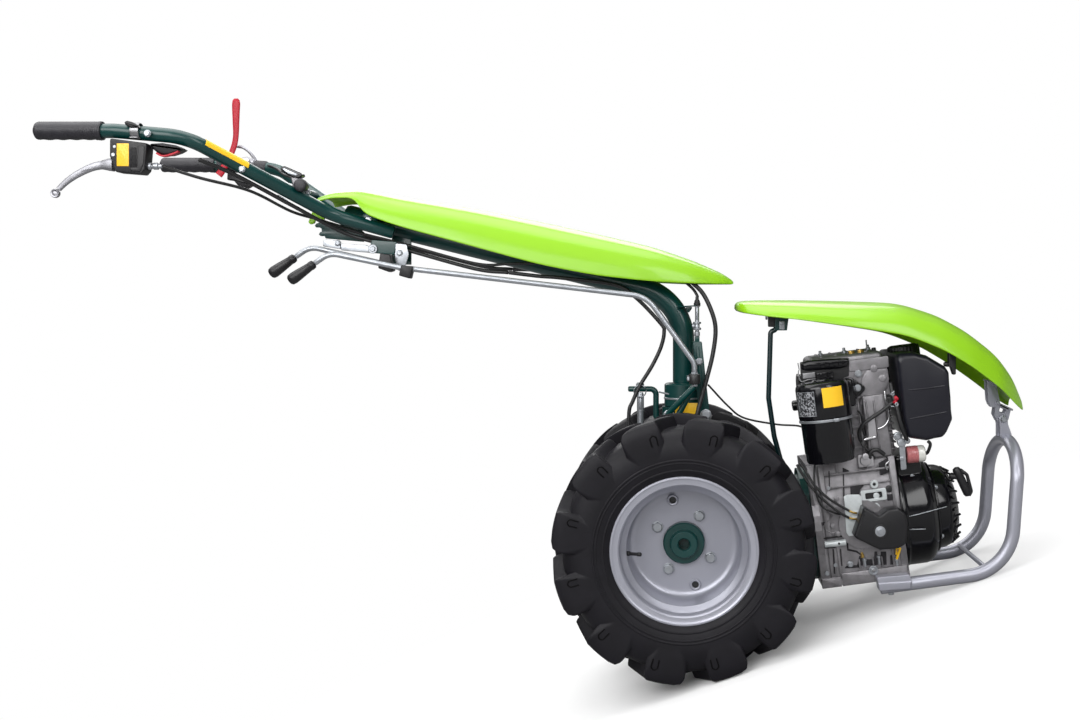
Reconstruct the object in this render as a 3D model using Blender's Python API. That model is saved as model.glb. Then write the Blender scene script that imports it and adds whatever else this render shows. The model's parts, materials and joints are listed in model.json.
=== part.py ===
"""Two-wheeled walking tractor, stored as it comes to rest: on its two tyres and the front guard.

Metres, +X to the engine end, +Y left, +Z up. Every piece is drawn in a frame held by an empty:
the level tractor with its origin at the axle's middle, the driveline that leans back from it,
the engine on the driveline's crank line, and one empty on the axis of each moving body.
"""

import math

import bmesh
import bpy
from mathutils import Matrix, Vector

# Whole machine
TYRE_RADIUS = 0.2575  # over the lugs
TYRE_WIDTH = 0.135
TRACK = 0.33  # middle to middle of the tyres
DRIVELINE_LEAN = 7.5  # degrees, the engine's top towards the handlebars
CRANK_AHEAD = 0.4005  # middle of the engine's foot ahead of the axle, along the driveline
CRANK_DROP = 0.0225
GRIP_REACH = 1.2054  # end of the grips behind the axle
GRIP_HEIGHT = 0.7956  # above the axle, tractor level
GRIP_SPREAD = 0.60  # between the grips' middles
GRIP_LENGTH = 0.126
SEAT_GAP = 0.0003  # between faces that touch
OVERRUN = 0.004  # a cut past the face that it opens, or a join into its carrier

# Wheels
LUG_HEIGHT = 0.020
LUG_COUNT = 12  # on each side of the tyre, staggered
LUG_WIDTH = 0.025
BEAD_RADIUS = 0.1288
BEAD_HALF = 0.0495
RIM_HALF = 0.052
RIM_SHEET = 0.004
RIM_CORNER = 0.008  # where the disc turns into the rim
FLANGE_RADIUS = 0.143
DISC_INSET = 0.0505  # back of the disc, from the wheel's middle
DISC_HOLE_CIRCLE = 0.087
DISC_HOLE_RADIUS = 0.0085
HUB_BOSS_RADIUS = 0.041
HUB_BOSS_RISE = 0.020
HUB_NOSE_RADIUS = 0.027
HUB_NOSE_RISE = 0.016
HUB_BORE_RADIUS = 0.011
HUB_FLANGE_RADIUS = 0.075
HUB_FLANGE_DEPTH = 0.010
WHEEL_STEPS = 32
HUB_STEPS = 20

# Gearbox and turret
GEARBOX_REAR = 0.150
GEARBOX_FRONT = 0.175
GEARBOX_TOP = 0.135
GEARBOX_BOTTOM = 0.100
HUB_NECK = 0.0065  # between the axle tube's end and the hub's flange
AXLE_STUB = 0.020
AXLE_TUBE_END = TRACK / 2 - DISC_INSET - HUB_FLANGE_DEPTH - HUB_NECK
GEARBOX_HALF_WIDTH = AXLE_TUBE_END - AXLE_STUB
AXLE_TUBE_RADIUS = 0.046
SIDE_CAP_RADIUS = 0.066
SIDE_CAP_RISE = 0.007
TURRET_SEAT = 0.165  # level pad on the gearbox, above the axle
TURRET_PAD_HALF = 0.058
TURRET_FLANGE_RADIUS = 0.056
TURRET_FLANGE = 0.012
TURRET_RADIUS = 0.045
TURRET_TOP = 0.262
BELL_RADIUS = 0.116
BELL_SIDE_GAP = 0.007  # between the flats on its sides and the tyres
BELL_HALF_WIDTH = TRACK / 2 - TYRE_WIDTH / 2 - BELL_SIDE_GAP
BELL_NECK_RADIUS = 0.084
BELL_FLANGE = 0.014
PTO_FLANGE_RADIUS = 0.062
PTO_FLANGE = 0.016
PTO_SLEEVE_RADIUS = 0.040
PTO_SLEEVE = 0.034
PTO_SHAFT_RADIUS = 0.0125
PTO_SHAFT = 0.042

# Engine
CASE_REAR = 0.1375  # behind the engine's origin
CASE_FRONT = 0.040
CASE_HALF_WIDTH = 0.098
CASE_BOTTOM = 0.100
CASE_TOP = 0.139
SUMP_LIP = 0.010
SUMP_OVERHANG = 0.007
BARREL_REAR = 0.100
BARREL_FRONT = 0.045
BARREL_HALF_WIDTH = 0.082
BARREL_TOP = 0.262
HEAD_TOP = 0.318
HEAD_OVERHANG = 0.006
FIN_COUNT = 5
FIN_THICKNESS = 0.004
FIN_REACH = 0.009
ROCKER_TOP = 0.348
COWL_RADIUS = 0.117
COWL_CENTRE = 0.008  # above the engine's origin
COWL_DEPTH = 0.074
STARTER_RADIUS = 0.088
STARTER_DEPTH = 0.052
STARTER_SLOTS = 12
STARTER_SLOT_DEPTH = 0.006
HANDLE_LENGTH = 0.070
HANDLE_RADIUS = 0.0085
HANDLE_STEM = 0.020
HANDLE_SIDE = 0.078
HANDLE_LEAN = 30.0  # degrees
FILTER_X = 0.089  # middle of the air filter, behind the engine's origin
FILTER_Y = 0.144
FILTER_RADIUS = 0.051
FILTER_BOTTOM = 0.146
FILTER_SHOULDER = 0.236
FILTER_TOP = 0.312
FILTER_BAND = 0.003
TANK_REAR = 0.0525
TANK_LENGTH = 0.120
TANK_HALF_WIDTH = 0.128
TANK_BOTTOM = 0.172
TANK_TOP = 0.334
TANK_LUG_HALF_WIDTH = 0.045
CAP_RADIUS = 0.034
CAP_HEIGHT = 0.016
CAP_PLACE_SHARE = 0.42
FUEL_FILTER_RADIUS = 0.017
FUEL_FILTER_LENGTH = 0.045
FUEL_FILTER_STUB = 0.006
SIDE_COVER_SPAN = 0.108
SIDE_COVER_HEIGHT = 0.098
SIDE_COVER_DEPTH = 0.046
MUFFLER_RADIUS = 0.046
MUFFLER_LENGTH = 0.125
MUFFLER_SIDE = 0.162
TAILPIPE_RADIUS = 0.012
TAILPIPE_LENGTH = 0.018

# Front guard and its cradle, in the driveline's frame
GUARD_TUBE_RADIUS = 0.0135
GUARD_HALF_WIDTH = 0.120
GUARD_REAR = 0.376
GUARD_FRONT = 0.6376
GUARD_DEPTH = 0.1405  # the legs' middle line below the axle
GUARD_TOP = 0.1167
GUARD_TOP_REACH = 0.6908
GUARD_SHOULDER = 0.030  # height where the hoop's top starts to close
GUARD_BEND = 0.10
STRUT_RADIUS = 0.005
CRADLE_LENGTH = 0.048
CRADLE_THICKNESS = 0.006

# Hood and its hinge, in the level frame
HINGE_BACK = 0.00826  # behind the top of the guard
HINGE_RISE = 0.03013
HINGE_PIN_RADIUS = 0.006
HINGE_GAP = 0.0008
HOOD_REAR = 0.106
HOOD_OVERHANG = 0.0319  # nose ahead of the hinge
HOOD_TOP = 0.4826
HOOD_NOSE_RISE = 0.0208  # nose's lower edge above the hinge
HOOD_HALF_WIDTH = 0.148
HOOD_SHEET = 0.0035
HOOD_ROD_RADIUS = 0.0055
HOOD_ROD_SIDE = 0.050

# Handlebar column
COLUMN_RADIUS = 0.0225
COLUMN_CORNER = 0.4866  # height where the post's line meets the upper run's
COLUMN_BEND = 0.19
COLUMN_REAR = 0.705
COLUMN_REAR_HEIGHT = 0.660
COLUMN_SLOPE = (COLUMN_REAR_HEIGHT - COLUMN_CORNER) / COLUMN_REAR
COLLAR_RADIUS = 0.040
COLLAR_TOP = 0.310
COVER_REAR = 0.747
COVER_FRONT = 0.1041
COVER_CROWN_RISE = 0.0486  # above the column's rear end
COVER_TIP_RISE = 0.0294  # above the column's corner
COVER_HALF_WIDTH = 0.112
COVER_SHEET = 0.0035
ROD_RADIUS = 0.0055
KNOB_RADIUS = 0.0125
KNOB_LENGTH = 0.062
POST_FRONT = 0.200  # the cover's posts, behind the axle
POST_REAR = 0.545
POST_LENGTH = 0.030
POST_WIDTH = 0.036
SLEEVE_RADIUS = 0.019
SLEEVE_HALF = 0.0395
PIVOT_PIN_RADIUS = 0.008
PIN_GAP = 0.0006
PIVOT_SIDE_GAP = 0.001

# Handlebars
BAR_RADIUS = 0.0135
BAR_PIVOT_X = 0.640
BAR_PIVOT_Z = COLUMN_CORNER + BAR_PIVOT_X * COLUMN_SLOPE
BAR_ROOT_X = 0.590
BAR_ROOT_DROP = 0.0117  # below the column's middle line
BAR_ROOT_Z = COLUMN_CORNER + BAR_ROOT_X * COLUMN_SLOPE - BAR_ROOT_DROP
BAR_ROOT_SPREAD = 0.060
GRIP_RADIUS = 0.018


def clear_scene():
    for item in list(bpy.data.objects):
        bpy.data.objects.remove(item, do_unlink=True)


def paint(name, colour, roughness, metallic=0.0):
    """A Principled material, made once for each name."""
    material = bpy.data.materials.get(name)
    if material is None:
        material = bpy.data.materials.new(name)
        material.use_nodes = True
        shader = material.node_tree.nodes["Principled BSDF"]
        shader.inputs["Base Color"].default_value = (*colour, 1.0)
        shader.inputs["Roughness"].default_value = roughness
        shader.inputs["Metallic"].default_value = metallic
        material.diffuse_color = (*colour, 1.0)
    return material


def lime_paint():
    return paint("lime_paint", (0.35, 0.75, 0.02), 0.35)


def green_paint():
    return paint("dark_green_paint", (0.006, 0.055, 0.055), 0.40)


def silver_paint():
    return paint("silver_paint", (0.42, 0.43, 0.45), 0.42, 0.5)


def tyre_rubber():
    return paint("tyre_rubber", (0.018, 0.017, 0.017), 0.75)


def cast_aluminium():
    return paint("cast_aluminium", (0.40, 0.38, 0.37), 0.50, 0.8)


def black_plastic():
    return paint("black_plastic", (0.02, 0.02, 0.022), 0.50)


def black_enamel():
    return paint("black_enamel", (0.012, 0.012, 0.013), 0.25)


def zinc_plate():
    return paint("zinc_plate", (0.62, 0.63, 0.65), 0.35, 0.9)


def chrome():
    return paint("chrome", (0.75, 0.75, 0.76), 0.15, 1.0)


def red_plastic():
    return paint("red_plastic", (0.65, 0.02, 0.03), 0.40)


def filter_plastic():
    return paint("filter_plastic", (0.50, 0.12, 0.12), 0.40)


def object_of(mesh_maker, name="blank"):
    """An object from a bmesh, its faces turned outwards."""
    bmesh.ops.remove_doubles(mesh_maker, verts=mesh_maker.verts, dist=SEAT_GAP / 30)
    bmesh.ops.recalc_face_normals(mesh_maker, faces=mesh_maker.faces)
    mesh = bpy.data.meshes.new(name)
    mesh_maker.to_mesh(mesh)
    mesh_maker.free()
    item = bpy.data.objects.new(name, mesh)
    bpy.context.scene.collection.objects.link(item)
    return item


def evaluated_copy(item):
    """The object's mesh with its modifiers applied, or a curve made a mesh."""
    bpy.context.view_layer.update()
    graph = bpy.context.evaluated_depsgraph_get()
    mesh = bpy.data.meshes.new_from_object(item.evaluated_get(graph))
    mesh.transform(item.matrix_world)
    return mesh


def combine(target, tools, operation):
    """Boolean of the target with each tool in turn; the tools are used up."""
    for tool in tools:
        modifier = target.modifiers.new("combine", "BOOLEAN")
        modifier.operation = operation
        modifier.solver = "EXACT"
        modifier.object = tool
        mesh = evaluated_copy(target)
        target.modifiers.clear()
        target.data = mesh
        bpy.data.objects.remove(tool, do_unlink=True)
    return target


def joined(target, *tools):
    return combine(target, tools, "UNION")


def without(target, *tools):
    return combine(target, tools, "DIFFERENCE")


def clear_of(item, carrier, lean=0.0, gap=SEAT_GAP):
    """Cuts a blank back to a seat's gap from its carrier, which may lean about the axle."""
    solid = bpy.data.objects.new("seat", carrier.data.copy())
    solid.data.transform(Matrix.Rotation(math.radians(lean), 4, "Y"))
    bpy.context.scene.collection.objects.link(solid)
    swell = solid.modifiers.new("swell", "DISPLACE")
    swell.strength = gap
    swell.mid_level = 0.0
    mesh = evaluated_copy(solid)
    solid.modifiers.clear()
    solid.data = mesh
    without(item, solid)
    return largest_body(item)


def largest_body(item):
    """Keeps the biggest of the bodies that a cut has left."""
    maker = bmesh.new()
    maker.from_mesh(item.data)
    left = set(maker.verts)
    bodies = []
    while left:
        seed = left.pop()
        body, edge_of_search = {seed}, [seed]
        while edge_of_search:
            vertex = edge_of_search.pop()
            for link in vertex.link_edges:
                other = link.other_vert(vertex)
                if other not in body:
                    body.add(other)
                    left.discard(other)
                    edge_of_search.append(other)
        bodies.append(body)

    def spread(body):
        reaches = [max(v.co[k] for v in body) - min(v.co[k] for v in body) for k in range(3)]
        return sum(reaches)

    bodies.sort(key=spread)
    small = [vertex for body in bodies[:-1] for vertex in body]
    if small:
        bmesh.ops.delete(maker, geom=small, context="VERTS")
    maker.to_mesh(item.data)
    maker.free()
    return item


def block(size, middle, turn=0.0):
    """A box, turned about Y by an angle in degrees."""
    maker = bmesh.new()
    bmesh.ops.create_cube(maker, size=1.0)
    place = Matrix.Translation(middle) @ Matrix.Rotation(math.radians(turn), 4, "Y")
    bmesh.ops.transform(maker, matrix=place @ Matrix.Diagonal((*size, 1.0)), verts=maker.verts)
    return object_of(maker)


AXIS_PLACES = {
    "X": lambda a, b, h: (h, a, b),
    "Y": lambda a, b, h: (a, h, b),
    "Z": lambda a, b, h: (a, b, h),
}


def prism(outline, axis, low, high):
    """A closed outline, in the plane across the axis, extruded from low to high."""
    to_point = AXIS_PLACES[axis]
    maker = bmesh.new()
    face = maker.faces.new([maker.verts.new(to_point(a, b, low)) for a, b in outline])
    grown = bmesh.ops.extrude_face_region(maker, geom=[face])["geom"]
    raised = [g for g in grown if isinstance(g, bmesh.types.BMVert)]
    shift = Vector(to_point(0, 0, high)) - Vector(to_point(0, 0, low))
    bmesh.ops.translate(maker, vec=shift, verts=raised)
    return object_of(maker)


def turned(profile, axis, middle, steps, ring=False):
    """A profile of (radius, along) points spun about an axis through the middle."""
    to_point = AXIS_PLACES[axis]
    maker = bmesh.new()
    points = [maker.verts.new(to_point(radius, 0, along)) for radius, along in profile]
    if axis == "X":
        for vertex, (radius, along) in zip(points, profile):
            vertex.co = (along, radius, 0)
    edges = [maker.edges.new(pair) for pair in zip(points, points[1:])]
    if ring:
        edges.append(maker.edges.new((points[-1], points[0])))
    direction = Vector(to_point(0, 0, 1))
    bmesh.ops.spin(
        maker,
        geom=points + edges,
        cent=(0, 0, 0),
        axis=direction,
        angle=math.tau,
        steps=steps,
        use_merge=True,
    )
    bmesh.ops.translate(maker, vec=Vector(middle), verts=maker.verts)
    return object_of(maker)


def drum(radius, low, high, axis, middle, steps=20, edge=0.0):
    """A plain round piece between two heights along its axis, with an optional chamfer."""
    profile = [(0, low), (radius - edge, low), (radius, low + edge)]
    profile += [(radius, high - edge), (radius - edge, high), (0, high)]
    if not edge:
        profile = [(0, low), (radius, low), (radius, high), (0, high)]
    return turned(profile, axis, middle, steps)


def rounded(points, radius, step=18.0):
    """A path whose inner corners are arcs of one radius, shortened where a run is too short."""
    path = [Vector(points[0])]
    for before, corner, after in zip(points, points[1:], points[2:]):
        before, corner, after = Vector(before), Vector(corner), Vector(after)
        back, ahead = (before - corner).normalized(), (after - corner).normalized()
        turn = math.pi - back.angle(ahead)
        if turn < math.radians(step) / 3:
            path.append(corner)
            continue
        longest = min((before - corner).length, (after - corner).length) / 2
        reach = min(radius * math.tan(turn / 2), longest)
        arc_radius = reach / math.tan(turn / 2)
        middle = corner + (back + ahead).normalized() * (arc_radius / math.cos(turn / 2))
        count = max(2, round(math.degrees(turn) / step))
        start = corner + back * reach - middle
        across = (corner + ahead * reach - middle - start * math.cos(turn)) / math.sin(turn)
        for k in range(count + 1):
            angle = turn * k / count
            path.append(middle + start * math.cos(angle) + across * math.sin(angle))
    path.append(Vector(points[-1]))
    return path


def tube(path, radius, sides=12):
    """A round bar along a path, with flat ends."""
    curve = bpy.data.curves.new("path", "CURVE")
    curve.dimensions = "3D"
    curve.bevel_depth = radius
    curve.bevel_resolution = max(0, sides // 4 - 1)
    curve.use_fill_caps = True
    spline = curve.splines.new("POLY")
    spline.points.add(len(path[1:]))
    for point, place in zip(spline.points, path):
        point.co = (*place, 1.0)
    item = bpy.data.objects.new("path", curve)
    bpy.context.scene.collection.objects.link(item)
    mesh = evaluated_copy(item)
    bpy.data.objects.remove(item, do_unlink=True)
    maker = bmesh.new()
    maker.from_mesh(mesh)
    return object_of(maker)


def loft(rings, closed_ends=True):
    """Rings of equally many points, bridged in turn."""
    maker = bmesh.new()
    loops = [[maker.verts.new(point) for point in ring] for ring in rings]
    for lower, upper in zip(loops, loops[1:]):
        count = len(lower)
        for k in range(count):
            following = (k + 1) % count
            maker.faces.new((lower[k], lower[following], upper[following], upper[k]))
    if closed_ends:
        maker.faces.new(loops[0])
        maker.faces.new(loops[-1])
    return object_of(maker)


def sheet(rows, thickness, outside=0.0, name="sheet"):
    """Rows of points as one pressed sheet, its wall grown inwards and, if asked, outwards."""
    maker = bmesh.new()
    grid = [[maker.verts.new(point) for point in row] for row in rows]
    for first, second in zip(grid, grid[1:]):
        for k in range(len(first) - 1):
            maker.faces.new((first[k], first[k + 1], second[k + 1], second[k]))
    item = object_of(maker, name)
    wall = item.modifiers.new("wall", "SOLIDIFY")
    wall.thickness = thickness + outside
    wall.offset = (outside - thickness) / (outside + thickness)
    wall.use_even_offset = True
    mesh = evaluated_copy(item)
    item.modifiers.clear()
    item.data = mesh
    return item


def finished(item, name, material, frame, smooth=35.0):
    """Names the piece, gives it its paint and hangs it on its frame."""
    item.name = name
    item.data.name = name
    item.data.materials.clear()
    item.data.materials.append(material)
    item.data.shade_smooth()
    item.data.set_sharp_from_angle(angle=math.radians(smooth))
    item.parent = frame["empty"]
    item.location = -Vector(frame["origin"])
    return item


def frame_of(name, parent, place, lean=0.0, drawn_at_parent=False):
    """An empty. With drawn_at_parent its pieces are drawn in the parent's coordinates."""
    empty = bpy.data.objects.new(name, None)
    empty.empty_display_size = TYRE_WIDTH
    bpy.context.scene.collection.objects.link(empty)
    shift = Vector((0, 0, 0))
    if parent is not None:
        empty.parent = parent["empty"]
        shift = Vector(parent["origin"])
    empty.location = Vector(place) - shift
    empty.rotation_euler = (0, math.radians(lean), 0)
    return {"empty": empty, "origin": place if drawn_at_parent else (0, 0, 0)}


def level_to_driveline(x, z):
    lean = math.radians(DRIVELINE_LEAN)
    return (
        x * math.cos(lean) + z * math.sin(lean),
        -x * math.sin(lean) + z * math.cos(lean),
    )


def driveline_to_level(x, z):
    lean = math.radians(DRIVELINE_LEAN)
    return (
        x * math.cos(lean) - z * math.sin(lean),
        x * math.sin(lean) + z * math.cos(lean),
    )


def hinge_place():
    """The hood's hinge in the level frame, set from the top of the guard."""
    x, z = driveline_to_level(GUARD_TOP_REACH, GUARD_TOP)
    return x - HINGE_BACK, z + HINGE_RISE


def guard_lean():
    """How far the guard's uprights lean forward in the driveline's frame, in radians."""
    return math.atan2(GUARD_TOP_REACH - GUARD_FRONT, GUARD_TOP + GUARD_DEPTH)


def parked_lean():
    """The angle, nose down, at which the guard's lower bend comes to the floor."""
    turn = math.pi / 2 - guard_lean()
    reach = GUARD_BEND * math.tan(turn / 2)
    bend_x, bend_z = driveline_to_level(GUARD_FRONT - reach, GUARD_BEND - GUARD_DEPTH)
    drop = TYRE_RADIUS - GUARD_BEND - GUARD_TUBE_RADIUS
    return math.degrees(math.asin(drop / math.hypot(bend_x, bend_z)) + math.atan2(bend_z, bend_x))


def make_frames():
    frames = {"level": frame_of("tractor", None, (0, 0, TYRE_RADIUS), parked_lean())}
    level = frames["level"]
    frames["driveline"] = frame_of("driveline", level, (0, 0, 0), -DRIVELINE_LEAN)
    engine_place = (CRANK_AHEAD, 0, -CRANK_DROP)
    frames["engine"] = frame_of("engine", frames["driveline"], engine_place)
    frames["wheel_left"] = frame_of("wheel_left_axis", level, (0, TRACK / 2, 0))
    frames["wheel_right"] = frame_of("wheel_right_axis", level, (0, -TRACK / 2, 0))
    hinge_x, hinge_z = hinge_place()
    hinge = (hinge_x, 0, hinge_z)
    frames["hood"] = frame_of("hood_axis", level, hinge, drawn_at_parent=True)
    frames["column"] = frame_of("column_axis", level, (0, 0, 0), drawn_at_parent=True)
    pivot = (-BAR_PIVOT_X, 0, BAR_PIVOT_Z)
    frames["bars"] = frame_of("handlebar_axis", frames["column"], pivot, drawn_at_parent=True)
    return frames


# Wheels. Offsets run outwards from the wheel's middle plane.
# Half of the carcass: share of the half width, share of the section's height
CARCASS_SHARES = [
    (0.0, 1.0),
    (0.80, 0.93),
    (1.0, 0.62),
    (0.96, 0.30),
    (0.88, 0.16),
]
# One lug: offset share, lead in shares of the pitch, top's height share, half-width share
LUG_SHARES = [
    (0.06, 0.40, 1.0, 0.80),
    (0.50, 0.16, 1.0, 0.90),
    (0.90, -0.06, 0.97, 1.15),
    (1.02, -0.12, 0.62, 1.10),
]
LUG_ROOT_SHARE = 0.86  # height of a lug's buried root, in shares of the section
LUG_SIDE_ROOT_SHARE = 0.88  # the same at the sidewall, in shares of the half width


def carcass_point(across_share, up_share):
    height = TYRE_RADIUS - LUG_HEIGHT - BEAD_RADIUS
    return BEAD_RADIUS + up_share * height, across_share * TYRE_WIDTH / 2


def tyre_blank(side):
    half = [carcass_point(*share) for share in CARCASS_SHARES]
    seat = carcass_point(*CARCASS_SHARES[-1])[0]
    half += [(seat, BEAD_HALF), (BEAD_RADIUS, BEAD_HALF)]
    profile = half + [(radius, -offset) for radius, offset in reversed(half[1:])]
    carcass = turned(profile, "Y", (0, 0, 0), WHEEL_STEPS, ring=True)
    maker = bmesh.new()
    for row in (1, -1):
        for k in range(LUG_COUNT):
            stagger = k + (0.5 if row < 0 else 0.0)
            phase = math.pi - math.radians(parked_lean())
            add_lug(maker, row * side, phase + math.tau * stagger / LUG_COUNT)
    return joined(carcass, object_of(maker))


def add_lug(maker, side, middle_angle):
    """One bar of the tread, from near the middle out over the shoulder."""
    pitch = math.tau / LUG_COUNT
    section_height = TYRE_RADIUS - BEAD_RADIUS
    rings = []
    for offset_share, lead_share, height_share, width_share in LUG_SHARES:
        angle = middle_angle + lead_share * pitch
        offset = offset_share * TYRE_WIDTH / 2
        top = BEAD_RADIUS + height_share * section_height
        if height_share < 0.9:
            root = (top, min(offset, LUG_SIDE_ROOT_SHARE * TYRE_WIDTH / 2))
        else:
            root = (BEAD_RADIUS + LUG_ROOT_SHARE * (section_height - LUG_HEIGHT), offset)
            root = (root[0], min(offset, LUG_SIDE_ROOT_SHARE * TYRE_WIDTH / 2))
        spread = width_share * LUG_WIDTH / 2 / TYRE_RADIUS
        ring = []
        for radius, across, turn in (
            (*root, -spread * 1.15),
            (top, offset, -spread * 0.80),
            (top, offset, spread * 0.80),
            (*root, spread * 1.15),
        ):
            place = angle + turn
            ring.append((radius * math.sin(place), side * across, radius * math.cos(place)))
        rings.append([maker.verts.new(point) for point in ring])
    for lower, upper in zip(rings, rings[1:]):
        for k in range(4):
            following = (k + 1) % 4
            maker.faces.new((lower[k], lower[following], upper[following], upper[k]))
    maker.faces.new(rings[0])
    maker.faces.new(rings[-1])


def rim_blank(side):
    """Rolled rim with a dropped middle and a deep disc, open at the hub."""
    inside = RIM_SHEET
    well = BEAD_RADIUS - SEAT_GAP
    drop = well - 3 * RIM_SHEET
    profile = [
        (FLANGE_RADIUS, -RIM_HALF - inside),
        (FLANGE_RADIUS, -RIM_HALF),
        (well, -RIM_HALF),
        (well, -RIM_HALF * 0.58),
        (drop, -RIM_HALF * 0.42),
        (drop, RIM_HALF * 0.42),
        (well, RIM_HALF * 0.58),
        (well, RIM_HALF),
        (FLANGE_RADIUS, RIM_HALF),
        (FLANGE_RADIUS, RIM_HALF + inside),
        (well - inside, RIM_HALF + inside),
        (well - inside, RIM_HALF * 0.62),
        (drop - inside, RIM_HALF * 0.46),
        (drop - inside, -DISC_INSET + RIM_CORNER),
        (drop - RIM_CORNER, -DISC_INSET + inside),
        (HUB_BOSS_RADIUS + SEAT_GAP, -DISC_INSET + inside),
        (HUB_BOSS_RADIUS + SEAT_GAP, -DISC_INSET),
        (well - inside, -DISC_INSET),
    ]
    profile = [(radius, side * offset) for radius, offset in profile]
    rim = turned(profile, "Y", (0, 0, 0), WHEEL_STEPS, ring=True)
    low, high = sorted((side * (-DISC_INSET - OVERRUN), side * (-DISC_INSET + inside + OVERRUN)))
    for angle in (105, 285):
        place = math.radians(angle)
        middle = (DISC_HOLE_CIRCLE * math.cos(place), 0, DISC_HOLE_CIRCLE * math.sin(place))
        without(rim, drum(DISC_HOLE_RADIUS, low, high, "Y", middle, steps=12))
    return rim


def hub_blank(side):
    """Flange behind the disc, boss through it, and a stepped nose with its bore."""
    back = -(TRACK / 2 - AXLE_TUBE_END - SEAT_GAP)
    face = -DISC_INSET - SEAT_GAP
    boss = -DISC_INSET + HUB_BOSS_RISE
    nose = boss + HUB_NOSE_RISE
    profile = [
        (0, back),
        (HUB_BOSS_RADIUS, back),
        (HUB_BOSS_RADIUS, face - HUB_FLANGE_DEPTH),
        (HUB_FLANGE_RADIUS, face - HUB_FLANGE_DEPTH),
        (HUB_FLANGE_RADIUS, face),
        (HUB_BOSS_RADIUS, face),
        (HUB_BOSS_RADIUS, boss),
        (HUB_NOSE_RADIUS, boss),
        (HUB_NOSE_RADIUS, nose),
        (HUB_BORE_RADIUS, nose),
        (HUB_BORE_RADIUS, boss - HUB_NOSE_RISE),
        (0, boss - HUB_NOSE_RISE),
    ]
    profile = [(radius, side * along) for radius, along in profile]
    return turned(profile, "Y", (0, 0, 0), HUB_STEPS)


def make_wheels(frames):
    for name, side in (("left", 1), ("right", -1)):
        frame = frames["wheel_" + name]
        finished(tyre_blank(side), "tyre_" + name, tyre_rubber(), frame)
        finished(rim_blank(side), "rim_" + name, silver_paint(), frame)
        finished(hub_blank(side), "hub_" + name, green_paint(), frame)


# Gearbox's side outline: share of the front or rear reach, share of the top or bottom height
GEARBOX_SHARES = [
    (-1.0, 0.45),
    (-1.0, -0.45),
    (-0.75, -0.95),
    (0.30, -1.0),
    (1.0, -0.92),
    (1.0, 0.60),
    (0.62, 0.86),
    (0.20, 1.0),
    (-0.62, 1.0),
]


SEAM_SHARE = 1.03  # outline of the joint between the casing's halves, over the casing's own


def by_reach(shares, rear, front, bottom, top):
    """Points of an outline from shares of the reaches on each side of its origin."""
    return [(a * (front if a > 0 else rear), b * (top if b > 0 else bottom)) for a, b in shares]


def make_gearbox(frames):
    outline = by_reach(
        GEARBOX_SHARES, GEARBOX_REAR, GEARBOX_FRONT, GEARBOX_BOTTOM, GEARBOX_TOP
    )
    box = prism(outline, "Y", -GEARBOX_HALF_WIDTH, GEARBOX_HALF_WIDTH)
    axle = drum(AXLE_TUBE_RADIUS, -AXLE_TUBE_END, AXLE_TUBE_END, "Y", (0, 0, 0))
    cap_end = GEARBOX_HALF_WIDTH + SIDE_CAP_RISE
    caps = drum(SIDE_CAP_RADIUS, -cap_end, cap_end, "Y", (0, 0, 0), steps=24)
    seam_outline = [(min(a * SEAM_SHARE, GEARBOX_FRONT), b * SEAM_SHARE) for a, b in outline]
    seam = prism(seam_outline, "Y", -SIDE_CAP_RISE / 2, SIDE_CAP_RISE / 2)
    pad_top = [
        level_to_driveline(x, TURRET_SEAT) for x in (-TURRET_PAD_HALF, TURRET_PAD_HALF)
    ]
    pad_foot = [
        level_to_driveline(x, GEARBOX_TOP / 2) for x in (TURRET_PAD_HALF, -TURRET_PAD_HALF)
    ]
    pad = prism(pad_top + pad_foot, "Y", -TURRET_PAD_HALF, TURRET_PAD_HALF)
    rear = -GEARBOX_REAR
    sleeve = drum(
        PTO_SLEEVE_RADIUS, rear - PTO_SLEEVE, rear + OVERRUN, "X", (0, 0, -CRANK_DROP)
    )
    flange = drum(
        PTO_FLANGE_RADIUS,
        rear - PTO_SLEEVE - PTO_FLANGE,
        rear - PTO_SLEEVE,
        "X",
        (0, 0, -CRANK_DROP),
        steps=24,
    )
    joined(box, axle, caps, seam, pad, sleeve, flange)
    bore = drum(
        PTO_SLEEVE_RADIUS - PTO_FLANGE,
        rear - PTO_SLEEVE - PTO_FLANGE - OVERRUN,
        rear,
        "X",
        (0, 0, -CRANK_DROP),
    )
    without(box, bore)
    finished(box, "gearbox_housing", green_paint(), frames["driveline"])
    shaft = drum(
        PTO_SHAFT_RADIUS,
        rear - PTO_SHAFT,
        rear - SEAT_GAP,
        "X",
        (0, 0, -CRANK_DROP),
        steps=12,
    )
    finished(shaft, "pto_shaft", zinc_plate(), frames["driveline"])


def make_bell(frames):
    """Funnel between the gearbox and the engine, in the driveline's frame."""
    front = CRANK_AHEAD - CASE_REAR - SEAT_GAP
    rear = GEARBOX_FRONT + SEAT_GAP
    profile = [
        (0, rear),
        (BELL_NECK_RADIUS, rear),
        (BELL_NECK_RADIUS, rear + BELL_FLANGE),
        (BELL_RADIUS - BELL_FLANGE, front - 2 * BELL_FLANGE),
        (BELL_RADIUS - BELL_FLANGE, front - BELL_FLANGE),
        (BELL_RADIUS, front - BELL_FLANGE),
        (BELL_RADIUS, front),
        (0, front),
    ]
    bell = turned(profile, "X", (0, 0, COWL_CENTRE - CRANK_DROP), 24)
    between_tyres = block(
        (2 * CRANK_AHEAD, 2 * BELL_HALF_WIDTH, 2 * CRANK_AHEAD),
        (0, 0, 0),
    )
    combine(bell, [between_tyres], "INTERSECT")
    finished(bell, "bell_housing", green_paint(), frames["driveline"])


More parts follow.
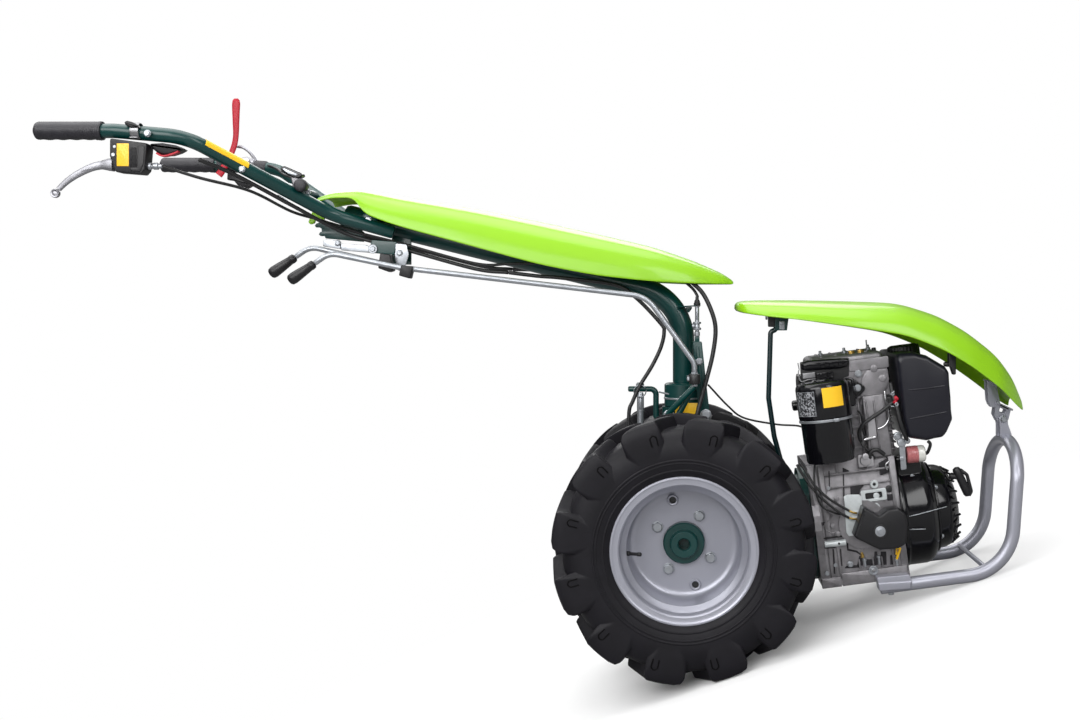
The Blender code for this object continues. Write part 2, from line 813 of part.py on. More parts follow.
def make_turret(frames):
    seat = TURRET_SEAT + SEAT_GAP
    profile = [
        (0, seat),
        (TURRET_FLANGE_RADIUS, seat),
        (TURRET_FLANGE_RADIUS, seat + TURRET_FLANGE),
        (TURRET_RADIUS, seat + TURRET_FLANGE),
        (TURRET_RADIUS, TURRET_TOP),
        (0, TURRET_TOP),
    ]
    turret = turned(profile, "Z", (0, 0, 0), 24)
    finished(turret, "steering_turret", green_paint(), frames["level"])


# Crankcase section across the engine: share of the half width, share of the height over the foot
CASE_SHARES = [
    (-1.0, 0.0),
    (-1.0, 0.62),
    (-0.82, 1.0),
    (0.82, 1.0),
    (1.0, 0.62),
    (1.0, 0.0),
]
CASE_RIBS = (-0.70, -0.35, 0.30)  # shares of the case's reach behind or ahead of its origin


def make_crankcase(frames):
    height = CASE_TOP + CASE_BOTTOM
    outline = [(a * CASE_HALF_WIDTH, b * height - CASE_BOTTOM) for a, b in CASE_SHARES]
    case = prism(outline, "X", -CASE_REAR, CASE_FRONT)
    lip_half = CASE_HALF_WIDTH + SUMP_OVERHANG
    lip = block(
        (CASE_REAR + CASE_FRONT, 2 * lip_half, SUMP_LIP),
        ((CASE_FRONT - CASE_REAR) / 2, 0, -CASE_BOTTOM - SUMP_LIP / 2 + OVERRUN),
    )
    face = drum(
        BELL_RADIUS,
        -CASE_REAR,
        -CASE_REAR + BELL_FLANGE,
        "X",
        (0, 0, COWL_CENTRE),
        steps=24,
    )
    boss = drum(
        SIDE_COVER_HEIGHT / 2,
        -CASE_HALF_WIDTH - SUMP_OVERHANG,
        CASE_HALF_WIDTH + SUMP_OVERHANG,
        "Y",
        (-CASE_FRONT, 0, COWL_CENTRE),
    )
    ribs = [
        block(
            (FIN_THICKNESS, 2 * (CASE_HALF_WIDTH + FIN_THICKNESS), CASE_BOTTOM),
            (share * (CASE_REAR if share < 0 else CASE_FRONT), 0, -CASE_BOTTOM / 2),
        )
        for share in CASE_RIBS
    ]
    joined(case, lip, face, boss, *ribs)
    finished(case, "engine_crankcase", cast_aluminium(), frames["engine"])


def make_cylinder(frames):
    foot = CASE_TOP + SEAT_GAP
    length = BARREL_REAR + BARREL_FRONT
    middle = (BARREL_FRONT - BARREL_REAR) / 2
    barrel = block(
        (length - 2 * FIN_REACH, 2 * (BARREL_HALF_WIDTH - FIN_REACH), BARREL_TOP - foot),
        (middle, 0, (BARREL_TOP + foot) / 2),
    )
    pitch = (BARREL_TOP - foot) / (FIN_COUNT + 1)
    fins = [
        block(
            (length, 2 * BARREL_HALF_WIDTH, FIN_THICKNESS),
            (middle, 0, foot + pitch * (k + 1)),
        )
        for k in range(FIN_COUNT)
    ]
    head = block(
        (
            length + 2 * HEAD_OVERHANG,
            2 * (BARREL_HALF_WIDTH + HEAD_OVERHANG),
            HEAD_TOP - BARREL_TOP + OVERRUN,
        ),
        (middle, 0, (HEAD_TOP + BARREL_TOP - OVERRUN) / 2),
    )
    joined(barrel, *fins, head)
    finished(barrel, "engine_cylinder", cast_aluminium(), frames["engine"])
    rocker = block(
        (length - 2 * FIN_REACH, 2 * (BARREL_HALF_WIDTH - FIN_REACH), ROCKER_TOP - HEAD_TOP),
        (middle, 0, (ROCKER_TOP + HEAD_TOP) / 2 + SEAT_GAP),
    )
    soften(rocker, FIN_REACH)
    finished(rocker, "rocker_cover", cast_aluminium(), frames["engine"])


def soften(item, width, segments=2):
    """Bevels every edge of a blank and applies it."""
    bevel = item.modifiers.new("soften", "BEVEL")
    bevel.width = width
    bevel.segments = segments
    bevel.limit_method = "ANGLE"
    mesh = evaluated_copy(item)
    item.modifiers.clear()
    item.data = mesh
    return item


def make_cowl(frames):
    front = CASE_FRONT + SEAT_GAP
    end = front + COWL_DEPTH
    centre = (0, 0, COWL_CENTRE)
    profile = [
        (0, front),
        (COWL_RADIUS - FIN_REACH, front),
        (COWL_RADIUS, front + FIN_REACH),
        (COWL_RADIUS, end - 2 * FIN_REACH),
        (COWL_RADIUS - 2 * FIN_REACH, end),
        (0, end),
    ]
    cowl = turned(profile, "X", centre, 28)
    throat = block(
        (COWL_DEPTH * 0.8, 2 * BARREL_HALF_WIDTH * 0.9, COWL_RADIUS),
        (front + COWL_DEPTH * 0.4, 0, COWL_CENTRE + COWL_RADIUS * 0.55),
    )
    joined(cowl, throat)
    finished(cowl, "fan_cowl", black_enamel(), frames["engine"])
    seat = end + SEAT_GAP
    nose = seat + STARTER_DEPTH
    profile = [
        (0, seat),
        (STARTER_RADIUS, seat),
        (STARTER_RADIUS, seat + STARTER_DEPTH * 0.55),
        (STARTER_RADIUS * 0.72, nose),
        (0, nose),
    ]
    starter = turned(profile, "X", centre, 24)
    slots = []
    for k in range(STARTER_SLOTS):
        angle = math.tau * (k + 0.5) / STARTER_SLOTS
        slot = block(
            (STARTER_SLOT_DEPTH * 2, STARTER_RADIUS * 0.34, STARTER_SLOT_DEPTH),
            (nose, STARTER_RADIUS * 0.45, 0),
        )
        slot.data.transform(
            Matrix.Translation(centre) @ Matrix.Rotation(angle, 4, "X")
        )
        slots.append(slot)
    without(starter, *slots)
    finished(starter, "recoil_starter", black_enamel(), frames["engine"])
    stem_x = nose - STARTER_DEPTH * 0.30
    stem = tube(
        [
            (stem_x, -STARTER_RADIUS * 0.70, COWL_CENTRE + STARTER_RADIUS * 0.55),
            (stem_x + HANDLE_STEM, -HANDLE_SIDE, COWL_CENTRE + STARTER_RADIUS * 0.66),
        ],
        HANDLE_RADIUS * 0.7,
        8,
    )
    lean = math.radians(HANDLE_LEAN)
    reach_x = math.sin(lean) * HANDLE_LENGTH / 2
    reach_z = math.cos(lean) * HANDLE_LENGTH / 2
    middle = (stem_x + HANDLE_STEM, -HANDLE_SIDE, COWL_CENTRE + STARTER_RADIUS * 0.66)
    grip = tube(
        [
            (middle[0] - reach_x, middle[1], middle[2] + reach_z),
            (middle[0] + reach_x, middle[1], middle[2] - reach_z),
        ],
        HANDLE_RADIUS,
        12,
    )
    joined(grip, stem)
    shell = starter.copy()
    shell.data = starter.data.copy()
    bpy.context.scene.collection.objects.link(shell)
    shell.parent = None
    shell.location = (0, 0, 0)
    shell.data.transform(Matrix.Translation((SEAT_GAP, -SEAT_GAP, SEAT_GAP)))
    without(grip, shell)
    finished(grip, "starter_handle", black_plastic(), frames["engine"])


def make_air_filter(frames):
    """Oil-bath bowl under a box with a flange against the cylinder."""
    centre = (-FILTER_X, -FILTER_Y, 0)
    profile = [
        (0, FILTER_BOTTOM),
        (FILTER_RADIUS * 0.92, FILTER_BOTTOM),
        (FILTER_RADIUS, FILTER_BOTTOM + FILTER_RADIUS * 0.3),
        (FILTER_RADIUS, FILTER_SHOULDER),
        (0, FILTER_SHOULDER),
    ]
    bowl = turned(profile, "Z", centre, 24)
    band = drum(
        FILTER_RADIUS + FILTER_BAND,
        FILTER_SHOULDER - 3 * FILTER_BAND,
        FILTER_SHOULDER,
        "Z",
        centre,
        steps=24,
    )
    inner = BARREL_HALF_WIDTH + HEAD_OVERHANG + SEAT_GAP
    depth = FILTER_Y + FILTER_RADIUS - inner
    box = block(
        (2 * FILTER_RADIUS, depth, FILTER_TOP - FILTER_SHOULDER + OVERRUN),
        (
            -FILTER_X,
            -inner - depth / 2,
            (FILTER_TOP + FILTER_SHOULDER - OVERRUN) / 2,
        ),
    )
    soften(box, FILTER_RADIUS * 0.22)
    joined(bowl, band, box)
    finished(bowl, "air_filter", black_enamel(), frames["engine"])


# Tank's side outline: share of its length, share of its height
TANK_SHARES = [
    (0.0, 0.0),
    (0.0, 1.0),
    (0.55, 0.97),
    (1.0, 0.78),
    (1.0, 0.24),
    (0.72, 0.0),
]


def make_tank(frames):
    height = TANK_TOP - TANK_BOTTOM
    outline = [(TANK_REAR + a * TANK_LENGTH, TANK_BOTTOM + b * height) for a, b in TANK_SHARES]
    tank = prism(outline, "Y", -TANK_HALF_WIDTH, TANK_HALF_WIDTH)
    soften(tank, FIN_REACH)
    head_front = BARREL_FRONT + HEAD_OVERHANG + SEAT_GAP
    lug_height = HEAD_TOP - BARREL_TOP - FIN_REACH
    lug = block(
        (TANK_REAR - head_front + FIN_REACH, 2 * TANK_LUG_HALF_WIDTH, lug_height),
        ((TANK_REAR + head_front + FIN_REACH) / 2, 0, (HEAD_TOP + BARREL_TOP) / 2),
    )
    joined(tank, lug)
    finished(tank, "fuel_tank", black_plastic(), frames["engine"])
    cap = drum(
        CAP_RADIUS,
        TANK_TOP - CAP_HEIGHT,
        TANK_TOP + CAP_HEIGHT,
        "Z",
        (TANK_REAR + TANK_LENGTH * CAP_PLACE_SHARE, 0, 0),
        steps=20,
    )
    finished(clear_of(cap, tank), "fuel_cap", black_plastic(), frames["engine"])


def make_front_guard(frames):
    """One bent tube: two legs, an upright each side, and a round top."""
    steps = 8
    shoulder_x = GUARD_FRONT + math.tan(guard_lean()) * (GUARD_SHOULDER + GUARD_DEPTH)
    half = [
        (GUARD_REAR, -GUARD_HALF_WIDTH, -GUARD_DEPTH),
        (GUARD_FRONT, -GUARD_HALF_WIDTH, -GUARD_DEPTH),
        (shoulder_x, -GUARD_HALF_WIDTH, GUARD_SHOULDER),
    ]
    rise = GUARD_TOP - GUARD_TUBE_RADIUS - GUARD_SHOULDER
    arch = []
    for k in range(1, steps):
        angle = math.pi * k / steps
        along = math.sin(angle)
        arch.append(
            (
                shoulder_x + (GUARD_TOP_REACH - shoulder_x) * along,
                -GUARD_HALF_WIDTH * math.cos(angle),
                GUARD_SHOULDER + rise * along,
            )
        )
    near = rounded(half, GUARD_BEND, 15)
    far = [Vector((p.x, -p.y, p.z)) for p in reversed(near)]
    hoop = tube(near + [Vector(p) for p in arch] + far, GUARD_TUBE_RADIUS)
    strut_x = GUARD_FRONT - GUARD_BEND / 2
    strut_z = -GUARD_DEPTH + GUARD_TUBE_RADIUS
    strut = tube(
        [(strut_x, -GUARD_HALF_WIDTH, strut_z), (strut_x, GUARD_HALF_WIDTH, strut_z)],
        STRUT_RADIUS,
        8,
    )
    joined(hoop, strut)
    finished(hoop, "front_guard", silver_paint(), frames["driveline"])


def make_cradle(frames):
    """Flat bar under the sump, turned down against the guard's legs."""
    top = -CRANK_DROP - CASE_BOTTOM - SUMP_LIP + OVERRUN - SEAT_GAP
    half = GUARD_HALF_WIDTH - GUARD_TUBE_RADIUS - SEAT_GAP
    low = top - 2 * GUARD_TUBE_RADIUS + CRADLE_THICKNESS
    inner = half - CRADLE_THICKNESS
    outline = [(-half, low), (-half, top), (half, top), (half, low), (inner, low)]
    outline += [(inner, top - CRADLE_THICKNESS), (-inner, top - CRADLE_THICKNESS), (-inner, low)]
    bar = prism(outline, "X", GUARD_REAR, GUARD_REAR + CRADLE_LENGTH)
    finished(bar, "guard_cradle", silver_paint(), frames["driveline"])


# Hood's ridge and lower edge: station share along it, ridge share, edge share, width share.
# Heights are shares of the rise from the nose to the top.
HOOD_SHARES = [
    (0.0, 0.93, 0.91, 0.10),
    (0.03, 0.97, 0.885, 0.42),
    (0.10, 1.0, 0.86, 0.74),
    (0.22, 1.0, 0.825, 0.94),
    (0.40, 0.99, 0.76, 1.0),
    (0.57, 0.975, 0.69, 1.0),
    (0.70, 0.87, 0.555, 0.99),
    (0.80, 0.73, 0.40, 0.95),
    (0.90, 0.53, 0.21, 0.84),
    (0.96, 0.33, 0.07, 0.62),
    (1.0, 0.10, 0.0, 0.40),
]
# Across a pressed panel: share of the half width, share of the fall from ridge to edge
PANEL_SHARES = [(0.0, 0.0), (0.34, 0.03), (0.66, 0.14), (0.84, 0.34), (0.95, 0.66), (1.0, 1.0)]


def panel_rows(stations, origin_x, length, base_z, rise, half_width):
    rows = []
    for along, ridge, edge, width in stations:
        x = origin_x + along * length
        top = base_z + ridge * rise
        low = base_z + edge * rise
        half = [
            (x, width * half_width * across, top - fall * (top - low))
            for across, fall in PANEL_SHARES
        ]
        rows.append([(px, -py, pz) for px, py, pz in reversed(half[1:])] + half)
    return rows


def hood_rows():
    hinge_x, hinge_z = hinge_place()
    nose = hinge_z + HOOD_NOSE_RISE
    length = hinge_x + HOOD_OVERHANG - HOOD_REAR
    return panel_rows(HOOD_SHARES, HOOD_REAR, length, nose, HOOD_TOP - nose, HOOD_HALF_WIDTH)


def make_hood(frames):
    hood = sheet(hood_rows(), HOOD_SHEET)
    finished(hood, "hood", lime_paint(), frames["hood"])


# Column cover, rear to front: station share, ridge share, edge share, width share
COVER_SHARES = [
    (0.0, 0.93, 0.86, 0.66),
    (0.04, 0.98, 0.90, 0.76),
    (0.095, 1.0, 0.90, 0.84),
    (0.125, 0.995, 0.72, 0.88),
    (0.20, 0.93, 0.60, 0.95),
    (0.37, 0.81, 0.395, 1.0),
    (0.535, 0.665, 0.195, 1.0),
    (0.67, 0.535, 0.08, 0.97),
    (0.80, 0.405, 0.02, 0.88),
    (0.90, 0.255, 0.0, 0.70),
    (0.97, 0.12, 0.0, 0.45),
    (1.0, 0.03, 0.0, 0.22),
]


def cover_crown():
    return COLUMN_REAR_HEIGHT + COVER_CROWN_RISE


def cover_rows():
    tip = COLUMN_CORNER + COVER_TIP_RISE
    length = COVER_REAR + COVER_FRONT
    rise = cover_crown() - tip
    return panel_rows(COVER_SHARES, -COVER_REAR, length, tip, rise, COVER_HALF_WIDTH)


def under_panel(item, rows, wall):
    """Trims a blank that reaches through a panel so that it seats against its underside."""
    return largest_body(without(item, sheet(rows, wall + SEAT_GAP, outside=COLUMN_RADIUS)))


def make_cover(frames):
    cover = sheet(cover_rows(), COVER_SHEET)
    finished(cover, "column_cover", lime_paint(), frames["column"])


def make_column(frames):
    """Bent tube on a collar, with the cover's posts and the sleeve that the handlebars turn on."""
    path = [
        (0, 0, COLLAR_TOP - OVERRUN),
        (0, 0, COLUMN_CORNER),
        (-COLUMN_REAR, 0, COLUMN_REAR_HEIGHT),
    ]
    arm = tube(rounded(path, COLUMN_BEND, 12), COLUMN_RADIUS, 16)
    collar = drum(COLLAR_RADIUS, TURRET_TOP + SEAT_GAP, COLLAR_TOP, "Z", (0, 0, 0), steps=24)
    crown = cover_crown()
    posts = []
    for back in (POST_FRONT, POST_REAR):
        foot = COLUMN_CORNER + back * COLUMN_SLOPE
        post = block((POST_LENGTH, POST_WIDTH, crown - foot), (-back, 0, (crown + foot) / 2))
        posts.append(under_panel(post, cover_rows(), COVER_SHEET))
    pivot = (-BAR_PIVOT_X, 0, BAR_PIVOT_Z)
    sleeve = drum(SLEEVE_RADIUS, -SLEEVE_HALF, SLEEVE_HALF, "Y", pivot, steps=20)
    joined(collar, arm, sleeve, *posts)
    bore_half = SLEEVE_HALF + OVERRUN
    without(collar, drum(PIVOT_PIN_RADIUS + PIN_GAP, -bore_half, bore_half, "Y", pivot, steps=16))
    finished(collar, "column_arm", green_paint(), frames["column"])


# Each bar from its root to the grip: share of the run back, of the rise, of the added spread
BAR_SHARES = [
    (0.0, 0.0, 0.0),
    (0.195, 0.193, 0.083),
    (0.553, 0.945, 0.94),
    (0.76, 1.0, 1.0),
    (1.0, 1.0, 1.0),
]


def bar_place(back):
    """Distance out from the middle and height of the bars' line, at a distance behind the axle."""
    share = (back - BAR_ROOT_X) / (GRIP_REACH - BAR_ROOT_X)
    for first, second in zip(BAR_SHARES, BAR_SHARES[1:]):
        if share <= second[0]:
            break
    part = (share - first[0]) / (second[0] - first[0])
    up = first[1] + part * (second[1] - first[1])
    out = first[2] + part * (second[2] - first[2])
    spread = GRIP_SPREAD / 2 - BAR_ROOT_SPREAD
    return BAR_ROOT_SPREAD + spread * out, BAR_ROOT_Z + up * (GRIP_HEIGHT - BAR_ROOT_Z)


def make_bars(frames):
    run = GRIP_REACH - BAR_ROOT_X
    rise = GRIP_HEIGHT - BAR_ROOT_Z
    spread = GRIP_SPREAD / 2 - BAR_ROOT_SPREAD
    pieces = []
    for side in (-1, 1):
        path = [
            (
                -BAR_ROOT_X - run * back,
                side * (BAR_ROOT_SPREAD + spread * out),
                BAR_ROOT_Z + rise * up,
            )
            for back, up, out in BAR_SHARES
        ]
        path[-1] = (-GRIP_REACH + GRIP_RADIUS - BAR_RADIUS, side * GRIP_SPREAD / 2, GRIP_HEIGHT)
        pieces.append(tube(rounded(path, GUARD_BEND, 15), BAR_RADIUS))
    cross_share = 0.36
    cross_spread = BAR_ROOT_SPREAD + spread * 0.47
    cross = tube(
        [
            (-BAR_ROOT_X - run * cross_share, -cross_spread, BAR_ROOT_Z + rise * 0.53),
            (-BAR_ROOT_X - run * cross_share, cross_spread, BAR_ROOT_Z + rise * 0.53),
        ],
        BAR_RADIUS * 0.7,
    )
    inner = SLEEVE_HALF + PIVOT_SIDE_GAP
    pivot = (-BAR_PIVOT_X, 0, BAR_PIVOT_Z)
    cheeks = [
        drum(SLEEVE_RADIUS, *sorted((side * inner, side * BAR_ROOT_SPREAD)), "Y", pivot, steps=20)
        for side in (-1, 1)
    ]
    pin = drum(PIVOT_PIN_RADIUS, -inner - OVERRUN, inner + OVERRUN, "Y", pivot, steps=16)
    bars = joined(pieces[0], cross, pieces[1], *cheeks, pin)
    finished(bars, "handlebar", green_paint(), frames["bars"])


def grip_blank(side):
    """A ribbed sleeve, closed at its end."""
    bar_end = -GRIP_REACH + GRIP_RADIUS - BAR_RADIUS - SEAT_GAP
    bore = BAR_RADIUS + SEAT_GAP
    front = -GRIP_REACH + GRIP_LENGTH
    profile = [
        (0, -GRIP_REACH),
        (GRIP_RADIUS * 0.85, -GRIP_REACH),
        (GRIP_RADIUS, -GRIP_REACH + GRIP_RADIUS * 0.2),
        (GRIP_RADIUS, front),
        (bore, front),
        (bore, bar_end),
        (0, bar_end),
    ]
    return turned(profile, "X", (0, side * GRIP_SPREAD / 2, GRIP_HEIGHT), 16)


SWITCH_LENGTH = 0.069
SWITCH_HEIGHT = 0.058
SWITCH_DEPTH = 0.036
SWITCH_FRONT = 0.999  # behind the axle
CLAMP_SHEET = 0.002
LEVER_RADIUS = 0.0055
LEVER_REACH = 0.112
LEVER_DROP = 0.060
THUMB_LENGTH = 0.060
THUMB_HEIGHT = 0.022
THUMB_DEPTH = 0.030
RED_LEVER_X = 1.052  # foot, behind the axle
RED_LEVER_HEIGHT = 0.175
RED_LEVER_WIDTH = 0.020
RED_LEVER_DEPTH = 0.008
# Red lever's stations: lead in shares of its width, share of its height, share of its width
RED_LEVER_SHARES = [(0.0, -0.077, 0.8), (0.55, 0.35, 0.65), (0.9, 0.75, 0.8), (1.0, 1.0, 1.0)]
BRAKE_X = 0.990
BRAKE_LENGTH = 0.052
CHOKE_X = 0.884
CHOKE_RADIUS = 0.013
CHOKE_RISE = 0.0168  # above the bar's middle line
CHOKE_INWARD = 0.0096


def make_bar_controls(frames):
    """What is clamped on the handlebars: switch box, levers and throttle."""
    near = -GRIP_SPREAD / 2
    top = GRIP_HEIGHT - BAR_RADIUS - 3 * SEAT_GAP
    box_middle = -SWITCH_FRONT - SWITCH_LENGTH / 2
    box_size = (SWITCH_LENGTH, SWITCH_DEPTH, SWITCH_HEIGHT)
    box = block(box_size, (box_middle, near, top - SWITCH_HEIGHT / 2))
    soften(box, CLAMP_SHEET, 1)
    bars = bpy.data.objects["handlebar"]
    clear_of(box, bars)
    finished(box, "switch_box", black_plastic(), frames["bars"])
    root_x = box_middle - SWITCH_LENGTH / 2 + OVERRUN
    root_z = top - SWITCH_HEIGHT * 0.72
    path = [
        (root_x, near, root_z),
        (root_x - LEVER_REACH * 0.45, near, root_z - LEVER_DROP * 0.12),
        (root_x - LEVER_REACH * 0.82, near, root_z - LEVER_DROP * 0.62),
        (root_x - LEVER_REACH, near, root_z - LEVER_DROP),
    ]
    lever = tube(rounded(path, GUARD_BEND / 2, 15), LEVER_RADIUS, 8)
    finished(clear_of(lever, box), "clutch_lever", chrome(), frames["bars"])
    thumb = block(
        (THUMB_LENGTH, THUMB_DEPTH, THUMB_HEIGHT),
        (-SWITCH_FRONT + THUMB_LENGTH * 0.75, near + THUMB_DEPTH / 2, top - THUMB_HEIGHT * 0.62),
    )
    soften(thumb, THUMB_HEIGHT * 0.3, 2)
    finished(clear_of(thumb, bars), "throttle_lever", black_plastic(), frames["bars"])
    far = GRIP_SPREAD / 2
    outer = far - BAR_RADIUS - SEAT_GAP
    rings = []
    for lead, up, width in RED_LEVER_SHARES:
        x = -RED_LEVER_X + lead * RED_LEVER_WIDTH
        z = GRIP_HEIGHT + up * RED_LEVER_HEIGHT
        half = width * RED_LEVER_WIDTH / 2
        corners = ((x - half, outer - RED_LEVER_DEPTH), (x + half, outer - RED_LEVER_DEPTH))
        corners += ((x + half, outer), (x - half, outer))
        rings.append([(a, b, z) for a, b in corners])
    red = loft(rings)
    finished(clear_of(red, bars), "reverse_lever", red_plastic(), frames["bars"])
    brake = block(
        (BRAKE_LENGTH, RED_LEVER_WIDTH, RED_LEVER_WIDTH),
        (-BRAKE_X, far, GRIP_HEIGHT + RED_LEVER_WIDTH * 0.75),
        turn=18,
    )
    soften(brake, RED_LEVER_DEPTH / 2, 1)
    finished(clear_of(brake, bars), "brake_lever", chrome(), frames["bars"])
    bar_out, bar_z = bar_place(CHOKE_X)
    place = (-CHOKE_X, bar_out - CHOKE_INWARD, bar_z + CHOKE_RISE)
    knob = drum(CHOKE_RADIUS, -CHOKE_RADIUS * 2.6, CHOKE_RADIUS, "Y", place, steps=16)
    finished(clear_of(knob, bars), "diff_lock_knob", black_plastic(), frames["bars"])


# Gear rods in the level frame: share of the column's reach behind the axle, share of its height
ROD_SHARES = [
    (1.076, 0.895),
    (0.811, 0.830),
    (0.107, 0.742),
    (-0.0305, 0.5386),
]
ROD_KNOB_BACK_SHARE = 0.079
ROD_KNOB_DROP_SHARE = 0.059
ROD_SIDE = 0.070
ROD_PITCH = 0.026
ROD_STEP_BACK = 0.046
BOOT_RADIUS = 0.012
BOOT_TOP = 0.335
BOOT_HEIGHT = 0.024
SELECTOR_RADIUS = 0.006
SELECTOR_BEND = 0.250  # height where the selectors turn down to the gearbox


# One gear rod: name, place across, how far its knob lies ahead, how far its selector leans back,
# and the selector's place inside the gearbox's flank
ROD_TABLE = [
    ("speed", -ROD_SIDE, 0.0, 0.032, 0.014),
    ("range", -ROD_SIDE - ROD_PITCH, ROD_STEP_BACK, 0.055, 0.012),
]


def rod_path(side, shorten):
    places = [(-a * COLUMN_REAR, b * COLUMN_REAR_HEIGHT) for a, b in ROD_SHARES]
    places[0] = (places[0][0] + shorten, places[0][1])
    head_x, head_z = places[0]
    knob = (
        head_x - ROD_KNOB_BACK_SHARE * COLUMN_REAR,
        head_z - ROD_KNOB_DROP_SHARE * COLUMN_REAR_HEIGHT,
    )
    head_z -= shorten * 0.3
    places[0] = (head_x, head_z)
    foot = (places[-1][0], BOOT_TOP + SEAT_GAP)
    knob = (knob[0], knob[1] - shorten * 0.3)
    return [(x, side, z) for x, z in [knob, *places, foot]]


def make_gear_rods(frames):
    for name, side, shorten, back, inset in ROD_TABLE:
        path = rod_path(side, shorten)
        direction = (Vector(path[0]) - Vector(path[1])).normalized()
        rod_start = Vector(path[0]) - direction * (KNOB_LENGTH * 0.5)
        rod = tube(rounded([rod_start, *path[1:]], COLUMN_BEND / 3, 20), ROD_RADIUS, 8)
        finished(rod, "gear_rod_" + name, zinc_plate(), frames["column"])
        knob_root = rod_start + direction * SEAT_GAP
        knob = tube([knob_root, knob_root + direction * KNOB_LENGTH], KNOB_RADIUS, 12)
        finished(knob, "gear_knob_" + name, black_plastic(), frames["column"])
        boot = drum(
            BOOT_RADIUS,
            BOOT_TOP - BOOT_HEIGHT,
            BOOT_TOP,
            "Z",
            (path[-1][0], side, 0),
            steps=12,
        )
        out = -GEARBOX_HALF_WIDTH + inset
        stem = tube(
            [
                (path[-1][0], side, BOOT_TOP - BOOT_HEIGHT / 2),
                (path[-1][0] - back, out, SELECTOR_BEND),
                (path[-1][0] - back, out, GEARBOX_TOP),
            ],
            SELECTOR_RADIUS,
            8,
        )
        joined(boot, stem)
        clear_of(boot, bpy.data.objects["gearbox_housing"], lean=-DRIVELINE_LEAN)
        finished(boot, "selector_" + name, green_paint(), frames["level"])


GUIDE_X = 0.585
GUIDE_LENGTH = 0.040
GUIDE_SHEET = 0.006
GUIDE_DEPTH = 0.022


def make_rod_guide(frames):
    """Hanger under the column with a block that both gear rods slide through."""
    low_z = ROD_SHARES[1][1] * COLUMN_REAR_HEIGHT
    reach = ROD_SIDE + ROD_PITCH + GUIDE_DEPTH / 2
    guide = block(
        (GUIDE_LENGTH, GUIDE_SHEET, COLUMN_RADIUS * 4),
        (-GUIDE_X, -COLUMN_RADIUS * 0.5, low_z + COLUMN_RADIUS * 2 - GUIDE_DEPTH / 2),
    )
    shelf = block(
        (GUIDE_LENGTH, reach, GUIDE_DEPTH),
        (-GUIDE_X, -reach / 2, low_z + GUIDE_DEPTH * 0.1),
    )
    joined(guide, shelf)
    for name in ("gear_rod_speed", "gear_rod_range"):
        clear_of(guide, bpy.data.objects[name])
    clear_of(guide, bpy.data.objects["column_arm"])
    finished(guide, "rod_guide", green_paint(), frames["column"])


EAR_SHEET = 0.004
EAR_HALF = 0.013
EAR_SPREAD = 0.017


def make_guard_bracket(frames):
    """Two ears on top of the guard with the hood's hinge pin across them."""
    pin_x, pin_z = level_to_driveline(*hinge_place())
    ear = EAR_SHEET
    foot = GUARD_TOP - GUARD_TUBE_RADIUS
    outline = [
        (GUARD_TOP_REACH - EAR_HALF, foot),
        (GUARD_TOP_REACH + EAR_HALF * 0.4, foot),
        (pin_x + EAR_HALF * 0.8, pin_z),
        (pin_x + EAR_HALF * 0.3, pin_z + EAR_HALF * 0.8),
        (pin_x - EAR_HALF * 0.8, pin_z + EAR_HALF * 0.5),
    ]
    ears = [
        prism(outline, "Y", side * EAR_SPREAD - ear / 2, side * EAR_SPREAD + ear / 2)
        for side in (-1, 1)
    ]
    pin = drum(
        HINGE_PIN_RADIUS,
        -EAR_SPREAD - ear,
        EAR_SPREAD + ear,
        "Y",
        (pin_x, 0, pin_z),
        steps=12,
    )
    joined(ears[0], pin, ears[1])
    clear_of(ears[0], bpy.data.objects["front_guard"])
    finished(ears[0], "guard_bracket", zinc_plate(), frames["driveline"])


TONGUE_HALF = 0.011
# Hinge tongue's outline about the pin, in shares of an ear's half width
TONGUE_SHARES = [(-0.75, -0.3), (0.0, -0.8), (0.75, -0.3), (2.1, 3.4), (-0.9, 3.4)]
LATCH_LENGTH = 0.035
LATCH_FRONT = 0.2072
LATCH_BOTTOM = 0.4215
LATCH_DEPTH = 0.020


def make_hood_fittings(frames):
    hinge_x, hinge_z = hinge_place()
    outline = [(hinge_x + a * EAR_HALF, hinge_z + b * EAR_HALF) for a, b in TONGUE_SHARES]
    tongue = prism(outline, "Y", -TONGUE_HALF, TONGUE_HALF)
    bore = drum(
        HINGE_PIN_RADIUS + HINGE_GAP,
        -TONGUE_HALF - OVERRUN,
        TONGUE_HALF + OVERRUN,
        "Y",
        (hinge_x, 0, hinge_z),
        steps=12,
    )
    without(tongue, bore)
    under_panel(tongue, hood_rows(), HOOD_SHEET)
    finished(tongue, "hood_hinge", zinc_plate(), frames["hood"])
    latch = block(
        (LATCH_LENGTH, LATCH_DEPTH, HOOD_TOP - LATCH_BOTTOM),
        (LATCH_FRONT - LATCH_LENGTH / 2, -HOOD_ROD_SIDE, (HOOD_TOP + LATCH_BOTTOM) / 2),
    )
    under_panel(latch, hood_rows(), HOOD_SHEET)
    finished(latch, "hood_latch", black_plastic(), frames["hood"])


# Hood's prop: share of the latch's place ahead, share of its height
PROP_SHARES = [
    (0.90, 1.0),
    (0.90, 0.98),
    (0.815, 0.95),
    (0.815, 0.636),
    (0.91, 0.442),
    (1.04, 0.25),
]


def make_hood_prop(frames):
    """Bent rod from the bell housing up to the hood's latch."""
    places = [(a * LATCH_FRONT, b * (LATCH_BOTTOM - SEAT_GAP)) for a, b in PROP_SHARES]
    path = [(x, -HOOD_ROD_SIDE, z) for x, z in places]
    rod = tube(rounded(path, COLUMN_BEND / 4, 25), HOOD_ROD_RADIUS, 8)
    clear_of(rod, bpy.data.objects["bell_housing"], lean=-DRIVELINE_LEAN)
    finished(rod, "hood_prop", green_paint(), frames["level"])


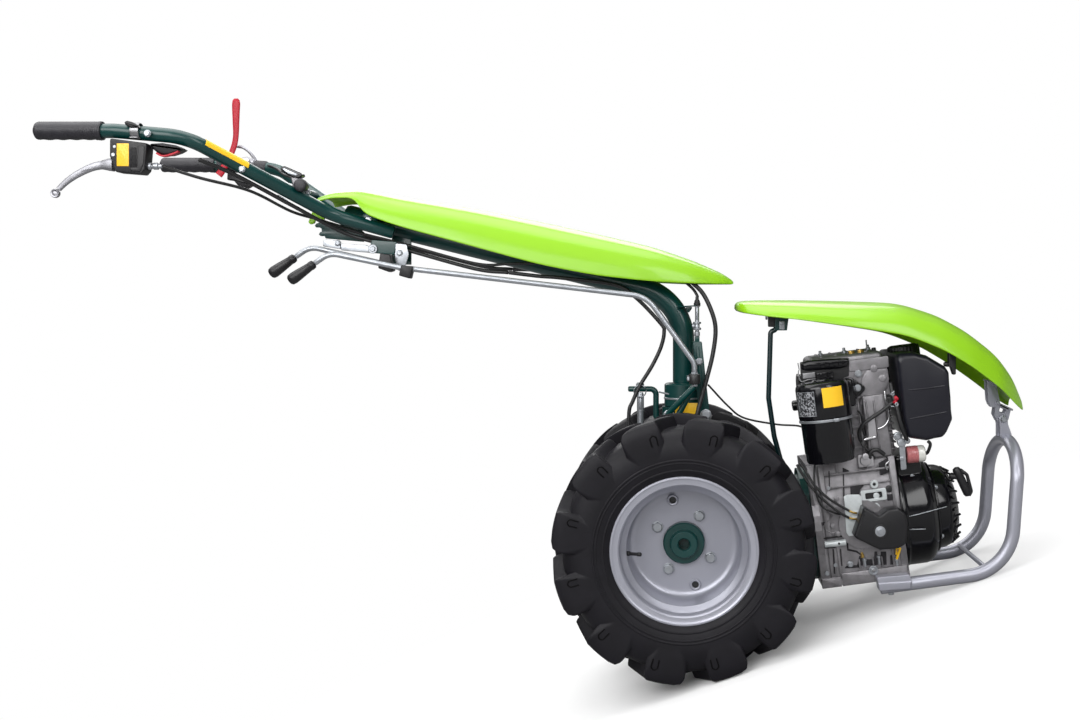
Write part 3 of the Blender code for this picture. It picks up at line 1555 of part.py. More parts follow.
CLUTCH_ARM_TOP = 0.3977
CLUTCH_ARM_X = 0.0274  # its top
CLUTCH_ARM_FOOT_X = 0.050
CLUTCH_ARM_SIDE = 0.0440
CLUTCH_ARM_WIDTH = 0.019
CLUTCH_ARM_FOOT_WIDTH = 0.025
CLUTCH_ARM_DEPTH = 0.014
LINK_RADIUS = 0.004
BRACKET_RADIUS = 0.003
LINK_TOP = 0.4800
BRACKET_TOP = 0.4710
LOCK_TUBE_RADIUS = 0.006
LOCK_REAR = 0.1157
LOCK_X = 0.0575
LOCK_FOOT = 0.235
LOCK_TOP = 0.2976
PIN_X = 0.0907
PIN_RADIUS = 0.005


def make_linkages(frames):
    foot = TURRET_SEAT + SEAT_GAP
    outline = [
        (CLUTCH_ARM_FOOT_X - CLUTCH_ARM_FOOT_WIDTH / 2, foot),
        (CLUTCH_ARM_FOOT_X + CLUTCH_ARM_FOOT_WIDTH / 2, foot),
        (CLUTCH_ARM_X + CLUTCH_ARM_WIDTH / 2, CLUTCH_ARM_TOP),
        (CLUTCH_ARM_X - CLUTCH_ARM_WIDTH / 2, CLUTCH_ARM_TOP),
    ]
    outer = -CLUTCH_ARM_SIDE - CLUTCH_ARM_DEPTH / 2
    arm = prism(outline, "Y", outer, outer + CLUTCH_ARM_DEPTH)
    clear_of(arm, bpy.data.objects["steering_turret"])
    finished(arm, "clutch_arm", green_paint(), frames["level"])
    place = (CLUTCH_ARM_X, -CLUTCH_ARM_SIDE, 0)
    link = drum(LINK_RADIUS, CLUTCH_ARM_TOP + SEAT_GAP, LINK_TOP, "Z", place, steps=10)
    barrel_foot = CLUTCH_ARM_TOP + 4 * LINK_RADIUS
    barrel = drum(LINK_RADIUS * 1.8, barrel_foot, barrel_foot + 4 * LINK_RADIUS, "Z", place, steps=10)
    holder_root = (-COLUMN_RADIUS, 0, BRACKET_TOP - LINK_RADIUS)
    holder = tube([holder_root, (CLUTCH_ARM_X, -CLUTCH_ARM_SIDE, BRACKET_TOP)], BRACKET_RADIUS, 8)
    joined(link, barrel, holder)
    clear_of(link, bpy.data.objects["column_arm"])
    finished(link, "clutch_link", zinc_plate(), frames["column"])
    bracket = tube(
        rounded(
            [
                (-TURRET_RADIUS + OVERRUN, 0, LOCK_FOOT),
                (-LOCK_X, 0, LOCK_FOOT),
                (-LOCK_X, 0, LOCK_TOP),
                (-LOCK_REAR, 0, LOCK_TOP),
            ],
            LOCK_TUBE_RADIUS * 2,
            30,
        ),
        LOCK_TUBE_RADIUS,
        8,
    )
    clear_of(bracket, bpy.data.objects["steering_turret"])
    finished(bracket, "lock_bracket", green_paint(), frames["level"])
    foot_x, foot_z = driveline_to_level(-GEARBOX_REAR * 0.48, GEARBOX_TOP)
    rod = tube(
        [
            (-PIN_X, 0, LOCK_TOP - LOCK_TUBE_RADIUS - 2 * SEAT_GAP),
            (foot_x, 0, foot_z - OVERRUN),
        ],
        PIN_RADIUS,
        8,
    )
    clear_of(rod, bpy.data.objects["gearbox_housing"], lean=-DRIVELINE_LEAN)
    finished(rod, "lock_rod", zinc_plate(), frames["level"])


SECTOR_TEETH = 5
SECTOR_FRONT = 0.668
SECTOR_REAR = 0.745
SECTOR_DROP = 0.018  # teeth start below the column's rear end
SECTOR_HEIGHT = 0.042
SECTOR_SHEET = 0.008
SECTOR_SIDE = 0.030
TOOTH_DEPTH = 0.006


def make_sector(frames):
    """Toothed plate on the column's end that sets the handlebars' height."""
    pitch = SECTOR_HEIGHT / SECTOR_TEETH
    top = COLUMN_REAR_HEIGHT - SECTOR_DROP
    outline = [(-SECTOR_FRONT, top - SECTOR_HEIGHT), (-SECTOR_FRONT, top)]
    for k in range(SECTOR_TEETH):
        level = top - pitch * k
        outline.append((-SECTOR_REAR, level - pitch * 0.15))
        outline.append((-SECTOR_REAR, level - pitch * 0.55))
        outline.append((-SECTOR_REAR + TOOTH_DEPTH, level - pitch * 0.65))
        outline.append((-SECTOR_REAR + TOOTH_DEPTH, level - pitch * 0.95))
    plate = prism(outline, "Y", -SECTOR_SIDE - SECTOR_SHEET, -SECTOR_SIDE)
    arm = block(
        (COLUMN_RADIUS, SECTOR_SIDE, COLUMN_RADIUS),
        (-SECTOR_FRONT - COLUMN_RADIUS, -SECTOR_SIDE / 2, top - COLUMN_RADIUS / 2),
    )
    joined(plate, arm)
    clear_of(plate, bpy.data.objects["column_arm"])
    finished(plate, "height_sector", green_paint(), frames["column"])


# Side cover's outline: share of half its span, share of half its height
SIDE_COVER_SHARES = [
    (-0.95, 0.72),
    (-0.45, 0.50),
    (0.10, 0.45),
    (0.45, 0.95),
    (1.0, -0.20),
    (0.50, -0.80),
    (-0.30, -1.0),
    (-1.0, -0.75),
]


def make_small_engine_parts(frames):
    engine = frames["engine"]
    side = -CASE_HALF_WIDTH - SUMP_OVERHANG - SEAT_GAP
    outline = [
        (-CASE_FRONT - a * SIDE_COVER_SPAN / 2, COWL_CENTRE + b * SIDE_COVER_HEIGHT / 2)
        for a, b in SIDE_COVER_SHARES
    ]
    cover = prism(outline, "Y", side - SIDE_COVER_DEPTH, side)
    soften(cover, FIN_THICKNESS, 1)
    finished(cover, "side_cover", black_plastic(), engine)
    front = CASE_FRONT + SEAT_GAP
    place = (0, -CASE_HALF_WIDTH + FUEL_FILTER_RADIUS * 0.4, CASE_TOP - FUEL_FILTER_RADIUS)
    cup = drum(
        FUEL_FILTER_RADIUS,
        front + FUEL_FILTER_STUB,
        front + FUEL_FILTER_STUB + FUEL_FILTER_LENGTH,
        "X",
        place,
        steps=14,
        edge=FUEL_FILTER_RADIUS * 0.15,
    )
    stub_end = front + 2 * FUEL_FILTER_STUB
    stub = drum(FUEL_FILTER_RADIUS * 0.4, CASE_FRONT - OVERRUN, stub_end, "X", place, steps=10)
    joined(cup, stub)
    clear_of(cup, bpy.data.objects["engine_crankcase"])
    finished(clear_of(cup, bpy.data.objects["fan_cowl"]), "fuel_filter", filter_plastic(), engine)
    muffler = drum(
        MUFFLER_RADIUS,
        -MUFFLER_LENGTH / 2,
        MUFFLER_LENGTH / 2,
        "X",
        (-BARREL_REAR / 2, MUFFLER_SIDE, BARREL_TOP),
        steps=20,
        edge=MUFFLER_RADIUS * 0.2,
    )
    neck = drum(
        TAILPIPE_RADIUS * 1.4,
        BARREL_HALF_WIDTH + HEAD_OVERHANG + SEAT_GAP,
        MUFFLER_SIDE,
        "Y",
        (-BARREL_REAR / 2, 0, BARREL_TOP + MUFFLER_RADIUS / 3),
        steps=12,
    )
    pipe = drum(
        TAILPIPE_RADIUS,
        -BARREL_REAR / 2 - MUFFLER_LENGTH / 2 - TAILPIPE_LENGTH,
        -BARREL_REAR / 2,
        "X",
        (0, MUFFLER_SIDE, BARREL_TOP - MUFFLER_RADIUS / 2),
        steps=12,
    )
    joined(muffler, neck, pipe)
    finished(muffler, "muffler", black_enamel(), engine)


# Cables. Each lies along a smooth curve; its points give a share of the column's reach behind the
# axle, a share of half the grips' spread towards the left, and a share of the column's height.
# The first points of the three that start on the handlebars are set from the bars themselves.
CLUTCH_CABLE_SHARES = [
    (1.291, -0.90, 1.0776),
    (1.190, -0.667, 1.0497),
    (1.1095, -0.40, 0.9986),
    (1.0455, -0.25, 0.9770),
    (0.944, -0.160, 0.9400),
    (0.8261, -0.133, 0.9080),
    (0.610, -0.107, 0.8455),
    (0.511, -0.120, 0.8440),
    (0.4255, -0.120, 0.8470),
    (0.340, -0.120, 0.8480),
    (0.255, -0.120, 0.8450),
    (0.142, -0.120, 0.8450),
    (0.043, -0.127, 0.8180),
    (-0.017, -0.130, 0.7760),
]
BRAKE_CABLE_SHARES = [
    (1.294, -0.900, 1.1300),
    (1.220, -0.727, 1.0930),
    (1.106, -0.467, 1.0180),
    (0.993, -0.213, 0.9445),
    (0.908, -0.167, 0.9140),
    (0.823, -0.140, 0.8920),
    (0.610, -0.113, 0.8290),
    (0.511, -0.113, 0.8170),
]
BRAKE_FOOT_SHARES = [
    (0.426, -0.113, 0.8060),
    (0.355, -0.110, 0.8000),
    (0.2035, -0.100, 0.7794),
    (0.1397, -0.100, 0.7388),
    (0.0670, -0.100, 0.6577),
    (0.0573, -0.100, 0.6305),
    (0.0670, -0.100, 0.5830),
    (0.0925, -0.100, 0.5256),
    (0.1275, -0.100, 0.4647),
    (0.1494, -0.100, 0.4138),
    (0.1597, -0.100, 0.3800),
    (0.1600, -0.100, 0.2700),
    (0.1500, -0.100, 0.1700),
]
THROTTLE_CABLE_SHARES = [
    (1.319, 0.900, 1.1450),
    (1.220, 0.683, 1.0985),
    (1.106, 0.433, 1.0227),
    (0.993, 0.230, 0.9515),
    (0.908, 0.167, 0.9227),
    (0.823, 0.140, 0.9015),
    (0.610, 0.113, 0.8409),
    (0.511, 0.113, 0.8302),
]
THROTTLE_FOOT_SHARES = [
    (0.355, 0.117, 0.8300),
    (0.213, 0.107, 0.8480),
    (0.113, 0.0, 0.8560),
    (0.028, -0.117, 0.8300),
    (-0.0275, -0.183, 0.7823),
    (-0.0589, -0.190, 0.7455),
    (-0.0840, -0.200, 0.6852),
    (-0.0919, -0.200, 0.6347),
    (-0.0840, -0.200, 0.5645),
    (-0.0670, -0.207, 0.4906),
    (-0.0400, -0.223, 0.3850),
    (-0.0260, -0.220, 0.3000),
    (-0.0200, -0.217, 0.2000),
]
ENGINE_CABLE_SHARES = [
    (-0.0705, -0.1317, 0.4682),
    (-0.130, -0.067, 0.3995),
    (-0.1787, 0.0, 0.3594),
    (-0.2766, 0.067, 0.3364),
    (-0.3475, 0.0, 0.3318),
    (-0.3716, -0.16, 0.3050),
    (-0.3730, -0.317, 0.2560),
    (-0.3690, -0.387, 0.1850),
    (-0.3850, -0.400, 0.1150),
    (-0.4200, -0.390, 0.0900),
    (-0.4450, -0.343, 0.0800),
]
CLUTCH_CABLE_RADIUS = 0.003
BRAKE_CABLE_RADIUS = 0.004
THROTTLE_CABLE_RADIUS = 0.0045
ENGINE_CABLE_RADIUS = 0.002
CABLE_STUB = 0.012  # straight run out of a fitting


def cable_places(shares):
    return [
        (-a * COLUMN_REAR, b * GRIP_SPREAD / 2, c * COLUMN_REAR_HEIGHT) for a, b, c in shares
    ]


def smooth_path(points, spacing):
    """Catmull-Rom curve through the points, with a point at every step of the spacing."""
    points = [Vector(point) for point in points]
    points = [points[0] * 2 - points[1], *points, points[-1] * 2 - points[-2]]
    fine = []
    for a, b, c, d in zip(points, points[1:], points[2:], points[3:]):
        for k in range(12):
            t = k / 12
            steady = 2 * b + (c - a) * t
            bent = (2 * a - 5 * b + 4 * c - d) * t ** 2 + (3 * b - a - 3 * c + d) * t ** 3
            fine.append((steady + bent) / 2)
    fine.append(points[-2])
    path = [fine[0]]
    walked = 0
    for before, after in zip(fine, fine[1:]):
        walked += (after - before).length
        if walked >= spacing:
            path.append(after)
            walked = 0
    path[-1] = fine[-1]
    return path


def cable(name, points, radius, frame, *seats):
    """A cable as one tube, cut back where it enters what it ends in."""
    item = tube(smooth_path(points, 6 * radius), radius, 12)
    for seat, lean in seats:
        clear_of(item, bpy.data.objects[seat], lean=lean)
    finished(item, name, black_plastic(), frame, smooth=60)


def clear_of_engine(item, carrier):
    """Cuts a piece drawn in the level frame back from one that is drawn in the engine's."""
    moved = carrier.copy()
    moved.data = carrier.data.copy()
    moved.data.transform(Matrix.Translation((CRANK_AHEAD, 0, -CRANK_DROP)))
    clear_of(item, moved, lean=-DRIVELINE_LEAN)
    bpy.data.objects.remove(moved, do_unlink=True)


def make_cables(frames):
    """Clutch, brake and throttle cables from the handlebars, and one that runs to the engine."""
    near = -GRIP_SPREAD / 2
    box_front = -SWITCH_FRONT + SEAT_GAP
    box_top = GRIP_HEIGHT - BAR_RADIUS
    clutch = cable_places(CLUTCH_CABLE_SHARES)
    start_z = box_top - SWITCH_HEIGHT * 0.88
    start = [(box_front, near, start_z), (box_front + 2 * CABLE_STUB, near, start_z)]
    link = (CLUTCH_ARM_X, -CLUTCH_ARM_SIDE, LINK_TOP + SEAT_GAP)
    end = [(CLUTCH_ARM_X, -CLUTCH_ARM_SIDE, link[2] + CABLE_STUB), link]
    path = start + clutch + end
    cable("clutch_cable", path, CLUTCH_CABLE_RADIUS, frames["column"], ("clutch_link", 0.0))
    for name, shares, radius in (
        ("brake", BRAKE_CABLE_SHARES, BRAKE_CABLE_RADIUS),
        ("throttle", THROTTLE_CABLE_SHARES, THROTTLE_CABLE_RADIUS * 0.8),
    ):
        places = cable_places(shares)
        cable(name + "_cable", places, radius, frames["column"])
    gearbox = ("gearbox_housing", -DRIVELINE_LEAN)
    for name, shares, upper, radius in (
        ("brake", BRAKE_FOOT_SHARES, BRAKE_CABLE_SHARES, BRAKE_CABLE_RADIUS),
        ("throttle", THROTTLE_FOOT_SHARES, THROTTLE_CABLE_SHARES, THROTTLE_CABLE_RADIUS),
    ):
        last = cable_places(upper)[-1]
        first = (last[0] + SEAT_GAP, last[1], last[2])
        places = [first, *cable_places(shares)]
        cable(name + "_cable_foot", places, radius, frames["level"], gearbox)
    places = cable_places(ENGINE_CABLE_SHARES)
    thin = tube(smooth_path(places, 6 * ENGINE_CABLE_RADIUS), ENGINE_CABLE_RADIUS, 12)
    clear_of(thin, bpy.data.objects["clutch_arm"])
    clear_of_engine(thin, bpy.data.objects["engine_crankcase"])
    finished(thin, "engine_cable", black_plastic(), frames["level"], smooth=60)


def settle(frames):
    """Moves the whole machine so that its box stands centred on the origin."""
    bpy.context.view_layer.update()
    graph = bpy.context.evaluated_depsgraph_get()
    lows, highs = [], []
    for item in bpy.context.scene.objects:
        if item.type != "MESH" or item.hide_render:
            continue
        mesh = item.evaluated_get(graph).to_mesh()
        corners = [item.matrix_world @ vertex.co for vertex in mesh.vertices]
        lows.append([min(corner[k] for corner in corners) for k in range(3)])
        highs.append([max(corner[k] for corner in corners) for k in range(3)])
    low = [min(row[k] for row in lows) for k in range(3)]
    high = [max(row[k] for row in highs) for k in range(3)]
    tractor = frames["level"]["empty"]
    tractor.location.x -= (low[0] + high[0]) / 2
    tractor.location.z -= low[2]


def main():
    clear_scene()
    frames = make_frames()
    make_wheels(frames)
    make_gearbox(frames)
    make_bell(frames)
    make_turret(frames)
    make_crankcase(frames)
    make_cylinder(frames)
    make_cowl(frames)
    make_air_filter(frames)
    make_tank(frames)
    make_small_engine_parts(frames)
    make_front_guard(frames)
    make_cradle(frames)
    make_guard_bracket(frames)
    make_hood(frames)
    make_hood_fittings(frames)
    make_hood_prop(frames)
    make_cover(frames)
    make_column(frames)
    make_sector(frames)
    make_gear_rods(frames)
    make_rod_guide(frames)
    make_linkages(frames)
    make_bars(frames)
    for name, side in (("left", 1), ("right", -1)):
        finished(grip_blank(side), "grip_" + name, black_plastic(), frames["bars"])
    make_bar_controls(frames)
    make_cables(frames)
    settle(frames)


main()
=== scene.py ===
import json
import math

import bmesh
import bpy
import numpy as np
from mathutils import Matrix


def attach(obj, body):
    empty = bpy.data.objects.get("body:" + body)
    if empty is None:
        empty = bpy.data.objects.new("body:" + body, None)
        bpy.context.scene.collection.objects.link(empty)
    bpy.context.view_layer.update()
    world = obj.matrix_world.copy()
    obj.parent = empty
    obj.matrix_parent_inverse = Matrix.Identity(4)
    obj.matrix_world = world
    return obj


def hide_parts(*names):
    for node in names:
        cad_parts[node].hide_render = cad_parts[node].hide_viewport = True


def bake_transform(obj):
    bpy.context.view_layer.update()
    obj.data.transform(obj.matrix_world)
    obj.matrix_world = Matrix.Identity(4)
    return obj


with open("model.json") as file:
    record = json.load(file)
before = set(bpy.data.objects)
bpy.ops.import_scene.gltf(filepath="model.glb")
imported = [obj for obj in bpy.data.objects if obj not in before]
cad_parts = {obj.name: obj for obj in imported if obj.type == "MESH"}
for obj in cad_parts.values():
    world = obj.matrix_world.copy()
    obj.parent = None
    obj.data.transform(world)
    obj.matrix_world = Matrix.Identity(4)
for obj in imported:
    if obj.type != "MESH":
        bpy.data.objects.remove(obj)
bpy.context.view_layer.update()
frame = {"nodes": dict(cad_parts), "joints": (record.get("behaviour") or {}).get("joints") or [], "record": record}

nodes = frame["nodes"]
joints = {joint["name"]: joint for joint in frame["joints"]}

# The machine is stored nose down on its guard. Pieces are laid out in the level tractor's
# coordinates (x ahead of the axle, z above it), or in the leaning driveline's or the engine's.
swingAxis = np.array(joints["column_swing"]["axis"])
machine = {
    "axle": np.array(joints["wheel_left_spin"]["pos_m"]) * (1.0, 0.0, 1.0),
    "lean": math.atan2(swingAxis[0], swingAxis[2]),
    "driveLean": math.radians(7.5),
    "crankAhead": 0.4005,
    "crankDrop": 0.0225,
    "track": 0.33,
}


def leaning(points, angle):
    # x' = x cos a + z sin a, z' = z cos a - x sin a: a turn, nose down, about the axle
    x, y, z = np.moveaxis(np.asarray(points, float), -1, 0)
    c, s = math.cos(angle), math.sin(angle)
    return np.stack([x * c + z * s, y, z * c - x * s], axis=-1)


def inWorld(points, where="level"):
    points = np.asarray(points, float)
    if where == "world":
        return points
    angle = machine["lean"]
    if where == "engine":
        points = points + (machine["crankAhead"], 0.0, -machine["crankDrop"])
    if where in ("engine", "drive"):
        angle -= machine["driveLean"]
    return leaning(points, angle) + machine["axle"]


# The photograph is taken square on, from `away` metres off the machine's middle plane. Outlines
# were read in magnified parts of it: left and top edge, magnification, and the
# coordinates that what shows there is laid out in.
photo = {"x": -0.0157, "z": 0.4726, "away": 2.75, "column": 676, "row": 305, "scale": 1320}
crops = {
    "whole": (0, 0, 1.0, "level"),
    "head": (738, 330, 6.2222, "engine"),
    "case": (738, 460, 6.2222, "engine"),
    "casting": (800, 450, 11.2, "engine"),
    "bars": (95, 90, 6.272, "level"),
    "switch": (20, 110, 12.0615, "level"),
    "joint": (240, 140, 8.7111, "level"),
    "feet": (860, 520, 10.4533, "level"),
    "hinge": (930, 350, 17.4222, "level"),
    "catch": (755, 295, 10.8, "level"),
}


def spot(crop, column, row, y):
    # x = x0 + (c - c0)(away + y) / scale, z = z0 - (r - r0)(away + y) / scale, where c and r are the
    # crop's corner plus column and row over its magnification; kept to a tenth of a millimetre
    left, top, magnified, where = crops[crop]
    across, down = left + column / magnified - photo["column"], top + row / magnified - photo["row"]
    depth = photo["away"] + y
    point = photo["x"] + across * depth / photo["scale"], y, photo["z"] - down * depth / photo["scale"]
    if where == "engine":
        point = leaning(point, machine["driveLean"]) - (machine["crankAhead"], 0.0, -machine["crankDrop"])
    return tuple(round(float(value), 4) for value in point)


def onPlane(crop, y, *pixels):
    # an outline of (x, z) on the plane y
    return [spot(crop, column, row, y)[::2] for column, row in pixels]


def inSpace(crop, *places):
    # a path of (x, y, z) from (column, row, y)
    return [spot(crop, *place) for place in places]


def putAt(y, crop, column, row, seenAt):
    # the x and z that a pixel has on the plane seenAt, put on the plane y
    x, _, z = spot(crop, column, row, seenAt)
    return x, y, z


# shapes: each returns (points, faces), with faces as lists of corner numbers


def skin(rings, closed=True, ends=True):
    # quads between neighbouring rings of n points; ends=True closes both with a flat face
    rings = np.asarray(rings, float)
    count, around = rings.shape[:2]
    rows, columns = np.meshgrid(
        np.arange(count - 1), np.arange(around - (0 if closed else 1)), indexing="ij"
    )
    following = (columns + 1) % around
    quads = np.stack(
        [
            rows * around + columns, rows * around + following, (rows + 1) * around + following,
            (rows + 1) * around + columns
        ],
        axis=-1
    ).reshape(-1, 4)
    faces = quads.tolist()
    if ends and closed:
        faces.append(list(range(around))[::-1])
        faces.append([(count - 1) * around + k for k in range(around)])
    return rings.reshape(-1, 3), faces


def loop(rings):
    # the same, with the last ring joined to the first
    rings = np.asarray(rings, float)
    points, faces = skin(rings, ends=False)
    count, around = rings.shape[:2]
    for k in range(around):
        after = (k + 1) % around
        faces.append([(count - 1) * around + k, (count - 1) * around + after, after, k])
    return points, faces


def together(*shapes):
    points, faces, start = [], [], 0
    for shapePoints, shapeFaces in shapes:
        points.append(np.asarray(shapePoints, float))
        faces += [[corner + start for corner in face] for face in shapeFaces]
        start += len(shapePoints)
    return np.concatenate(points), faces


def shifted(shape, by):
    return np.asarray(shape[0]) + np.asarray(by, float), shape[1]


def turned(shape, axis, degrees, about=(0, 0, 0)):
    # right-hand turn about x, y or z through a point
    points = np.asarray(shape[0], float) - about
    a = math.radians(degrees)
    i, j = {"x": (1, 2), "y": (2, 0), "z": (0, 1)}[axis]
    first, second = points[:, i].copy(), points[:, j].copy()
    points[:, i] = first * math.cos(a) - second * math.sin(a)
    points[:, j] = first * math.sin(a) + second * math.cos(a)
    return points + about, shape[1]


def alongAxis(axis, along, first, second):
    # first and second run as the other two axes in turn; stacked to points
    return np.stack(
        {"x": (along, first, second), "y": (first, along, second), "z": (first, second, along)}[axis],
        axis=-1
    )


def faced(shape, facing, place):
    # a shape drawn up z turned to face x, -x, y, -y, z or -z at a place
    x, y, z = (shape[0] * (1.0, 1.0, -1.0 if facing[0] == "-" else 1.0)).T
    return alongAxis(facing[-1], z, x, y) + np.asarray(place, float), shape[1]


def lathe(profile, axis="y", steps=64, middle=(0, 0, 0), ring=False, radial=None):
    # a profile of (radius, place along the axis) spun about it; radial may scale the radius by angle
    profile = np.asarray(profile, float)
    angles = np.linspace(0, 2 * math.pi, steps, endpoint=False)
    scale = np.ones(steps) if radial is None else radial(angles)
    radii = profile[:, :1] * scale[None, :]
    first, second = radii * np.cos(angles), radii * np.sin(angles)
    along = np.repeat(profile[:, 1:2], steps, axis=1)
    order = {"x": (along, first, second), "y": (second, along, first), "z": (first, second, along)}[axis]
    rings = np.stack(order, axis=-1) + middle
    return loop(rings) if ring else skin(rings)


def rounded(points, radius, steps=6):
    # a polyline's inner corners turned into arcs of one radius, shortened where a run is too short
    points = [np.asarray(point, float) for point in points]
    path = [points[0]]
    for before, corner, after in zip(points, points[1:], points[2:]):
        a, b = before - corner, after - corner
        la, lb = np.linalg.norm(a), np.linalg.norm(b)
        a, b = a / la, b / lb
        turn = math.pi - math.acos(np.clip(np.dot(a, b), -1, 1))
        if turn < 0.02:
            path.append(corner)
            continue
        reach = min(radius * math.tan(turn / 2), 0.49 * la, 0.49 * lb)
        arc = reach / math.tan(turn / 2)
        middle = corner + (a + b) / np.linalg.norm(a + b) * (arc / math.cos(turn / 2))
        start = corner + a * reach - middle
        across = (corner + b * reach - middle - start * math.cos(turn)) / math.sin(turn)
        angles = np.linspace(0, turn, steps + 1)[:, None]
        path += list(middle + start * np.cos(angles) + across * np.sin(angles))
    path.append(points[-1])
    return np.array(path)


def spline(points, samples=40):
    # Catmull-Rom curve through the points, sampled evenly along its length
    points = np.asarray(points, float)
    ends = np.vstack([2 * points[0] - points[1], points, 2 * points[-1] - points[-2]])
    t = np.linspace(0, 1, 12, endpoint=False)[:, None]
    rows = []
    for k in range(len(points) - 1):
        a, b, c, d = ends[k : k + 4]
        rows.append(
            0.5 * (
                2 * b + (c - a) * t + (2 * a - 5 * b + 4 * c - d) * t**2 + (3 * b - a - 3 * c + d) * t**3
            )
        )
    fine = np.vstack(rows + [points[-1:]])
    length = np.concatenate([[0], np.cumsum(np.linalg.norm(np.diff(fine, axis=0), axis=1))])
    even = np.linspace(0, length[-1], samples)
    return np.stack([np.interp(even, length, fine[:, k]) for k in range(3)], axis=1)


def directions(path):
    ahead = np.gradient(path, axis=0)
    return ahead / np.maximum(np.linalg.norm(ahead, axis=1, keepdims=True), 1e-12)


def carried(path, section, up=(0.0, 0.0, 1.0), scale=None):
    # a closed section (side, up) carried along a path, turned as little as possible on the way
    path = np.asarray(path, float)
    ahead = directions(path)
    side = np.cross(ahead[0], up)
    if np.linalg.norm(side) < 1e-6:
        side = np.cross(ahead[0], (0.0, 1.0, 0.0))
    sides = []
    for direction in ahead:
        side = side - direction * np.dot(side, direction)
        side = side / np.linalg.norm(side)
        sides.append(side)
    sides = np.array(sides)
    ups = np.cross(sides, ahead)
    section = np.asarray(section, float)
    scale = np.ones((len(path), 1)) if scale is None else np.asarray(scale, float).reshape(-1, 1)
    across = section[None, :, 0] * scale
    above = section[None, :, 1] * scale
    return skin(
        path[:, None, :] + across[..., None] * sides[:, None, :] + above[..., None] * ups[:, None, :]
    )


def circle(radius, sides=24):
    angles = np.linspace(0, 2 * math.pi, sides, endpoint=False)
    return np.stack([radius * np.cos(angles), radius * np.sin(angles)], axis=1)


def tube(path, radius, sides=24, ends=0.35):
    # a round bar with its ends eased over by a share of the radius
    path = np.asarray(path, float)
    ahead = directions(path)
    ease = radius * ends
    steps = np.array([0.0, 0.3, 1.0])
    shrink = 1 - (1 - np.sqrt(1 - (1 - steps) ** 2)) * ends
    head = path[0] + ahead[0] * (steps * ease)[:, None]
    tail = path[-1] - ahead[-1] * (steps * ease)[::-1, None]
    whole = np.vstack([head, path[1:-1], tail])
    scale = np.concatenate([shrink, np.ones(len(path) - 2), shrink[::-1]])
    return carried(whole, circle(radius, sides), scale=scale)


def roundedOutline(points, radius, steps=5):
    # a closed outline in the plane with every corner rounded
    points = np.asarray(points, float)
    ring = []
    for before, corner, after in zip(np.roll(points, 1, 0), points, np.roll(points, -1, 0)):
        a, b = before - corner, after - corner
        la, lb = np.linalg.norm(a), np.linalg.norm(b)
        cosine = np.clip(np.dot(a, b) / (la * lb), -0.9999, 0.9999)
        reach = min(radius / math.tan(math.acos(cosine) / 2), 0.46 * la, 0.46 * lb)
        p, q = corner + a / la * reach, corner + b / lb * reach
        t = np.linspace(0, 1, steps + 1)[:, None]
        ring += list((1 - t) ** 2 * p + 2 * t * (1 - t) * corner + t**2 * q)
    return np.array(ring)


def inset(outline, by):
    # each point moved inwards along the mean of its two edges' normals
    outline = np.asarray(outline, float)
    edge = np.roll(outline, -1, 0) - outline
    normal = np.stack([-edge[:, 1], edge[:, 0]], axis=1)
    normal /= np.maximum(np.linalg.norm(normal, axis=1, keepdims=True), 1e-12)
    mean = normal + np.roll(normal, 1, 0)
    mean /= np.maximum(np.linalg.norm(mean, axis=1, keepdims=True), 1e-12)
    area = 0.5 * np.sum(
        outline[:, 0] * np.roll(outline[:, 1], -1) - np.roll(outline[:, 0], -1) * outline[:, 1]
    )
    return outline + mean * by * (1 if area > 0 else -1)


def slab(outline, axis, low, high, edge=0.001):
    # an outline pushed from low to high along an axis, its rims rounded by the edge's width.
    # Outlines are (y, z) for x, (x, z) for y and (x, y) for z.
    outline = np.asarray(outline, float)
    edge = min(edge, abs(high - low) * 0.45)
    turns = np.radians([0, 30, 60, 90])
    rings = []
    for a in turns:
        rings.append((inset(outline, edge * (1 - math.sin(a))), low + edge * (1 - math.cos(a))))
    for a in turns[::-1]:
        rings.append((inset(outline, edge * (1 - math.sin(a))), high - edge * (1 - math.cos(a))))
    rows = []
    for ring, place in rings:
        along = np.full(len(ring), place)
        rows.append(alongAxis(axis, along, *ring.T))
    return skin(rows)


def brick(low, high, edge=0.002, corner=None, axis="z"):
    # a block with every edge rounded, from its lowest to its highest corner
    low, high = np.asarray(low, float), np.asarray(high, float)
    keep = [k for k in range(3) if k != "xyz".index(axis)]
    a, b = keep
    outline = [(low[a], low[b]), (high[a], low[b]), (high[a], high[b]), (low[a], high[b])]
    k = "xyz".index(axis)
    return slab(roundedOutline(outline, corner or edge, 4), axis, low[k], high[k], edge)


def bolt(place, facing, across=0.013, head=0.006, washer=0.0, sink=0.001):
    # a hexagon head on its washer; facing is x, -x, y, -y, z or -z
    shapes = []
    start = -sink
    if washer:
        shapes.append(lathe([(washer, -sink), (washer, 0.0012), (washer * 0.93, 0.0018)], "z", 24))
        start = 0.0012
    radius = across / 2
    angles = np.linspace(0, 2 * math.pi, 24, endpoint=False)
    hexagon = radius / np.cos((angles + math.pi / 6) % (math.pi / 3) - math.pi / 6)
    rings = []
    for height, cap in ((start, 9), (start + head * 0.86, 9), (start + head, radius * 0.97)):
        r = np.minimum(hexagon, cap) if cap < 9 else hexagon
        rings.append(np.stack([r * np.cos(angles), r * np.sin(angles), np.full(24, height)], axis=1))
    shapes.append(skin(rings))
    return faced(together(*shapes), facing, place)


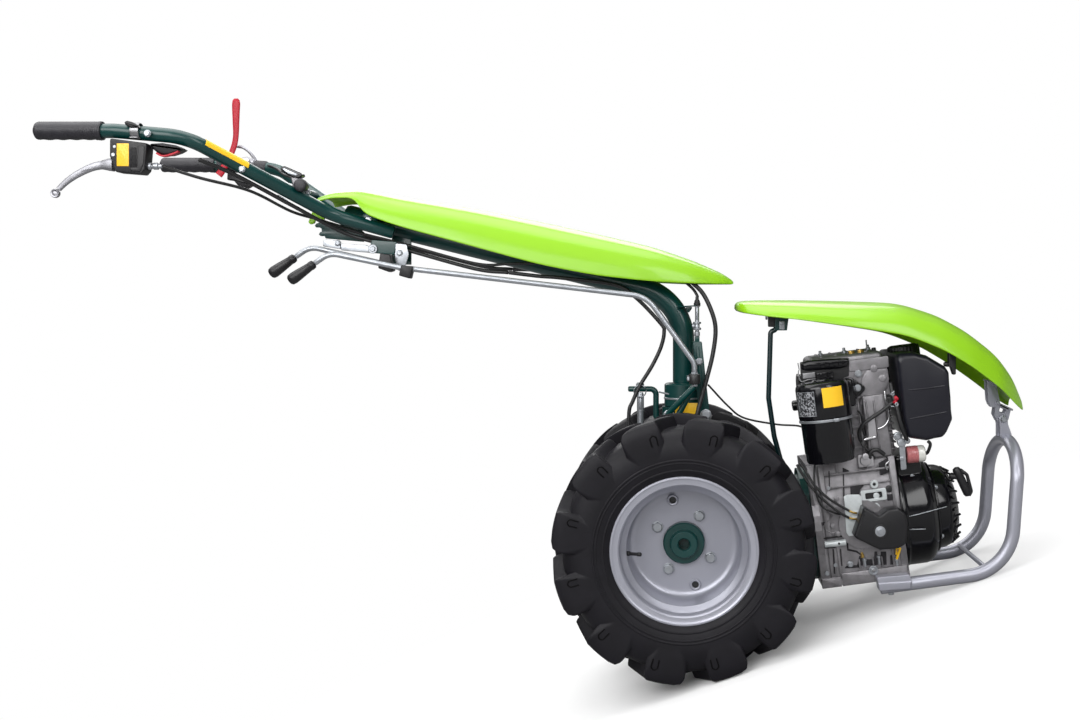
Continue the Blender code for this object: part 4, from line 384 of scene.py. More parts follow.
def asMesh(name, shape, where, crease):
    points, faces = shape
    mesh = bpy.data.meshes.new(name)
    mesh.from_pydata(inWorld(points, where).tolist(), [], faces)
    tidy = bmesh.new()
    tidy.from_mesh(mesh)
    bmesh.ops.remove_doubles(tidy, verts=tidy.verts, dist=2e-6)
    bmesh.ops.recalc_face_normals(tidy, faces=tidy.faces)
    tidy.to_mesh(mesh)
    tidy.free()
    mesh.shade_smooth()
    mesh.set_sharp_from_angle(angle=math.radians(crease))
    return mesh


def piece(name, shape, finish, body, slotName=None, where="level", replaces=(), crease=38):
    # a piece is made with its finish's material
    made = bpy.data.objects.new(name, asMesh(name, shape, where, crease))
    bpy.context.scene.collection.objects.link(made)
    made.data.materials.append(finishes[finish])
    if body:
        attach(made, body)
    if replaces:
        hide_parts(*replaces)
    return made


def onEngine(name, shape, finish, **rest):
    return piece(name, shape, finish, "chassis", where="engine", **rest)


# finishes


def finishOf(name):
    material = bpy.data.materials.new(name)
    material.use_nodes = True
    tree = material.node_tree
    return material, tree, tree.nodes["Principled BSDF"]


def node(tree, kind, **values):
    made = tree.nodes.new(kind)
    for key, value in values.items():
        if key in made.inputs:
            made.inputs[key].default_value = value
        else:
            setattr(made, key, value)
    return made


def noise(tree, scale, detail=4.0, rough=0.55, stretch=None):
    # noise on the piece's own coordinates; stretch squeezes it along an axis
    place = node(tree, "ShaderNodeTexCoord")
    source = place.outputs["Object"]
    if stretch is not None:
        squeeze = node(tree, "ShaderNodeMapping")
        squeeze.inputs["Scale"].default_value = stretch
        tree.links.new(source, squeeze.inputs["Vector"])
        source = squeeze.outputs["Vector"]
    made = node(tree, "ShaderNodeTexNoise", Scale=scale, Detail=detail, Roughness=rough)
    tree.links.new(source, made.inputs["Vector"])
    return made.outputs["Fac"]


def ramp(tree, value, low, high, first, second):
    # a value between low and high carried over from the first colour to the second
    made = node(tree, "ShaderNodeValToRGB")
    made.color_ramp.elements[0].position = low
    made.color_ramp.elements[1].position = high
    made.color_ramp.elements[0].color = (*first, 1.0) if len(first) == 3 else first
    made.color_ramp.elements[1].color = (*second, 1.0) if len(second) == 3 else second
    tree.links.new(value, made.inputs["Fac"])
    return made.outputs["Color"]


def spread(tree, value, low, high):
    made = node(tree, "ShaderNodeMapRange")
    made.inputs["To Min"].default_value = low
    made.inputs["To Max"].default_value = high
    tree.links.new(value, made.inputs["Value"])
    return made.outputs["Result"]


def bumped(tree, shader, value, strength, depth, edge=0.0):
    # fine relief; an edge width also softens the look of every sharp corner
    made = node(tree, "ShaderNodeBump", Strength=strength, Distance=depth)
    tree.links.new(value, made.inputs["Height"])
    if edge:
        soft = node(tree, "ShaderNodeBevel", samples=4, Radius=edge)
        tree.links.new(soft.outputs["Normal"], made.inputs["Normal"])
    tree.links.new(made.outputs["Normal"], shader.inputs["Normal"])


def surface(
    name, colour, rough, metal=0.0, coat=0.0, grain=900.0, grainDepth=0.00005, grainStrength=0.25,
    mottle=14.0, shade=0.85, roughSpread=0.08, stretch=None, coatRough=0.08, edge=0.0012, gloss=0.5
):
    # one recipe for paints, castings and mouldings: a broad mottle in colour and gloss, and a fine grain
    material, tree, shader = finishOf(name)
    broad = noise(tree, mottle, 5.0, stretch=stretch)
    tint = ramp(tree, broad, 0.35, 0.68, tuple(channel * shade for channel in colour), colour)
    tree.links.new(tint, shader.inputs["Base Color"])
    tree.links.new(
        spread(tree, broad, rough + roughSpread, max(rough - roughSpread, 0.03)),
        shader.inputs["Roughness"]
    )
    shader.inputs["Metallic"].default_value = metal
    shader.inputs["Coat Weight"].default_value = coat
    shader.inputs["Coat Roughness"].default_value = coatRough
    shader.inputs["Specular IOR Level"].default_value = gloss
    bumped(tree, shader, noise(tree, grain, 3.0, stretch=stretch), grainStrength, grainDepth, edge)
    return material


finishes = {
    "rubber": surface(
        "tyreRubber", (0.0075, 0.0068, 0.0098), 0.52, grain=700, grainDepth=0.00025, grainStrength=0.30,
        mottle=22, shade=0.70, roughSpread=0.10, gloss=0.22
    ),
    "silver": surface(
        "wheelSilver", (0.36, 0.365, 0.42), 0.36, metal=0.5, coat=0.25, grain=1600, grainDepth=0.00003,
        mottle=9, shade=0.93, coatRough=0.25
    ),
    "green": surface(
        "chassisGreen", (0.0008, 0.040, 0.037), 0.34, coat=0.30, gloss=0.35, grain=420,
        grainDepth=0.00008, grainStrength=0.2, mottle=12, shade=0.80, coatRough=0.14
    ),
    "darkGreen": surface(
        "propGreen", (0.0010, 0.016, 0.019), 0.30, coat=0.35, gloss=0.4, grain=420, grainDepth=0.00008,
        grainStrength=0.2, mottle=12, shade=0.80
    ),
    "lime": surface(
        "panelLime", (0.235, 0.505, 0.004), 0.38, coat=0.30, gloss=0.40, grain=500, grainDepth=0.00004,
        grainStrength=0.15, mottle=5, shade=0.96, roughSpread=0.03, coatRough=0.12
    ),
    "aluminium": surface(
        "castAluminium", (0.30, 0.29, 0.305), 0.40, metal=0.72, grain=1100, grainDepth=0.0003,
        grainStrength=0.55, mottle=34, shade=0.62, roughSpread=0.10
    ),
    # a lighter copy of the casting finish: painted highlight
    "castHighlight": surface(
        "castingHighlight", (0.46, 0.45, 0.47), 0.38, metal=0.70, grain=1100, grainDepth=0.0002,
        grainStrength=0.45, mottle=30, shade=0.80
    ),
    "tank": surface(
        "tankPlastic", (0.0080, 0.0080, 0.0135), 0.32, gloss=0.36, grain=900, grainDepth=0.00008,
        grainStrength=0.3, mottle=10, shade=0.88
    ),
    "plastic": surface(
        "blackPlastic", (0.0085, 0.0082, 0.0100), 0.40, gloss=0.40, grain=1500, grainDepth=0.0002,
        grainStrength=0.35, mottle=18, shade=0.8
    ),
    "enamel": surface(
        "blackEnamel", (0.0036, 0.0036, 0.0050), 0.15, coat=0.18, gloss=0.32, grain=300,
        grainDepth=0.00003, grainStrength=0.15, mottle=10, shade=0.8, roughSpread=0.04
    ),
    # a darker copy of the casting finish, laid on the castings' recesses as painted shade
    "castShade": surface(
        "paintedCastShade", (0.030, 0.028, 0.032), 0.60, metal=0.2, gloss=0.3, mottle=40, shade=0.5
    ),
    # near black: painted shade of the slots in the lugs' ends
    "grooveShade": surface("tyreGrooveShade", (0.0015, 0.0014, 0.0018), 0.60, gloss=0.10, mottle=40, shade=0.7),
    "paleZinc": surface(
        "paleZinc", (0.62, 0.66, 0.67), 0.34, metal=0.35, coat=0.1, mottle=60, shade=0.80,
        roughSpread=0.10, grain=1200
    ),
    "zinc": surface(
        "zincPlate", (0.40, 0.42, 0.45), 0.34, metal=0.75, grain=1200, grainDepth=0.00005, mottle=60,
        shade=0.80, roughSpread=0.10
    ),
    "chrome": surface(
        "polishedChrome", (0.56, 0.56, 0.575), 0.18, metal=1.0, grain=500, grainDepth=0.00001, mottle=20,
        shade=0.95, roughSpread=0.03
    ),
    "lever": surface(
        "forgedLever", (0.33, 0.33, 0.355), 0.36, metal=0.75, grain=900, grainDepth=0.00005, mottle=30,
        shade=0.82
    ),
    "red": surface("redLever", (0.40, 0.006, 0.020), 0.40, gloss=0.3, mottle=12, shade=0.9, grain=900),
    # black rubber and sheathing; the same near black is also laid as painted shade in holes, slots and behind the
    # head guard
    "sheathAndShade": surface(
        "blackSheathAndShade", (0.012, 0.012, 0.013), 0.42, mottle=40, shade=0.8, grain=1800, grainDepth=0.0001
    ),
    "grip": surface(
        "gripRubber", (0.016, 0.015, 0.020), 0.50, mottle=30, shade=0.8, grain=2200, grainDepth=0.0003,
        grainStrength=0.5
    ),
    "yellow": surface(
        "yellowLabel", (0.86, 0.50, 0.012), 0.38, mottle=8, shade=0.96, grain=900, grainDepth=0.00001
    ),
    "brass": surface("brassNut", (0.55, 0.36, 0.10), 0.34, metal=0.9, mottle=40, shade=0.75, grain=900),
    "redFilter": surface(
        "filterRed", (0.40, 0.125, 0.13), 0.30, coat=0.15, mottle=30, shade=0.85, grain=900
    ),
    "clear": surface("filterShell", (0.62, 0.62, 0.58), 0.25, coat=0.3, mottle=30, shade=0.9, grain=900),
    "steel": surface("bareSteel", (0.33, 0.33, 0.34), 0.40, metal=0.85, mottle=50, shade=0.75, grain=900)
}

# the plate's black and white printing is a hard-edged noise that says nothing
material, tree, shader = finishOf("printedPlate")
tree.links.new(
    ramp(tree, noise(tree, 260.0, 3.0), 0.50, 0.53, (0.010, 0.010, 0.012), (0.30, 0.31, 0.33)),
    shader.inputs["Base Color"]
)
shader.inputs["Roughness"].default_value = 0.40
finishes["printed"] = material

# the first finish of each slot is also the one that the frame's own pieces get
usualSlot = {
    "rubber": "tyre_rubber", "silver": "silver_paint", "green": "dark_green_paint", "lime": "lime_paint",
    "aluminium": "cast_aluminium", "plastic": "black_plastic", "enamel": "black_enamel",
    "zinc": "zinc_plate", "chrome": "chrome", "red": "red_plastic", "redFilter": "filter_plastic",
    "sheathAndShade": "black_rubber", "grooveShade": "tyre_rubber", "darkGreen": "dark_green_paint",
    "castHighlight": "cast_aluminium", "castShade": "cast_aluminium", "tank": "black_plastic",
    "grip": "black_plastic", "steel": "zinc_plate", "printed": "zinc_plate", "paleZinc": "zinc_plate",
    "lever": "chrome", "brass": "brass", "yellow": "yellow_label", "clear": "filter_plastic"
}
slotFinish = {slot: finish for finish, slot in reversed(usualSlot.items())}
for entry in frame["record"]["subparts"]:
    cadNode = nodes[entry["node"]]
    cadNode.data.materials.clear()
    cadNode.data.materials.append(finishes[slotFinish[entry["material_slot"]]])
print("finishes on", len(nodes), "frame pieces")


# wheels

tyre = {
    "radius": 0.2575, "width": 0.135, "bead": 0.1288, "beadHalf": 0.0495, "lug": 0.020, "lugs": 12,
    "lugWidth": 0.027, "around": 288
}


def carcassProfile():
    # half section from crown to bead: a flat crown, a full shoulder, a bulged sidewall and a bead rib
    height = tyre["radius"] - tyre["lug"] - tyre["bead"]
    half = tyre["width"] / 2
    shares = [
        (0.0, 1.0), (0.40, 0.99), (0.70, 0.945), (0.86, 0.86), (0.955, 0.72), (0.99, 0.56), (0.975, 0.40),
        (0.93, 0.27), (0.875, 0.19), (0.815, 0.145), (0.775, 0.09)
    ]
    points = [(half * a, 0.0, tyre["bead"] + b * height) for a, b in shares]
    smooth = spline(points, 40)
    profile = list(zip(smooth[:, 2], smooth[:, 0]))
    profile += [
        (tyre["bead"] + 0.002, tyre["beadHalf"] + 0.001),
        (tyre["bead"] + 0.0006, tyre["beadHalf"] - 0.001)
    ]
    return profile


def lugRings(side, angle):
    # one bar: its foot follows the carcass, its top the tyre's outer radius, and it sweeps back as it
    # runs from the middle of the tread over the shoulder; each cross section is a rounded trapezium
    outer, foot = tyre["radius"], tyre["radius"] - tyre["lug"]
    half = tyre["width"] / 2
    pitch = 2 * math.pi / tyre["lugs"]
    stations = [
        (0.05, 0.40, 0.985, 0.72, 0.94), (0.08, 0.385, 1.0, 0.80, 0.94), (0.30, 0.27, 1.0, 0.92, 0.95),
        (0.52, 0.150, 1.0, 1.15, 0.95), (0.72, 0.035, 0.998, 1.65, 0.94),
        (0.87, -0.04, 0.988, 2.30, 0.90), (0.955, -0.07, 0.962, 2.80, 0.86),
        (1.0, -0.085, 0.905, 3.05, 0.80), (1.018, -0.095, 0.81, 3.05, 0.72),
        (1.015, -0.10, 0.70, 2.90, 0.62), (1.008, -0.10, 0.58, 2.60, 0.52),
        (0.995, -0.10, 0.475, 2.20, 0.45), (0.975, -0.10, 0.415, 1.70, 0.42)
    ]
    rings = []
    for across, lead, top, width, root in stations:
        middle = angle + lead * pitch
        spreadAngle = width * tyre["lugWidth"] / 2 / outer
        offset = half * across
        topRadius = tyre["bead"] + (outer - tyre["bead"]) * top
        rootRadius = tyre["bead"] + (foot - tyre["bead"]) * root
        rootOffset = min(offset, half * 0.93)
        section = [
            (0.0, 1.0), (0.55, 1.0), (0.86, 1.0), (0.955, 1.0), (0.99, 1.0), (1.0, 1.0), (1.0, 0.5),
            (1.0, 0.0), (1.0, -0.5), (1.0, -1.0), (0.99, -1.0), (0.955, -1.0), (0.86, -1.0), (0.55, -1.0),
            (0.0, -1.0)
        ]
        # the flanks lean by the same few millimetres however wide the bar is there
        lean = [
            0.0060, 0.0026, 0, -0.0016, -0.0032, -0.0055, -0.0055, 0, 0.0055, 0.0055, 0.0032, 0.0016, 0,
            -0.0026, -0.0060
        ]
        ring = []
        for (up, wide), tip in zip(section, lean):
            radius = rootRadius + (topRadius - rootRadius) * up
            away = rootOffset + (offset - rootOffset) * up
            turn = middle + wide * spreadAngle + tip / outer
            ring.append((radius * math.sin(turn), side * away, radius * math.cos(turn)))
        rings.append(ring)
    return skin(rings)


def shoulderNotch(side, angle):
    # the slot pressed into a lug's end is drawn as a thin raised lip in the shape of an n, painted near black as
    # the slot's shade
    half = tyre["width"] / 2
    pitch = 2 * math.pi / tyre["lugs"]
    legs = [(-0.30, 0.63), (-0.30, 0.76), (0.0, 0.80), (0.30, 0.76), (0.30, 0.63)]
    path = []
    for turn, up in legs:
        radius = tyre["bead"] + (tyre["radius"] - tyre["bead"]) * up
        a = angle + 0.10 * pitch + turn * tyre["lugWidth"] / tyre["radius"] * 0.9
        path.append((radius * math.sin(a), side * (half * 1.018), radius * math.cos(a)))
    return tube(rounded(path, 0.004, 3), 0.0014, 6)


def tyreShape(side, wheelY, turnedBy):
    profile = carcassProfile()
    whole = profile + [(r, -y) for r, y in profile[::-1]][:-1]
    shapes = [lathe(whole, "y", tyre["around"] // 2, ring=True)]
    for y in (1, -1):
        for r, thick in ((0.1760, 0.0012), (0.1700, 0.0009), (0.1560, 0.0012)):
            away = np.interp(-r, [-p[0] for p in profile[3:]], [p[1] for p in profile[3:]])
            shapes.append(
                lathe(
                    [
                        (r + math.cos(t) * thick * 1.6, y * (away + math.sin(t) * thick))
                        for t in np.linspace(0, 2 * math.pi, 8, endpoint=False)
                    ],
                    "y", 96, ring=True
                )
            )
    for row in (1, -1):
        for k in range(tyre["lugs"]):
            stagger = k + (0.5 if row < 0 else 0.0)
            angle = turnedBy + 2 * math.pi * stagger / tyre["lugs"]
            shapes.append(lugRings(row * side, angle))
    return shifted(together(*shapes), (0, wheelY, 0))


rim = {"half": 0.052, "sheet": 0.004, "flange": 0.143, "discInset": 0.0505, "hubHole": 0.0413}


def rimShape(side, wheelY):
    # rolled rim: outer lip, bead seat, dropped well, then the pressed disc with a raised ring
    well, inside, half = tyre["bead"] - 0.0003, rim["sheet"], rim["half"]
    drop = well - 3 * inside
    outer = [
        (well, -half), (well, -half * 0.58), (drop, -half * 0.42), (drop, half * 0.42),
        (well, half * 0.58), (well, half)
    ]
    lip = [
        (rim["flange"] - 0.0035, half), (rim["flange"], half + 0.0004),
        (rim["flange"] + 0.0012, half + 0.0022), (rim["flange"], half + inside),
        (rim["flange"] - 0.0030, half + inside + 0.0004),
        (rim["flange"] - 0.0052, half + inside - 0.0008), (rim["flange"] - 0.0066, half + inside - 0.0014)
    ]
    rearLip = [(r, -y) for r, y in lip[::-1]]
    front = [
        (well - inside + 0.0035, half + inside - 0.0014),
        (well - inside + 0.0006, half + inside - 0.0045), (well - inside, half * 0.84),
        (well - inside + 0.0012, half * 0.80), (well - inside, half * 0.74),
        (well - inside - 0.0006, half * 0.62), (well - inside - 0.003, half * 0.56),
        (drop - inside + 0.002, half * 0.48), (drop - inside, half * 0.44),
        (drop - inside + 0.0012, half * 0.20), (drop - inside, -half * 0.05),
        (drop - inside, -half * 0.30)
    ]
    disc = [
        (drop - inside - 0.001, -rim["discInset"] + 3.6 * inside),
        (drop - 2 * inside, -rim["discInset"] + 2.2 * inside),
        (drop - 3.2 * inside, -rim["discInset"] + 1.35 * inside),
        (drop - 4.6 * inside, -rim["discInset"] + inside), (0.0915, -rim["discInset"] + inside),
        (rim["hubHole"], -rim["discInset"] + inside), (rim["hubHole"], -rim["discInset"]),
        (well - inside, -rim["discInset"] + 0.0002), (well - inside, -half - inside * 0.6),
        (well - inside + 0.003, -half - inside)
    ]
    profile = rearLip + outer + lip + front + disc
    return shifted(lathe([(r, side * y) for r, y in profile], "y", 128, ring=True), (0, wheelY, 0))


wheelFit = {
    "boltCircle": 0.061, "boltAngles": (60, 150, 240, 330), "holeCircle": 0.087, "holeAngles": (105, 285),
    "valveAngle": 186
}


def around(radius, degrees, y=0.0):
    # degrees run from ahead (x) over the top, seen from the machine's right
    a = math.radians(degrees)
    return (radius * math.cos(a), y, radius * math.sin(a))


def hubShape(side, wheelY):
    setIn, boss, nose = rim["discInset"], 0.020, 0.016
    back = -(machine["track"] / 2 - 0.0983)
    face = -setIn - 0.0003
    profile = [
        (0.0, back), (0.041, back), (0.041, face - 0.010), (0.075, face - 0.010), (0.075, face),
        (0.041, face), (0.041, -setIn + boss - 0.003), (0.0385, -setIn + boss),
        (0.0285, -setIn + boss), (0.0270, -setIn + boss + 0.0012),
        (0.0270, -setIn + boss + nose - 0.002), (0.0250, -setIn + boss + nose),
        (0.0135, -setIn + boss + nose), (0.0115, -setIn + boss + nose - 0.002),
        (0.011, -setIn + boss - nose), (0.0, -setIn + boss - nose)
    ]
    return shifted(lathe([(r, side * y) for r, y in profile], "y", 64), (0, wheelY, 0))


for name, side in (("left", 1), ("right", -1)):
    wheelY = side * machine["track"] / 2
    body = "wheel_" + name
    turnedBy = math.pi - machine["lean"]
    piece(
        "tyre_shell_" + name, tyreShape(side, wheelY, turnedBy), "rubber", body,
        replaces=("tyre_" + name,), crease=32
    )
    # each lug's slot is a near-black lip: painted shade
    notchShades = [
        shoulderNotch(row * side, turnedBy + 2 * math.pi * (k + (0.5 if row < 0 else 0.0)) / tyre["lugs"])
        for row in (1, -1) for k in range(tyre["lugs"])
    ]
    piece("tyre_notch_shade_" + name, shifted(together(*notchShades), (0, wheelY, 0)), "grooveShade", body)
    piece("rim_shell_" + name, rimShape(side, wheelY), "silver", body, replaces=("rim_" + name,), crease=30)
    piece("hub_shell_" + name, hubShape(side, wheelY), "green", body, replaces=("hub_" + name,), crease=30)
    discFace = side * (-rim["discInset"] + rim["sheet"])
    facing = "y" if side > 0 else "-y"
    nuts = [
        bolt(
            np.array(around(wheelFit["boltCircle"], a, discFace)) + (0, wheelY, 0), facing, across=0.017,
            head=0.009, washer=0.0115
        )
        for a in wheelFit["boltAngles"]
    ]
    piece("wheel_bolts_" + name, together(*nuts), "zinc", body, crease=25)
    # the near-black discs inside the bushes are painted shade in the disc's holes
    bushes, holeShades = [], []
    for a in wheelFit["holeAngles"]:
        middle = np.array(around(wheelFit["holeCircle"], a)) + (0, wheelY, 0)
        low = discFace - side * 0.004
        ring = [
            (0.0112, low), (0.0112, discFace + side * 0.0045), (0.0098, discFace + side * 0.0060),
            (0.0070, discFace + side * 0.0055), (0.0066, low)
        ]
        bushes.append(shifted(lathe(ring, "y", 32, ring=True), middle))
        holeShades.append(
            shifted(
                lathe([(0.0066, low + side * 0.0006), (0.0066, discFace + side * 0.001)], "y", 24), middle
            )
        )
    piece("wheel_bushes_" + name, together(*bushes), "silver", body)
    piece("wheel_hole_shade_" + name, together(*holeShades), "sheathAndShade", body)
    foot = np.array(around(0.113, wheelFit["valveAngle"], side * 0.012)) + (0, wheelY, 0)
    tip = np.array(around(0.086, wheelFit["valveAngle"] + 1.0, side * 0.030)) + (0, wheelY, 0)
    stem = [foot, foot * 0.4 + tip * 0.6, tip]
    valve = together(
        tube(stem, 0.0032, 16), tube([foot, foot * 0.75 + tip * 0.25], 0.0048, 16),
        tube([tip * 0.8 + foot * 0.2, tip * 1.06 - foot * 0.06], 0.0041, 16)
    )
    piece("tyre_valve_" + name, valve, "sheathAndShade", body)
print("wheels")


# hood and column cover: pressed panels whose ridge, edge and width run along splines

panelAcross = [(0.0, 0.0), (0.34, 0.03), (0.66, 0.14), (0.84, 0.34), (0.95, 0.66), (1.0, 1.0)]
hood = {
    "rear": 0.106, "front": 0.6933, "low": 0.2568, "high": 0.4826, "half": 0.148, "sheet": 0.0035,
    "stations": [
        (0.0, 0.955, 0.920, 0.16), (0.008, 0.982, 0.898, 0.36), (0.03, 0.994, 0.882, 0.54),
        (0.10, 1.0, 0.856, 0.78), (0.22, 1.0, 0.825, 0.94), (0.40, 0.99, 0.76, 1.0),
        (0.57, 0.975, 0.69, 1.0), (0.70, 0.87, 0.555, 0.99), (0.80, 0.73, 0.40, 0.95),
        (0.90, 0.53, 0.21, 0.84), (0.96, 0.33, 0.07, 0.62), (1.0, 0.10, 0.0, 0.40)
    ]
}
cover = {
    "rear": -0.747, "front": 0.1041, "low": 0.516, "high": 0.7086, "half": 0.112, "sheet": 0.0035,
    "stations": [
        (0.0, 0.93, 0.86, 0.66), (0.04, 0.98, 0.90, 0.76), (0.095, 1.0, 0.90, 0.84),
        (0.125, 0.995, 0.72, 0.88), (0.20, 0.93, 0.60, 0.95), (0.37, 0.81, 0.395, 1.0),
        (0.535, 0.665, 0.195, 1.0), (0.67, 0.535, 0.08, 0.97), (0.80, 0.405, 0.02, 0.88),
        (0.90, 0.255, 0.0, 0.70), (0.97, 0.12, 0.0, 0.45), (1.0, 0.03, 0.0, 0.22)
    ]
}


def panelRows(panel, alongSteps, acrossSteps, below=0.0):
    # height falls from ridge to edge by the share that panelAcross gives for the share of the width
    stations = np.array(panel["stations"])
    along = np.interp(np.linspace(0, 1, alongSteps), np.linspace(0, 1, len(stations)), stations[:, 0])
    smooth = [np.interp(along, stations[:, 0], stations[:, k]) for k in (1, 2, 3)]
    ridge, edge, width = smooth
    shares = np.array(panelAcross)
    half = np.linspace(0, 1, acrossSteps)
    across = np.interp(half, np.linspace(0, 1, len(shares)), shares[:, 0])
    fall = np.interp(across, shares[:, 0], shares[:, 1])
    across = np.concatenate([-across[:0:-1], across])
    fall = np.concatenate([fall[:0:-1], fall])
    rise = panel["high"] - panel["low"]
    x = panel["rear"] + along * (panel["front"] - panel["rear"])
    top = panel["low"] + ridge * rise
    low = panel["low"] + edge * rise
    X = np.repeat(x[:, None], len(across), axis=1)
    Y = width[:, None] * panel["half"] * across[None, :]
    Z = top[:, None] - fall[None, :] * (top - low)[:, None]
    return np.stack([X, Y, Z - below], axis=-1)


def panelPiece(name, panel, body, replaced):
    rows = panelRows(panel, len(panel["stations"]) * 2 - 1, 11)
    mesh = asMesh(name, skin(rows, closed=False, ends=False), "level", 60)
    made = bpy.data.objects.new(name, mesh)
    bpy.context.scene.collection.objects.link(made)
    mesh.materials.append(finishes["lime"])
    up = inWorld([(0, 0, 1)], "level")[0] - inWorld([(0, 0, 0)], "level")[0]
    middle = mesh.polygons[len(mesh.polygons) // 2].normal
    if np.dot(np.array(middle), up) < 0:
        mesh.flip_normals()
    wall = made.modifiers.new("wall", "SOLIDIFY")
    wall.thickness = panel["sheet"]
    wall.offset = -1.0
    ease = made.modifiers.new("ease", "SUBSURF")
    ease.levels = 2
    ease.render_levels = 2
    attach(made, body)
    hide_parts(replaced)
    return made


panelPiece("hood_shell", hood, "hood", "hood")
panelPiece("cover_shell", cover, "column", "column_cover")
print("panels")


# column, handlebars, guard

column = {
    "radius": 0.0225, "corner": 0.4866, "bend": 0.19, "rear": 0.705, "rearHeight": 0.660, "collar": 0.040,
    "collarLow": 0.2623, "collarTop": 0.310
}


def columnShape():
    path = rounded(
        [
            (0, 0, column["collarTop"] - 0.004), (0, 0, column["corner"]),
            (-column["rear"], 0, column["rearHeight"])
        ],
        column["bend"], 16
    )
    collar = [
        (0.0, column["collarLow"]), (column["collar"] - 0.0015, column["collarLow"]),
        (column["collar"], column["collarLow"] + 0.0015), (column["collar"], column["collarTop"] - 0.003),
        (column["collar"] - 0.003, column["collarTop"]), (column["radius"], column["collarTop"])
    ]
    slope = (column["rearHeight"] - column["corner"]) / column["rear"]
    posts = []
    for back, top in ((0.200, 0.6185), (0.545, 0.6835)):
        foot = column["corner"] + back * slope
        posts.append(brick((-back - 0.015, -0.018, foot), (-back + 0.015, 0.018, top), 0.003))
    sleeve = lathe(
        [(0.0095, -0.0395), (0.019, -0.0395), (0.019, 0.0395), (0.0095, 0.0395)], "y", 32,
        (-0.640, 0, 0.644)
    )
    return together(tube(path, column["radius"], 40), lathe(collar, "z", 48), sleeve, *posts)


piece("column_shell", columnShape(), "green", "column", replaces=("column_arm",))

bars = {
    "radius": 0.0135, "rootX": 0.590, "rootZ": 0.620, "rootSpread": 0.060, "reach": 1.2054,
    "height": 0.7956, "spread": 0.60, "gripRadius": 0.018, "gripLength": 0.126
}
barShares = [
    (0.0, 0.0, 0.0), (0.195, 0.193, 0.083), (0.553, 0.945, 0.94), (0.76, 1.0, 1.0), (1.0, 1.0, 1.0)
]


def barPath(side):
    run, rise = bars["reach"] - bars["rootX"], bars["height"] - bars["rootZ"]
    added = bars["spread"] / 2 - bars["rootSpread"]
    path = [
        (-bars["rootX"] - run * a, side * (bars["rootSpread"] + added * c), bars["rootZ"] + rise * b)
        for a, b, c in barShares
    ]
    path[-1] = (
        -bars["reach"] + bars["gripRadius"] - bars["radius"], side * bars["spread"] / 2, bars["height"]
    )
    return rounded(path, 0.10, 12)


def barsShape():
    shapes = [tube(barPath(side), bars["radius"], 28) for side in (-1, 1)]
    run, rise = bars["reach"] - bars["rootX"], bars["height"] - bars["rootZ"]
    added = bars["spread"] / 2 - bars["rootSpread"]
    x, z, y = -bars["rootX"] - run * 0.36, bars["rootZ"] + rise * 0.53, bars["rootSpread"] + added * 0.47
    shapes.append(tube([(x, -y, z), (x, 0, z), (x, y, z)], bars["radius"] * 0.7, 20))
    for side in (-1, 1):
        low, high = sorted((side * 0.0405, side * 0.060))
        shapes.append(
            lathe([(0.0175, low), (0.019, low + 0.0015), (0.019, high)], "y", 32, (-0.640, 0, 0.644))
        )
    shapes.append(lathe([(0.008, -0.045), (0.008, 0.045)], "y", 24, (-0.640, 0, 0.644)))
    return together(*shapes)


piece("handlebar_shell", barsShape(), "green", "handlebars", replaces=("handlebar",))


def gripShape(side):
    # a sleeve with fine rings and finger waves on its underside: radius rises by a cosine of the
    # place along it, more towards the bottom
    steps, sides = 120, 48
    t = np.linspace(0, 1, steps)
    x = -bars["reach"] + 0.002 + t * (bars["gripLength"] - 0.002)
    angles = np.linspace(0, 2 * math.pi, sides, endpoint=False)
    ease = np.clip(t / 0.06, 0, 1)
    base = (bars["gripRadius"] - 0.0009) * (0.72 + 0.28 * np.sqrt(1 - (1 - ease) ** 2))
    collar = np.exp(-(((t - 0.97) / 0.022) ** 2)) * 0.0006
    radius = base[:, None] + collar[:, None] - 0.0012 * np.clip(-np.sin(angles), 0, 1)[None, :] * (
        0.5 - 0.5 * np.cos(t * 2 * math.pi * 5)
    )[:, None] * (t < 0.9)[:, None]
    radius = radius + 0.00025 * np.cos(t * 2 * math.pi * 34)[:, None] * (t[:, None] > 0.05)
    rings = np.stack(
        [np.repeat(x[:, None], sides, 1), radius * np.cos(angles), radius * np.sin(angles)], axis=-1
    )
    first = np.stack(
        [np.full(sides, -bars["reach"]), base[0] * 0.8 * np.cos(angles), base[0] * 0.8 * np.sin(angles)],
        axis=-1
    )
    return shifted(
        skin(np.concatenate([first[None], rings])), (0, side * bars["spread"] / 2, bars["height"])
    )


for name, side in (("left", 1), ("right", -1)):
    piece(
        "grip_sleeve_" + name, gripShape(side), "grip", "handlebars", replaces=("grip_" + name,),
        crease=50
    )

guard = {
    "tube": 0.0135, "half": 0.120, "rear": 0.376, "front": 0.6376, "depth": 0.1405, "top": 0.1167,
    "topReach": 0.6908, "shoulder": 0.030, "bend": 0.10
}


